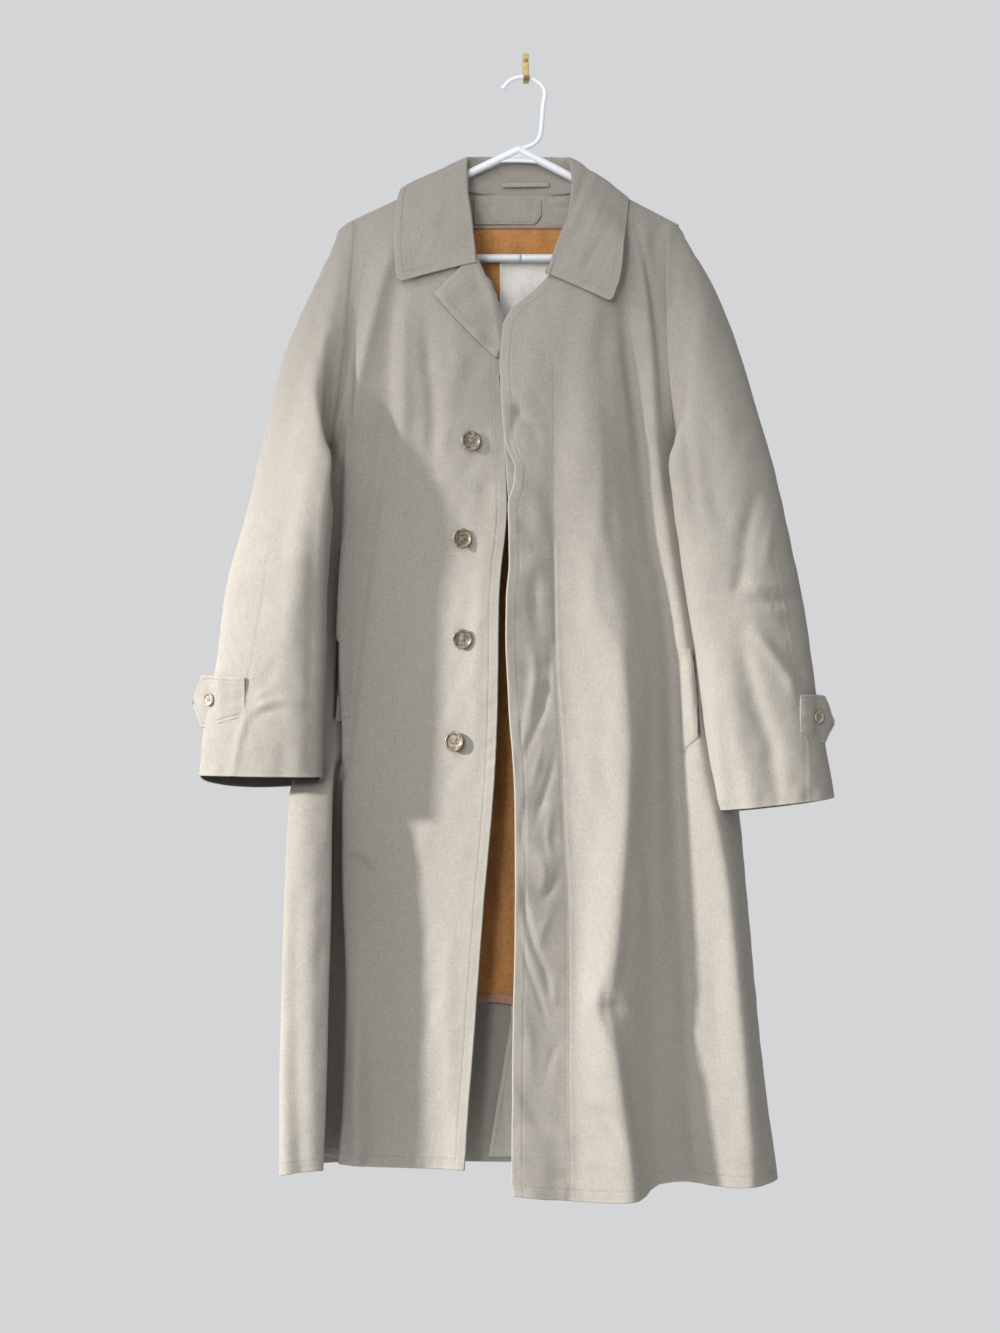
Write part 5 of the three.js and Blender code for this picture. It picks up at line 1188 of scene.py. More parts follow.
# the pocket slit beside the welt is painted shade
finish_cloth("coat_front_left", P, N, thick, M_CLOTH, ["front_left"], rim=rim, slit_painted_shade=pocket_mouth_painted_shade(P, (342, 543), (334.5, 722), -60, -1))
down = rows[:P.shape[0]][(P[:, 0, 2] < -352) & (Dh[:, col] > 11)]
stitches("edge", P[down, col], N[down, col], M_THREAD)
hr = P.shape[0] - 1 - HEMS.index(12.0)
cols = np.arange(EDGE.index(11.0), P.shape[1] - 2)
stitches("hem", P[hr, cols], N[hr, cols], M_THREAD)
flush_stitches("stitching_front_left", M_THREAD)

# ---- the backs
CB = [0, 0.5, 1.2, 2.4, 4.5, 7]
for side, surface, arm, rows_side, s0 in (("right", S_BR, ARM["right"], side_right, 70), ("left", S_BL, ARM["left"], side_left, 80)):
    P = base_panel(surface, arm, True, rows_side)
    P = respace(P, CB, 62, SIDES)
    P = respace_down(P, TOPS, 150, HEMS)
    P = soften(P, 2)
    N = facing(normals(P), np.array([0, 1.0, 0]))
    x, z = P[..., 0].copy(), P[..., 2].copy()
    De, Dh, Ds = along(P), along(P, 0)[-1][None] - along(P, 0), along(P)[:, -1][:, None] - along(P)
    s_down = along(P, 0)
    g = 1 if side == "right" else -1
    mm = lambda pts: [(p[0] * g - 8, p[1]) for p in pts]
    h = np.zeros_like(x)
    for pts, d, w in (
        ([(150, -300), (110, -380), (80, -470)], [0, 2.4, 0], 12),
        ([(165, -350), (140, -440), (120, -540)], [0, -2.2, 0], 10),
        ([(60, -220), (52, -300), (48, -400)], [0, -1.6, 0], 14),
        ([(30, -600), (34, -800), (30, -1000)], [0, 1.8, 0], 12),
        ([(84, -700), (90, -900), (100, -1150), (104, -1270)], [0, -2.4, -2.8, -2.2], 14),
        ([(150, -760), (160, -960), (170, -1180), (176, -1270)], [0, 2.0, 2.6, 2.2], 13),
        ([(120, -1000), (126, -1130), (132, -1270)], [0, 1.6, 2.4], 9),
        ([(60, -1090), (62, -1180), (66, -1270)], [0, 1.4, 1.8], 10),
    ):
        h += fold(x, z, mm(pts), d, w, flat=True)
    h += 0.5 * waves(x, z, 130, 14, s0, 3.0) + 0.15 * waves(x, z, 34, 14, s0 + 1, 1.5)
    h = np.minimum(h, 2.6)
    h *= (1 - np.exp(-(Ds / 16) ** 2)) * (1 - np.exp(-(s_down / 40) ** 2)) * (1 - 0.9 * np.exp(-(De / 9) ** 2))
    h += pucker(Dh, 6, x, 20, 0.3, 7, s0 + 2) + stitch_line(Dh, 12.0, 0.26)
    h += -0.9 * np.exp(-(De / 0.8) ** 2) + 0.25 * np.exp(-((De - 3) / 1.8) ** 2)
    P = P + N * h[..., None]
    P[..., 1] = np.minimum(P[..., 1], -0.6)
    N = facing(normals(P), np.array([0, 1.0, 0]))
    rim = np.exp(-(Dh / 2.2) ** 2)
    finish_cloth(f"coat_back_{side}", P, N, CLOTH, M_CLOTH, [f"back_{side}"], rim=rim)
    hr = P.shape[0] - 1 - HEMS.index(12.0)
    cols = np.arange(3, P.shape[1] - 2)
    stitches("hem", P[hr, cols], N[hr, cols], M_THREAD)
    if side == "right":
        BR_P, BR_N = P, N
    else:
        BL_P, BL_N = P, N
flush_stitches("stitching_backs", M_THREAD)

# ---- the sleeves
SL_FOLDS = [
    ([(332, 256), (306, 340), (285, 430), (266, 520)], [0, -2.6, -3.2, 0], 13, 13),
    ([(344, 300), (325, 400), (304, 520), (288, 640), (282, 700)], [0, 3.0, 3.6, 3, 0], 15, 15),
    ([(236, 590), (262, 602), (300, 592)], [0, -1.6, 0], 13, 13),
    ([(250, 560), (275, 566), (310, 556)], [0, 1.3, 0], 12, 12),
    ([(250, 713), (264, 704), (284, 700), (306, 706)], [0, 2.6, 2.0, 0], 4, 5),
    ([(250, 704), (262, 694), (276, 688)], [0, 1.6, 0], 3.5, 3.5),
    ([(251, 720), (268, 712), (292, 711)], [0, -1.8, 0], 3.5, 4),
    ([(249, 712), (240, 735), (233, 772)], [1.0, 2.0, 1.6], 4, 5),
    ([(262, 690), (272, 672), (288, 650)], [0, -1.2, 0], 7, 7),
    ([(318, 470), (314, 560), (312, 660), (310, 770)], [0, -1.6, -1.6, -1.2], 8, 8),
    ([(285, 730), (283, 750), (282, 776)], [0, -1.4, -1.6], 10, 10),
    ([(330, 240), (322, 262), (318, 290)], [0, -1.8, 0], 7, 7),
]
SR_FOLDS = [
    ([(738, 594), (756, 600), (773, 601), (790, 599), (806, 596)], [0, -1.9, -2.6, -2.4, -1.2], 5, 8),
    ([(745, 576), (758, 586), (776, 588), (798, 584)], [0, 2.6, 2.4, 0], 7, 7),
    ([(746, 609), (770, 612), (800, 609)], [0, 1.8, 0], 6, 6),
    ([(738, 618), (745, 660), (755, 700), (771, 750), (777, 800)], [0, -4.4, -5.4, -5.0, -3], 12, 10),
    ([(748, 624), (760, 640), (772, 656), (790, 682), (797, 706)], [0, 3.8, 4.6, 3.8, 0], 7, 8),
    ([(720, 640), (730, 700), (745, 770), (752, 806)], [0, 2.6, 3.2, 2.6], 12, 12),
    ([(753, 546), (746, 566), (739, 586), (733, 602)], [0, -1.6, -1.8, 0], 10, 10),
    ([(790, 640), (800, 670), (806, 700)], [0, -1.6, 0], 7, 7),
    ([(703, 440), (715, 500), (730, 548)], [0, -2.8, 0], 11, 11),
    ([(762, 480), (748, 530), (738, 585)], [0, -3.6, -2.0], 10, 8),
    ([(778, 500), (768, 545), (764, 575)], [0, 2.2, 0], 7, 7),
    ([(700, 322), (722, 420), (744, 500)], [0, 2.6, 0], 16, 16),
    ([(680, 262), (672, 270), (668, 284)], [0, -3.2, 0], 5, 5),
    ([(690, 250), (684, 275), (682, 310)], [0, 2.0, 0], 8, 8),
    ([(672, 330), (680, 400), (692, 480), (700, 560)], [0, -2.0, -2.2, 0], 8, 8),
    ([(712, 620), (716, 700), (724, 800)], [0, 2.2, 2.4], 9, 9),
    ([(806, 640), (815, 700), (822, 760)], [0, -1.4, 0], 7, 7),
]
CUFFS = [0, 0.7, 1.7, 3.4, 6, 9, 13, 18]
for side, arm, items, y, seam, s0 in (
    ("left", ARM["left"], SL_FOLDS, -118, [(268, 560), (262, 600), (255, 640), (248, 678)], 90),
    ("right", ARM["right"], SR_FOLDS, -115, [(774, 560), (781, 600), (790, 650), (799, 697), (806, 745)], 100),
):
    a = np.concatenate([np.linspace(0, 180, 160, endpoint=False), np.linspace(-180, 0, 160, endpoint=False)])
    r = np.linspace(0, 9, 300)
    P = arm.at(a[None, :], r[:, None])
    # even spacing round the ring, starting from the top or outer edge
    Q = np.concatenate([P, P[:, :1]], 1)
    L = along(Q)
    n_round = 132
    R = np.empty((P.shape[0], n_round, 3))
    for i in range(P.shape[0]):
        pos = np.linspace(0, L[i, -1], n_round, endpoint=False)
        for k in range(3):
            R[i, :, k] = np.interp(pos, L[i], Q[i, :, k])
    P = respace_down(R, [0, 0.8, 2.0, 4.0, 7], 170, CUFFS)
    P[3:-3] = soften(P, 2, True)[3:-3]
    free = 1 - np.exp(-(along(P, 0) / 16) ** 2)
    low_sil, high_sil = SIL[side]
    P = fit_outline(P, True, low_sil, y + 22, free)
    P = fit_outline(P, False, high_sil, y + 22, free)
    centre = P.mean(1, keepdims=True)
    N = normals(P, True)
    N = facing(N, P - centre)
    x, z = P[..., 0].copy(), P[..., 2].copy()
    front = np.clip(-N[..., 1] * 2.2, 0, 1)
    Da, Dh = along(P, 0), along(P, 0)[-1][None] - along(P, 0)
    h = folds(x, z, items, y) * front
    # the back of the sleeve creases at the elbow too
    hb = np.zeros_like(x)
    g = -1 if side == "left" else 1
    for pts, d, w in (
        ([(215, -560), (255, -590), (300, -600)], [0, -2.6, 0], 10),
        ([(215, -600), (260, -625), (310, -628)], [0, 2.4, 0], 10),
        ([(230, -640), (262, -660), (300, -664)], [0, -2.0, 0], 9),
        ([(235, -330), (248, -430), (262, -540)], [0, -2.2, 0], 13),
        ([(270, -700), (285, -770), (300, -830)], [0, -2.2, -1.5], 11),
        ([(250, -680), (258, -760), (266, -840)], [0, 2.0, 1.4], 10),
    ):
        hb += fold(x, z, [(p[0] * g - 16 * (g < 0), p[1]) for p in pts], d, w, flat=True)
    h += hb * (1 - front)
    h += 0.45 * waves(x, z, 90, 16, s0, 2.2) + 0.14 * waves(x, z, 28, 14, s0 + 1, 1.3)
    h *= 1 - np.exp(-(Da / 14) ** 2)
    # the seam down the front of the forearm
    q = np.array([px(u, v, y) for u, v in seam])
    q = q[np.argsort(q[:, 1])]
    sd = x - np.interp(z, q[:, 1], q[:, 0])
    live = (z > q[0, 1] - 70) & (z < q[-1, 1] + 10) & (front > 0.2)
    h += live * (-0.55 * np.exp(-(sd / 1.1) ** 2) + 0.3 * np.exp(-((sd - 2.4 * g) / 2.0) ** 2))
    # the sleeve's head rolls over the armhole seam
    h += 0.8 * np.exp(-((Da - 5) / 4) ** 2) * np.clip(-N[..., 1] + 0.6, 0, 1)
    h += pucker(Dh, 7, x, 22, 0.35, 10, s0 + 3)
    P = P + N * h[..., None]
    N = facing(normals(P, True), P - centre)
    rim = np.exp(-(Dh / 2.4) ** 2)
    thick = CLOTH + 0.6 * np.exp(-(Dh / 10) ** 2)
    ob = finish_cloth(f"coat_sleeve_{side}", P, N, thick, M_CLOTH, [f"sleeve_{side}"], wrap=True, rim=rim)
    # the sleeve lining, on the inner faces: a real lining whose near-black colour is painted shade for the sleeve's
    # dark inside
    ob.data.materials.append(M_SLEEVE_LINING_PAINTED_SHADE)
    n_in = P.shape[0] * P.shape[1]
    which = np.zeros(len(ob.data.polygons), dtype=np.int32)
    for f_ in ob.data.polygons:
        which[f_.index] = all(n_in <= v_ < 2 * n_in for v_ in f_.vertices)
    ob.data.polygons.foreach_set("material_index", which)

# ---- the collar
COLLAR = np.array([
    [[-61, -86.5, -236], [-57, -90, -240], [-144.6, -93.5, -262.5]],
    [[-62, -77.5, -213], [-58.5, -82, -214], [-147.6, -93, -239]],
    [[-69, -64.5, -187], [-63, -69, -176], [-149, -84, -206]],
    [[-75.5, -47, -154], [-68, -48, -138], [-148, -60, -172]],
    [[-80, -26, -141], [-67, -28, -110], [-141, -27, -144]],
    [[-57, -15.5, -149], [-52, -12, -107], [-112, -4.4, -170]],
    [[-8, -11.2, -150.5], [-8, -9.5, -106.5], [-8, -4.0, -177]],
    [[42, -15.5, -150], [36, -12, -107], [92, -4.4, -174]],
    [[64, -26, -146], [49.5, -28, -110], [118, -27, -156]],
    [[60, -47, -156.5], [52.5, -48, -138], [114, -62, -190]],
    [[53, -65.5, -187], [48, -71, -178], [110, -88, -216]],
    [[37, -81.5, -221], [33, -88, -222], [106, -97, -252]],
    [[22, -91, -250], [24, -94, -253], [95.5, -99, -285]],
], float)
k = np.arange(13, dtype=float)
flat = COLLAR.reshape(13, 9)
u = np.linspace(0, 12, 12 * 14 + 1)
C3 = cubic(k, flat, slopes(k, flat), u).reshape(-1, 3, 3)
Sm, Rl, Eg = C3[:, 0], C3[:, 1], C3[:, 2]
Tn = unit(np.gradient(Rl, axis=0))
e1, s1 = unit(Eg - Rl), unit(Sm - Rl)
l = e1 - s1
l = unit(l - (l * Tn).sum(1, keepdims=True) * Tn)
a = unit(np.cross(Tn, l))
a = np.where((a * e1).sum(1, keepdims=True) > 0, -a, a)
hh = 2.6
inner = Rl - l * hh - a * hh * 0.9
outer = Rl + l * hh - a * hh * 0.9
lines = []
for q in np.linspace(0, 1, 14)[:-1]:
    lines.append(Sm * (1 - q) + inner * q)
for th in np.linspace(-90, 90, 13):
    t = math.radians(th)
    mid = Rl - a * hh * 0.9
    lines.append(mid + l * hh * math.sin(t) + a * hh * 0.9 * math.cos(t))
for q in np.linspace(0, 1, 40)[1:]:
    lines.append(outer * (1 - q) + Eg * q + l * (2.6 * math.sin(math.pi * q * 0.92)))
P = np.stack(lines, 1)  # stations x across
ST = [0, 0.7, 1.7, 3.4, 6.0, 7.4, 8.0, 8.6, 10, 13]
P = respace(P, [0, 2], 74, ST)
P = respace_down(P, ST, 150, ST)
P[3:-3, 3:-3] = soften(P, 1)[3:-3, 3:-3]
for end in (0, 1):
    Q = P if end == 0 else P[::-1]
    R_ = 6.0
    A_, B_ = np.clip(R_ - (along(Q)[:, -1][:, None] - along(Q)), 0, R_), np.clip(R_ - along(Q, 0), 0, R_)
    both = (A_ > 0) & (B_ > 0)
    f_ = np.where(both, np.maximum(A_, B_) / np.maximum(np.hypot(A_, B_), 1e-6) - 1, 0)
    da, db = unit(Q[:, -1] - Q[:, -8])[:, None], unit(Q[0] - Q[7])[None]
    Q += da * (A_ * f_)[..., None] + db * (B_ * f_)[..., None]
Ncol = normals(P)
core = np.array([-8, -45, -190.0])
Ncol = -Ncol if ((P[:, -4] - core) * Ncol[:, -4]).sum() < 0 else Ncol
De, Dl, Dr = along(P)[:, -1][:, None] - along(P), along(P, 0), along(P, 0)[-1][None] - along(P, 0)
across = along(P) / along(P)[:, -1][:, None]
leaf = np.clip((across - 0.45) / 0.1, 0, 1)
h = leaf * (stitch_line(De, 8.0, 0.3, 0.6) + (stitch_line(Dl, 8.0, 0.3, 0.6) + stitch_line(Dr, 8.0, 0.3, 0.6)) * (De > 7.0))
s = along(P, 0)
h += leaf * (pucker(De, 5, s, 15, 0.22, 6, 121) + (0.7 * waves(s, De, 110, 8, 122) + 0.25 * waves(s, De, 40, 10, 123)) * np.clip(De / 30, 0, 1) * np.clip((1 - across) * 4, 0, 1))
h += (1 - leaf) * 0.5 * waves(s, De, 60, 8, 124) * np.clip(along(P) / 15, 0, 1)
# the corners of the leaf turn down very slightly
h += -1.6 * leaf * (np.exp(-(Dl / 22) ** 2) + np.exp(-(Dr / 22) ** 2)) * np.exp(-(De / 26) ** 2)
P = P + Ncol * h[..., None]
P[..., 1] = np.minimum(P[..., 1], -0.8)
Ncol2 = normals(P)
Ncol = Ncol2 if (Ncol2 * Ncol).sum() > 0 else -Ncol2
rim = np.clip(np.exp(-(De / 2) ** 2) + leaf * (np.exp(-(Dl / 2) ** 2) + np.exp(-(Dr / 2) ** 2)), 0, 1)
finish_cloth("coat_collar", P, Ncol, COLLAR_T, M_CLOTH, ["collar"], rim=rim)
i0, i1 = ST.index(8.0), P.shape[0] - 1 - ST.index(8.0)
jc = P.shape[1] - 1 - ST.index(8.0)
stitches("c1", P[i0:i1 + 1, jc], Ncol[i0:i1 + 1, jc], M_THREAD, step=2.9)
for ii in (i0, i1):
    js = np.where(leaf[ii] > 0.6)[0]
    js = js[js <= jc]
    stitches("c2", P[ii, js], Ncol[ii, js], M_THREAD, step=2.9)


# ---- pieces laid on a panel
def smooth_outline(corners, n, m, bow=(0, 0, 0, 0)):
    """x, z of a four-sided patch; bow swells each side outwards, in the order top, right, bottom, left."""
    A, B, C, D = [np.array(c, float) for c in corners]
    u, v = np.linspace(0, 1, n + 1)[None, :, None], np.linspace(0, 1, m + 1)[:, None, None]
    G = (A * (1 - u) + B * u) * (1 - v) + (D * (1 - u) + C * u) * v
    up = unit((A + B) / 2 - (C + D) / 2)
    rt = unit((B + C) / 2 - (A + D) / 2)
    G = G + up * bow[0] * 4 * u * (1 - u) * (1 - v) - up * bow[2] * 4 * u * (1 - u) * v
    G = G + rt * bow[1] * 4 * v * (1 - v) * u - rt * bow[3] * 4 * v * (1 - v) * (1 - u)
    return G


def laid(G, tree, out, way=1, smooth=6):
    """Drops the outline G onto a piece and lifts it by out."""
    m, n = G.shape[:2]
    P, N = np.zeros((m, n, 3)), np.zeros((m, n, 3))
    last = None
    for i in range(m):
        for j in range(n):
            hit = drop(tree, G[i, j, 0], G[i, j, 1], way)
            if hit is None:
                hit = last if last is not None else (np.array([G[i, j, 0], -80, G[i, j, 1]]), np.array([0, -1.0, 0]))
                hit = (np.array([G[i, j, 0], hit[0][1], G[i, j, 1]]), hit[1])
            last = hit
            P[i, j], N[i, j] = hit
    N = unit(soften(N, smooth))
    Y = soften(P[..., 1:2], smooth)
    P[..., 1] = np.minimum(P[..., 1], Y[..., 0])
    P[..., 1:2] = soften(P[..., 1:2], 2)
    return P + N * (out if np.isscalar(out) else out[..., None]), N


# the turned lapel: top edge from the gorge to its point, outer edge down to the break, and the roll
n, m = 46, 64
gorge, tip, brk = px(470.5, 258, -90), px(434.5, 293.5, -90), px(498, 358, -90)
roll = catmull([px(474, 254, -90), px(482, 268, -90), (px(489.5, 288, -90)), px(497.5, 310, -90), px(502.5, 332, -90), px(498.5, 357, -90)], m + 1)
left = catmull([tip, ((tip[0] + brk[0]) / 2 - 2.2, (tip[1] + brk[1]) / 2 - 1.6), (brk[0] - 1.5, brk[1] + 0.6)], m + 1)
uu = np.linspace(0, 1, n + 1)[None, :, None]
G = left[:, None] * (1 - uu) + roll[:, None] * uu
v01 = np.linspace(0, 1, m + 1)[:, None]
u01 = np.linspace(0, 1, n + 1)[None, :]
lift = 4.2 + 2.6 * (1 - v01) * (0.5 + 0.5 * np.cos(math.pi * u01)) * 0.6 + 3.0 * np.exp(-((1 - u01) / 0.16) ** 2) * (1 - v01 ** 3)
tree_l = TREES["coat_front_left"]
P, N = laid(G, tree_l, lift)
# the roll turns back to the front's own edge
N = facing(normals(P), np.array([0, -1.0, 0]))
Wl = along(P)
D_left, D_top, D_rt = Wl, along(P, 0), Wl[:, -1][:, None] - Wl
h = stitch_line(D_left, 8.0, 0.25, 0.8) * (D_rt > 5) + stitch_line(D_top, 8.0, 0.25, 0.8) * (D_rt > 8) * (D_left > 6)
h += 0.4 * waves(P[..., 0], P[..., 2], 40, 10, 131)
P = P + N * h[..., None]
P[..., 1] += 2.6 * np.exp(-(D_rt / 3.0) ** 2)
rim = np.clip(np.exp(-(D_left / 2) ** 2) + np.exp(-(D_top / 2) ** 2), 0, 1)
finish_cloth("coat_lapel", P, facing(normals(P), np.array([0, -1.0, 0])), CLOTH + 0.4, M_CLOTH, ["lapel"], rim=rim)
sel = [(i, int(np.argmin(np.abs(D_left[i] - 8)))) for i in range(m + 1) if D_top[i, 0] > 8 and Wl[i, -1] > 13]
stitches("lp", [P[i, j] for i, j in sel], [N[i, j] for i, j in sel], M_THREAD, step=2.9)
flush_stitches("stitching_collar_lapel", M_THREAD)

# pocket welts: a narrow folded strip standing at the slit; the dark slit behind it is painted shade on the panel
for side, corners, tree, slit_side in (
    ("right", [px(679, 648, -80), px(690.6, 648, -80), px(697.4, 738, -80), px(681, 753, -80)], TREES["coat_front_right"], 1),
    ("left", [px(342, 541, -60), px(354, 541, -60), px(349.5, 716, -60), px(334.5, 724, -60)], TREES["coat_front_left"], -1),
):
    G = smooth_outline(corners, 14, 70, (0, 0, 0, 0))
    vv = np.linspace(0, 1, 71)[:, None]
    w01 = np.linspace(0, 1, 15)[None, :]
    edge01 = w01 if slit_side > 0 else 1 - w01
    out = 0.15 + 3.2 * edge01 ** 1.6 * np.clip(np.sin(math.pi * np.clip(vv, 0, 1)), 0, 1) ** 0.35
    P, N = laid(G, tree, out)
    D = along(P)
    Dz = along(P)[:, -1][:, None] - D
    h = stitch_line(D if slit_side < 0 else Dz, 5.0, 0.3, 0.8)
    P = P + N * h[..., None]
    rim = np.exp(-((Dz if slit_side > 0 else D) / 1.6) ** 2)
    finish_cloth(f"coat_pocket_welt_{side}", P, N, CLOTH, M_CLOTH, [f"pocket_welt_{side}"], rim=rim)
    j = int(np.argmin(np.abs((D if slit_side < 0 else Dz)[30] - 5.0)))
    stitches("welt", P[2:-2, j], N[2:-2, j], M_THREAD, step=2.9)
flush_stitches("stitching_pockets", M_THREAD)

# ---- inside: lining, binding, facing, tab, label, loop and the vent's underlap
tree_b = {"left": TREES["coat_back_left"], "right": TREES["coat_back_right"]}


def inside_at(x, z, depth):
    """A point in front of the backs' inner face, by depth."""
    t = tree_b["left" if x < -8 else "right"]
    hit = drop(t, x if abs(x + 8) > 1.2 else (-9.2 if x < -8 else -6.8), z, 1, -60.0)
    if hit is None:
        return None
    y = hit[0][1]
    return np.array([x, y - depth, z])


def inside_sheet(xz, depth, smooth=4):
    m, n = xz.shape[:2]
    P = np.zeros((m, n, 3))
    for i in range(m):
        for j in range(n):
            q = inside_at(xz[i, j, 0], xz[i, j, 1], depth if np.isscalar(depth) else depth[i, j])
            P[i, j] = q if q is not None else (P[i, j - 1] + np.array([xz[i, j, 0] - xz[i, j - 1, 0], 0, 0]) if j else [xz[i, j, 0], -14 - depth, xz[i, j, 1]])
            P[i, j, 2] = xz[i, j, 1]
    Y = soften(P[..., 1:2], smooth)[..., 0]
    P[..., 1] = np.minimum(Y, P[..., 1] + 0.3)
    return P


def span(x0, x1, z0, z1, n, m):
    return np.stack(np.meshgrid(np.linspace(x0, x1, n), np.linspace(z0, z1, m)), -1)


# the pile lining: its own slow creases, and a lower edge that dips a little between them
xz = span(-196, 176, -190, -1090, 96, 190)
kz = np.clip((-xz[..., 1] - 190) / 900, 0, 1)
xz[..., 0] = np.where(xz[..., 0] < -8, -8 + (xz[..., 0] + 8) * (0.80 + 0.25 * kz), -8 + (xz[..., 0] + 8) * (0.76 + 0.24 * kz))
P = inside_sheet(xz, 1.4, 6)
P[..., 1] -= 0.8 + 0.9 * np.abs(waves(P[..., 0], P[..., 2], 85, 12, 151, 3.5)) * np.clip((-P[..., 2] - 260) / 200, 0, 1)
P[..., 1] -= 0.35 * np.abs(RNG.normal(size=P.shape[:2]))
P[..., 2] += -2.2 * np.exp(-((P[..., 2] + 1090) / 60) ** 2) * waves(P[..., 0], P[..., 0] * 0, 110, 6, 152)
N = facing(normals(soften(P, 1)), np.array([0, -1.0, 0]))
finish_cloth("coat_lining", P, N, 1.2, M_LINING, ["lining_back"])
# its binding tape folds over the lower edge
edge = P[-1]
prof = [(-9.5, -0.9), (-8, -1.3), (-5, -1.5), (-2, -1.6), (0.2, -1.2), (1.0, -0.2), (0.4, 0.9)]
B = np.stack([edge + np.array([0, dy, -dz - 9.0 + 8.0]) for dz, dy in prof], 0)
B[..., 1] += 0.25 * waves(B[..., 0], B[..., 2], 12, 10, 153)
N = facing(normals(B), np.array([0, -1.0, 0]))
finish_cloth("coat_lining_binding", B, N, 0.5, M_BIND, ["lining_binding"])
stitches("bind", B[2], N[2], M_BIND, step=3.0)
# reddish piping where the lining meets the facing
top = P[0]
keep = (top[:, 0] > -72) & (top[:, 0] < 56)
pipe = top[keep] + np.array([0, -1.4, 1.4])
V, F = tube(pipe, 1.0, 8)
ob = make_mesh("lining_piping", V, F, M_BIND)
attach(ob, "root")

# neck facing with its tab, in the facing cloth painted lighter to stand in for light inside the neck
xz = span(-68, 52, -150, -187.5, 60, 34)
for j in range(60):
    xz[:, j, 1] = np.linspace(-150.5 + 4 * ((xz[0, j, 0] + 8) / 60) ** 2, -187.5, 34)
P = inside_sheet(xz, 0.9)
P[..., 1] -= 0.4 * np.abs(waves(P[..., 0], P[..., 2], 34, 10, 161))
N = facing(normals(P), np.array([0, -1.0, 0]))
finish_cloth("coat_neck_facing", P, N, 0.8, M_FACING_PAINTED_LIGHT, ["neck_facing"])
tab = []
for zz in np.linspace(-156.5, -184.5, 34):
    xr = 18.0 if zz > -170 else 18 - 16 + math.sqrt(max(0, 16 * 16 - (-170 - zz) ** 2))
    tab.append(np.stack([np.linspace(-60, xr, 60), np.full(60, zz)], -1))
P = inside_sheet(np.array(tab), 2.6)
P[..., 1] -= 0.5 * np.abs(waves(P[..., 0], P[..., 2], 30, 10, 162))
N = facing(normals(P), np.array([0, -1.0, 0]))
Dr = along(P)[:, -1][:, None] - along(P)
Db = along(P, 0)[-1][None] - along(P, 0)
P = P + N * (stitch_line(np.minimum(Dr, Db), 3.0, 0.3, 0.7))[..., None]
finish_cloth("coat_neck_tab", P, N, 1.1, M_FACING_PAINTED_LIGHT, ["neck_tab"])
path = [(i, int(np.argmin(np.abs(Dr[i] - 3.0)))) for i in range(2, 31)]
stitches("tab", [P[i, j] for i, j in path], [N[i, j] for i, j in path], M_THREAD, step=2.8)
stitches("tab2", P[30, 4:-8], N[30, 4:-8], M_THREAD, step=2.8)

# vent underlap, in cloth painted lighter to stand in for light falling on it inside the vent
xz = np.array([[[-17 - 25 * np.clip((-1107 - zz) / 151, 0, 1.05) + 50 * q, zz] for q in np.linspace(0, 1, 30)] for zz in np.linspace(-1085, -1266, 80)])
P = inside_sheet(xz, 1.2)
P[..., 1] -= 0.9 * np.abs(waves(P[..., 0], P[..., 2], 60, 8, 171, 3)) + 2.0 * np.exp(-((P[..., 0] - xz[:, :1, 0]) / 7) ** 2) * np.clip((-P[..., 2] - 1100) / 100, 0, 1)
N = facing(normals(P), np.array([0, -1.0, 0]))
Dl = along(P)
P = P + N * (stitch_line(Dl, 6.0, 0.3, 1.2))[..., None]
finish_cloth("coat_vent_underlap", P, N, CLOTH, M_UNDERLAP_PAINTED_LIGHT, ["vent_underlap"], rim=np.exp(-(Dl / 2) ** 2))
j = int(np.argmin(np.abs(Dl[40] - 6)))
stitches("vent", P[:, j], N[:, j], M_THREAD)
flush_stitches("stitching_inside", M_THREAD)

# the neck label, left bare: a woven rectangle with turned ends and its own hem stitches
xz = span(-30, 30, -228.5, -296, 50, 50)
P = inside_sheet(xz, 1.4 + 0.8 + 1.9)
yb = np.percentile(P[..., 1], 30)
P[..., 1] = 0.5 * P[..., 1] + 0.5 * yb - 0.4 * waves(P[..., 0], P[..., 2], 44, 8, 181)
N = facing(normals(P), np.array([0, -1.0, 0]))
D = np.minimum(np.minimum(along(P), along(P)[:, -1][:, None] - along(P)), np.minimum(along(P, 0), along(P, 0)[-1][None] - along(P, 0)))
P = P + N * (0.35 * np.exp(-((D - 1.5) / 1.4) ** 2))[..., None]
finish_cloth("neck_label", P, N, 0.6, M_LABEL, ["label"])
for row_ in (3, 47):
    stitches("lb", P[row_, 2:-2], N[row_, 2:-2], M_LABELEDGE, step=2.6)
for c_ in (2, 47):
    stitches("lb", P[2:-2, c_], N[2:-2, c_], M_LABELEDGE, step=2.6)
V, F = merge(STITCH)
STITCH = []
ob = make_mesh("label_stitching", V, F, M_LABELEDGE, fix=False)
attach(ob, "root")

# the hanging loop: a flat cord-edged band sewn at both ends to the stand
xs = np.linspace(-27, 27, 60)
sag = 0.012 * (xs + 27) + 0.3
rowsL = []
for k2, dz in enumerate(np.linspace(2.6, -2.6, 9)):
    bulge = 0.5 * math.cos(math.pi * (dz / 2.6) / 2)
    rowsL.append(np.stack([xs, np.full_like(xs, -14.6 - 0.7 - bulge) - 1.2 * (1 - (xs / 27) ** 2), -139.8 + dz + sag], -1))
P = np.array(rowsL)
N = facing(normals(P), np.array([0, -1.0, 0]))
finish_cloth("coat_hanger_loop", P, N, 0.9, M_FACING_PAINTED_LIGHT, ["hanger_loop"], fold=2)

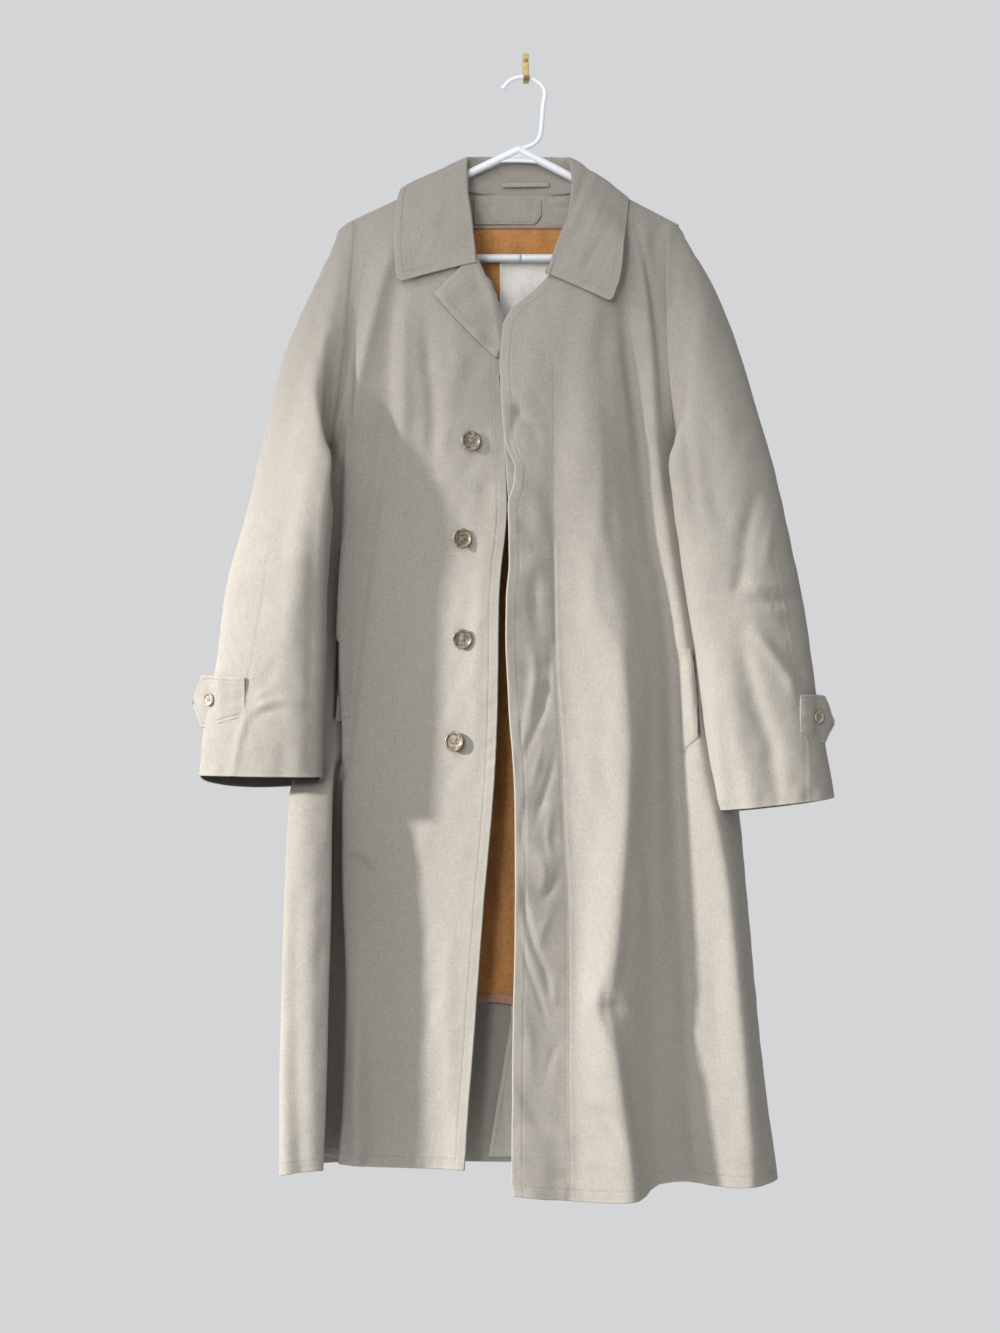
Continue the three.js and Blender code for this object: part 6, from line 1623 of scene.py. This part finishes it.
# ---------------------------------------------------------------- cuff straps and buttons
def disc_button(name, node, centre, n, d, t, hole, pitch, mat, spin, scale_rim=1.0):
    """A turned four-hole button: rounded rim, dished middle, holes through, and crossed thread."""
    Rr = d / 2
    prof = [(0.01, 0.0), (Rr * 0.60, 0.0), (Rr * 0.80, t * 0.08), (Rr * 0.93, t * 0.26), (Rr * 0.99, t * 0.50), (Rr, t * 0.66), (Rr * 0.985, t * 0.82), (Rr * 0.94, t * 0.95),
            (Rr * 0.88, t), (Rr * 0.82, t * 0.97), (Rr * 0.765, t * 0.86), (Rr * 0.73, t * 0.72), (Rr * 0.69, t * 0.62), (Rr * 0.60, t * 0.565), (Rr * 0.3, t * 0.55), (0.01, t * 0.55)]
    V, F = lathe(prof, 44)
    me = bpy.data.meshes.new(name)
    me.from_pydata((V * MM).tolist(), [], F)
    bm = bmesh.new()
    bm.from_mesh(me)
    bmesh.ops.remove_doubles(bm, verts=bm.verts, dist=0.00003)
    bmesh.ops.recalc_face_normals(bm, faces=bm.faces)
    bmesh.ops.holes_fill(bm, edges=bm.edges, sides=50)
    bm.to_mesh(me)
    bm.free()
    ob = bpy.data.objects.new(name, me)
    bpy.context.scene.collection.objects.link(ob)
    cut = []
    for i, j in ((1, 1), (1, -1), (-1, 1), (-1, -1)):
        bpy.ops.mesh.primitive_cylinder_add(vertices=14, radius=hole / 2 * MM, depth=t * 3 * MM, location=(i * pitch / 2 * MM, t / 2 * MM, j * pitch / 2 * MM), rotation=(math.pi / 2, 0, 0))
        c = bpy.context.object
        mod = ob.modifiers.new("hole", "BOOLEAN")
        mod.object, mod.operation, mod.solver = c, "DIFFERENCE", "EXACT"
        cut.append(c)
    dg = bpy.context.evaluated_depsgraph_get()
    done = bpy.data.meshes.new_from_object(ob.evaluated_get(dg))
    ob.modifiers.clear()
    ob.data = done
    for c in cut:
        bpy.data.objects.remove(c)
    q = Vector((0, 1, 0)).rotation_difference(Vector(n)) @ Matrix.Rotation(spin, 3, "Y").to_quaternion()
    ob.data.transform(Matrix.Translation(Vector(centre) * MM) @ q.to_matrix().to_4x4() @ Matrix.Translation((0, -t / 2 * MM, 0)))
    ob.data.polygons.foreach_set("use_smooth", np.ones(len(ob.data.polygons), bool))
    ob.data.materials.clear()
    ob.data.materials.append(mat)
    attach(ob, "root")
    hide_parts(node)
    bev = ob.modifiers.new("edges", "WEIGHTED_NORMAL")
    bev.keep_sharp = False
    # thread: two crossed bars over the holes, and the shank behind
    parts = []
    for (a0, a1) in (((1, 1), (-1, -1)), ((1, -1), (-1, 1))):
        for off in (-0.28, 0.0, 0.28):
            p0, p1 = np.array([a0[0] * pitch / 2, 0, a0[1] * pitch / 2]), np.array([a1[0] * pitch / 2, 0, a1[1] * pitch / 2])
            dd = unit(np.cross(p1 - p0, [0, 1, 0]))
            s = np.linspace(0, 1, 12)[:, None]
            line = p0 * (1 - s) + p1 * s + dd * off
            line[:, 1] = t * 0.60 + 0.50 * np.sin(math.pi * s[:, 0]) ** 0.5 - 0.9 * (np.abs(s[:, 0] - 0.5) > 0.45)
            parts.append(tube(line, 0.24, 6))
    parts.append(tube(np.array([[0, 0.1, 0], [0, -0.6, 0], [0, -1.4, 0], [0, -2.0, 0]]), 1.2, 10))
    V, F = merge(parts)
    V = turn(V - np.array([0, t / 2, 0]), n, centre, spin)
    th = make_mesh(name + "_thread", V, F, M_THREAD)
    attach(th, "root")
    return ob


def node_centre(name):
    lo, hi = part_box(name)
    return np.array((lo + hi) / 2) / MM


for k, (bx, bz, tx, tz, spin) in enumerate([(-63, -442, 0.1, 0.12, 0.3), (-73, -552, 0.3, 0.05, 1.1), (-72, -666, 0.08, -0.12, 0.1), (-80, -783, -0.22, 0.1, 0.7)]):
    hit = drop(TREES["coat_front_left"], bx, bz)
    n = unit(np.array([0, -1.0, 0]) * 0.6 + hit[1] * 0.4 + np.array([tx, 0, tz]))
    disc_button(f"front_button_{k + 1}", f"button_{k + 1}", node_centre(f"button_{k + 1}"), n, 23, 4.2, 2.1, 5.0, M_BUTTON, spin)

# straps: rounded ends, a stitched edge, standing off the sleeve at the point
STRAPS = {
    "left": dict(x=[-316, -332, -345, -357], top=[-710.5, -709.5, -709, -708.5, -708, -735], bottom=[-753, -757, -760.5, -763.5, -766, -741], way=-1),
    "right": dict(x=[307, 313.5, 320, 327], top=[-730, -729.5, -729.5, -729.5, -731, -757], bottom=[-776, -777.5, -779, -781, -783.5, -764], way=1),
}
for side, st in STRAPS.items():
    tree = TREES[f"coat_sleeve_{side}"]
    way = st["way"]
    base = []
    for i in range(4):
        hit = drop(tree, st["x"][i], (st["top"][i] + st["bottom"][i]) / 2)
        base.append(hit[0][1])
    end_x, end_y = st["x"][3], base[3]
    slope = (base[3] - base[1]) / (st["x"][3] - st["x"][1])
    xs = st["x"] + [end_x + way * 10, end_x + way * 21]
    ys = [b - o_ for b, o_ in zip(base, (1.3, 2.2, 3.2, 3.4))] + [end_y - 3.4 + 6.0, end_y - 3.4 + 15.2]
    t6 = np.arange(6, dtype=float)
    tt = np.linspace(0, 5, 72)
    xs_, ys_ = cubic(t6, np.array(xs, float), slopes(t6, np.array(xs, float)), tt), cubic(t6, np.array(ys, float), slopes(t6, np.array(ys, float)), tt)
    top = np.interp(tt, t6, st["top"])
    bot = np.interp(tt, t6, st["bottom"])
    m = 40
    q = np.linspace(0, 1, m)[:, None]
    P = np.stack([np.repeat(xs_[None], m, 0), np.repeat(ys_[None], m, 0), top[None] * (1 - q) + bot[None] * q], -1)
    P = respace(P, [0, 0.6, 1.6, 3.0, 3.6, 4.2, 5.4], 50, [0, 0.6, 1.6, 3.0, 3.6, 4.2, 5.4])
    P = respace_down(P, [0, 0.6, 1.6, 3.0, 3.6, 4.2, 5.4], 26, [0, 0.6, 1.6, 3.0, 3.6, 4.2, 5.4])
    N = facing(normals(P), np.array([0, -1.0, 0]))
    D0, D1 = along(P, 0), along(P, 0)[-1][None] - along(P, 0)
    Dr_ = along(P)[:, -1][:, None] - along(P)
    D = np.minimum(np.minimum(D0, D1), Dr_)
    h = -0.4 * np.exp(-((D - 3.6) / 0.7) ** 2) + 0.3 * np.exp(-((D - 6) / 2.2) ** 2) + 0.35 * waves(P[..., 0], P[..., 2], 26, 8, 191)
    P = P + N * h[..., None]
    N = facing(normals(P), np.array([0, -1.0, 0]))
    finish_cloth(f"cuff_strap_cloth_{side}", P, N, 2.2, M_CLOTH, [f"cuff_strap_{side}"], rim=np.exp(-(D / 1.4) ** 2))
    mm_, nn_ = P.shape[:2]
    r0, r1, c1 = 4, mm_ - 5, nn_ - 5
    ring = [(r0, j) for j in range(2, c1)] + [(i, c1) for i in range(r0, r1)] + [(r1, j) for j in range(c1, 1, -1)]
    stitches("st", [P[a, b] for a, b in ring], [N[a, b] for a, b in ring], M_THREAD, step=2.7)
    c = node_centre(f"cuff_button_{side}")
    hit = drop(TREES[f"cuff_strap_cloth_{side}"], c[0], c[2])
    n = hit[1] if hit is not None else np.array([0, -1.0, 0])
    p = (hit[0] if hit is not None else c) + n * 2.0
    disc_button(f"cuff_button_horn_{side}", f"cuff_button_{side}", p, n, 14.5, 3.2, 1.5, 3.3, M_BUTTON_PALE, 0.4)
flush_stitches("stitching_straps", M_THREAD)

# ---------------------------------------------------------------- the hanger
px_, pz_ = PEAK


def flat3(points):
    return np.array([[p[0], HANGER_Y, p[1]] for p in points], float)


mid = lambda a, b: (a + b) / 2
left_arm = flat3([(px_ + 2, pz_), (px_ - 30, pz_ - 15.4), (mid(px_, ARM_L[0]), mid(pz_, ARM_L[1])), (ARM_L[0] + 14, ARM_L[1] + 7.5), (ARM_L[0] - 3, ARM_L[1] - 4), (ARM_L[0] - 9, ARM_L[1] - 14), (ARM_L[0] - 5, BAR_Z + 7), (ARM_L[0] + 8, BAR_Z + 0.8), (ARM_L[0] + 26, BAR_Z), (-100, BAR_Z), (-5, BAR_Z)])
right_arm = flat3([(px_ - 2, pz_), (px_ + 30, pz_ - 16.8), (mid(px_, ARM_R[0]), mid(pz_, ARM_R[1])), (ARM_R[0] - 14, ARM_R[1] + 7.5), (ARM_R[0] + 2, ARM_R[1] - 2.5), (ARM_R[0] + 7, ARM_R[1] - 9), (ARM_R[0] + 4, BAR_Z + 6), (ARM_R[0] - 8, BAR_Z + 0.8), (ARM_R[0] - 26, BAR_Z), (90, BAR_Z), (-7, BAR_Z)])
hook = flat3([(px_ + 1, pz_ - 2), (px_ + 8, pz_ + 1.5), (9.4, -93), (15, -87), (17.6, -78), (19.8, -52), (21.9, -33.5), (16.4, -24), (7, -18.3), (0.6, -16.3), (-9.4, -16.4), (-19, -20.6), (-27, -29.5)])
parts = [tube(catmull(left_arm, 150), TUBE, 20), tube(catmull(right_arm, 150), TUBE, 20)]
hk = catmull(hook, 120)
rad = np.full(120, WIRE + 0.35)
rad[:14] = np.linspace(WIRE + 1.6, WIRE + 0.35, 14)
rad[-4:] = [WIRE + 0.45, WIRE + 0.6, WIRE + 0.5, WIRE + 0.1]
parts.append(tube(hk, rad, 16))
# the moulded web under the neck, with a round bead along its lower rim
web = []
top_l, top_r = np.array([px_ - 33, pz_ - 15.0]), np.array([px_ + 33, pz_ - 16.4])
nw = 40
bx_ = np.linspace(0, 1, nw)
under = (1 - bx_)[:, None] ** 2 * top_l + 2 * (bx_ * (1 - bx_))[:, None] * np.array([px_, pz_ - 12.0]) + bx_[:, None] ** 2 * top_r
over = np.where(bx_[:, None] < 0.5, top_l + (np.array([px_, pz_ + 3.2]) - top_l) * (bx_[:, None] * 2), np.array([px_, pz_ + 3.2]) + (top_r - np.array([px_, pz_ + 3.2])) * (bx_[:, None] * 2 - 1))
for face, yy in ((0, HANGER_Y - 1.6), (1, HANGER_Y + 1.6)):
    pass
Vw, Fw = [], []
for yy in (HANGER_Y - 1.6, HANGER_Y + 1.6):
    for q in (over, under):
        Vw += [[p[0], yy, p[1]] for p in q]
for i in range(nw - 1):
    a, b, c, d = i, nw + i, 2 * nw + i, 3 * nw + i
    Fw += [[a, a + 1, b + 1, b], [c, d, d + 1, c + 1], [b, b + 1, d + 1, d], [a, c, c + 1, a + 1]]
parts.append((np.array(Vw), Fw))
parts.append(tube(np.stack([under[:, 0], np.full(nw, HANGER_Y), under[:, 1]], 1), 2.3, 10))
# parting lines along the tube, front and back of the mould
for arm_ in (left_arm, right_arm):
    c = catmull(arm_, 150)
    t_ = unit(np.gradient(c, axis=0))
    side_ = np.cross(t_, [0, 1, 0])
    for sg in (-1, 1):
        parts.append(tube(c + side_ * sg * TUBE, 0.22, 6))
V, F = merge(parts)
ob = make_mesh("hanger_moulded", V, F, M_HANGER)
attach(ob, "root")
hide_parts("hanger")


# ---------------------------------------------------------------- the wall hook
def rounded_box_strip(path, w, t, r=0.5, taper=None):
    """A strip of metal bent along path in the y, z plane, w wide (x) and t thick, with eased edges."""
    path = np.asarray(path, float)
    T_ = unit(np.gradient(path, axis=0))
    X = np.array([1.0, 0, 0])
    Nn = np.cross(T_, X)
    sec = []
    hw, ht = w / 2, t / 2
    for cx, cy, a0 in ((hw - r, ht - r, 0), (-hw + r, ht - r, 90), (-hw + r, -ht + r, 180), (hw - r, -ht + r, 270)):
        for a_ in np.linspace(a0, a0 + 90, 5):
            sec.append((cx + r * math.cos(math.radians(a_)), cy + r * math.sin(math.radians(a_))))
    sec = np.array(sec)
    ks = np.ones(len(path)) if taper is None else np.asarray(taper)
    V = path[:, None] + X * (sec[None, :, 0:1] * ks[:, None, None]) + Nn[:, None] * sec[None, :, 1:2]
    n = len(sec)
    idx = np.arange(len(path) * n).reshape(-1, n)
    F = quads(idx, True).tolist()
    F.append(idx[0, ::-1].tolist())
    F.append(idx[-1].tolist())
    return V.reshape(-1, 3), F


pw, ph, pt = 7.6, 35.0, 2.2
outline = []
for cx, cz, a0, r_ in ((pw / 2 - 2, -ph / 2 + 2, -90, 2.0), (pw / 2 - 3.4, ph / 2 - 3.8, 0, 3.4)):
    for a_ in np.linspace(a0, a0 + 90, 9):
        outline.append((cx + r_ * math.cos(math.radians(a_)), cz + r_ * math.sin(math.radians(a_))))
outline = outline + [(-x_, z_) for x_, z_ in reversed(outline)]
outline = np.array(outline)
cen = outline.mean(0)
rings = []
for yy, sc in ((0.0, 1.0), (-pt + 0.7, 1.0), (-pt + 0.25, 0.965), (-pt, 0.90)):
    q = cen + (outline - cen) * np.array([sc, 1 - (1 - sc) * pw / ph])
    rings.append(np.stack([q[:, 0], np.full(len(q), yy), q[:, 1]], 1))
V = np.concatenate(rings)
n = len(outline)
idx = np.arange(len(rings) * n).reshape(-1, n)
F = quads(idx, True).tolist() + [idx[0].tolist(), idx[-1, ::-1].tolist()]
jaw = catmull([(0.4, y_, z_) for y_, z_ in ((-1.6, -6.0), (-2.6, -9.5), (-3.4, -13.4), (-7.5, -18), (-15, -20.6), (-22, -20.9), (-27.6, -20.4), (-31.4, -17.4), (-32.4, -13), (-32.5, -9.7))], 70)
tp = np.ones(70)
tp[-10:] = np.linspace(1.0, 0.72, 10)
parts = [(V, F), rounded_box_strip(jaw, 6.4, 2.4, 0.55, tp)]
V, F = merge(parts)
ob = make_mesh("wall_hook_brass", V, F, M_BRASS, smooth=True)
ob.data.polygons.foreach_set("use_smooth", np.ones(len(ob.data.polygons), bool))
wn = ob.modifiers.new("flat faces", "WEIGHTED_NORMAL")
wn.keep_sharp = False
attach(ob, "root")
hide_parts("wall_hook")

c = node_centre("wall_hook_screw")
prof = [(0.01, 0.0), (2.3, 0.0), (2.42, 0.25), (2.3, 0.75), (1.8, 1.2), (1.0, 1.5), (0.01, 1.6)]
V, F = lathe(prof, 32)
me = bpy.data.meshes.new("screw_head")
me.from_pydata((V * MM).tolist(), [], F)
bm = bmesh.new()
bm.from_mesh(me)
bmesh.ops.remove_doubles(bm, verts=bm.verts, dist=0.00003)
bmesh.ops.holes_fill(bm, edges=bm.edges, sides=50)
bmesh.ops.recalc_face_normals(bm, faces=bm.faces)
bm.to_mesh(me)
bm.free()
ob = bpy.data.objects.new("wall_hook_screw_head", me)
bpy.context.scene.collection.objects.link(ob)
bpy.ops.mesh.primitive_cube_add(size=1, location=(0, 1.55 * MM, 0))
slot_tool = bpy.context.object
slot_tool.scale = (8 * MM, 1.1 * MM, 0.7 * MM)
mod = ob.modifiers.new("slot", "BOOLEAN")
mod.object, mod.operation, mod.solver = slot_tool, "DIFFERENCE", "EXACT"
bpy.context.view_layer.update()
done = bpy.data.meshes.new_from_object(ob.evaluated_get(bpy.context.evaluated_depsgraph_get()))
ob.modifiers.clear()
ob.data = done
bpy.data.objects.remove(slot_tool)
q = Vector((0, 1, 0)).rotation_difference(Vector((0, -1, 0)))
ob.data.transform(Matrix.Translation(Vector((0, -2.5, 8.5)) * MM) @ Matrix.Rotation(0.5, 4, "Y") @ q.to_matrix().to_4x4())
ob.data.polygons.foreach_set("use_smooth", np.ones(len(ob.data.polygons), bool))
ob.data.materials.clear()
ob.data.materials.append(M_BRASS)
wn = ob.modifiers.new("flat faces", "WEIGHTED_NORMAL")
wn.keep_sharp = False
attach(ob, "root")
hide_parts("wall_hook_screw")

# ---------------------------------------------------------------- floor, light, camera
scene = bpy.context.scene
scene.view_settings.view_transform = "Standard"
scene.view_settings.look = "None"

me = bpy.data.meshes.new("floor")
s_, z_ = 1.5, -2.0
me.from_pydata([(-s_, -s_, z_), (s_, -s_, z_), (s_, s_, z_), (-s_, s_, z_)], [], [(0, 1, 2, 3)])
floor = bpy.data.objects.new("floor", me)
scene.collection.objects.link(floor)
fm, fnt, fb = nodes_of("floor_pale")
fb.inputs["Base Color"].default_value = (0.78, 0.78, 0.78, 1)
fb.inputs["Roughness"].default_value = 0.9
me.materials.append(fm)

world = bpy.data.worlds.new("studio")
scene.world = world
world.use_nodes = True
bg = world.node_tree.nodes["Background"]
bg.inputs[0].default_value = (0.655, 0.665, 0.68, 1)
# the room is brighter to the left of the coat than to its right; behind the coat it is even
wg = Net(world.node_tree)
toward = wg.node("TexCoord").outputs["Generated"]
sep = wg.node("SeparateXYZ")
wg.link(toward, sep.inputs[0])
side_on = wg.ramp(wg.math("ADD", wg.math("MULTIPLY", sep.outputs[0], 0.5), 0.5), [(0.25, 1.17), (0.85, 0.57)])
behind_it = wg.ramp(sep.outputs[1], [(0.70, 0.0), (0.92, 1.0)])
even = wg.math("SUBTRACT", 1.0, behind_it)
strength = wg.math("ADD", wg.math("MULTIPLY", side_on, even), behind_it)
wg.link(strength, bg.inputs[1])


def aim(ob, target):
    ob.rotation_mode = "QUATERNION"
    ob.rotation_quaternion = (Vector(target) - ob.location).to_track_quat("-Z", "Y")


AZ, EL, DIST = math.radians(68.5), math.radians(19), 8.0
way = Vector((-math.sin(AZ) * math.cos(EL), -math.cos(AZ) * math.cos(EL), math.sin(EL)))
key = bpy.data.lights.new("key", "SPOT")
key.energy = 4700.0
key.color = (1.0, 0.982, 0.945)
key.shadow_soft_size = 0.26
key.spot_size = math.radians(10.9)
key.spot_blend = 0.66
ko = bpy.data.objects.new("key", key)
scene.collection.objects.link(ko)
target = Vector((-0.03, -0.08, -1.07))
ko.location = target + way * DIST
aim(ko, target)

soft = bpy.data.lights.new("soft", "AREA")
soft.energy = 24.0
soft.size = 0.4
soft.color = (0.98, 0.99, 1.0)
so = bpy.data.objects.new("soft", soft)
scene.collection.objects.link(so)
so.location = (-0.75, -2.95, 0.05)
aim(so, (-0.02, -0.05, -0.60))

upper = bpy.data.lights.new("upper", "AREA")
upper.energy = 16.0
upper.size = 1.1
uo = bpy.data.objects.new("upper", upper)
scene.collection.objects.link(uo)
uo.location = (-0.7, -1.9, 0.75)
aim(uo, (0, -0.05, -0.22))

rim_l = bpy.data.lights.new("behind", "AREA")
rim_l.energy = 14.0
rim_l.size = 2.0
ro = bpy.data.objects.new("behind", rim_l)
scene.collection.objects.link(ro)
ro.location = (-1.6, 2.4, 0.6)
aim(ro, (0, 0, -0.6))

cam = bpy.data.cameras.new("camera")
cam.sensor_fit = "AUTO"
cam.sensor_width = 36.0
cam.lens = 18.0 / (666.5 * 1.15 / 3000.0)
co = bpy.data.objects.new("camera", cam)
scene.collection.objects.link(co)
co.location = (EYE[0] * MM, EYE[1] * MM, EYE[2] * MM)
co.rotation_euler = (math.pi / 2, 0, 0)
cam.clip_start, cam.clip_end = 0.05, 50
scene.camera = co

bpy.context.view_layer.update()
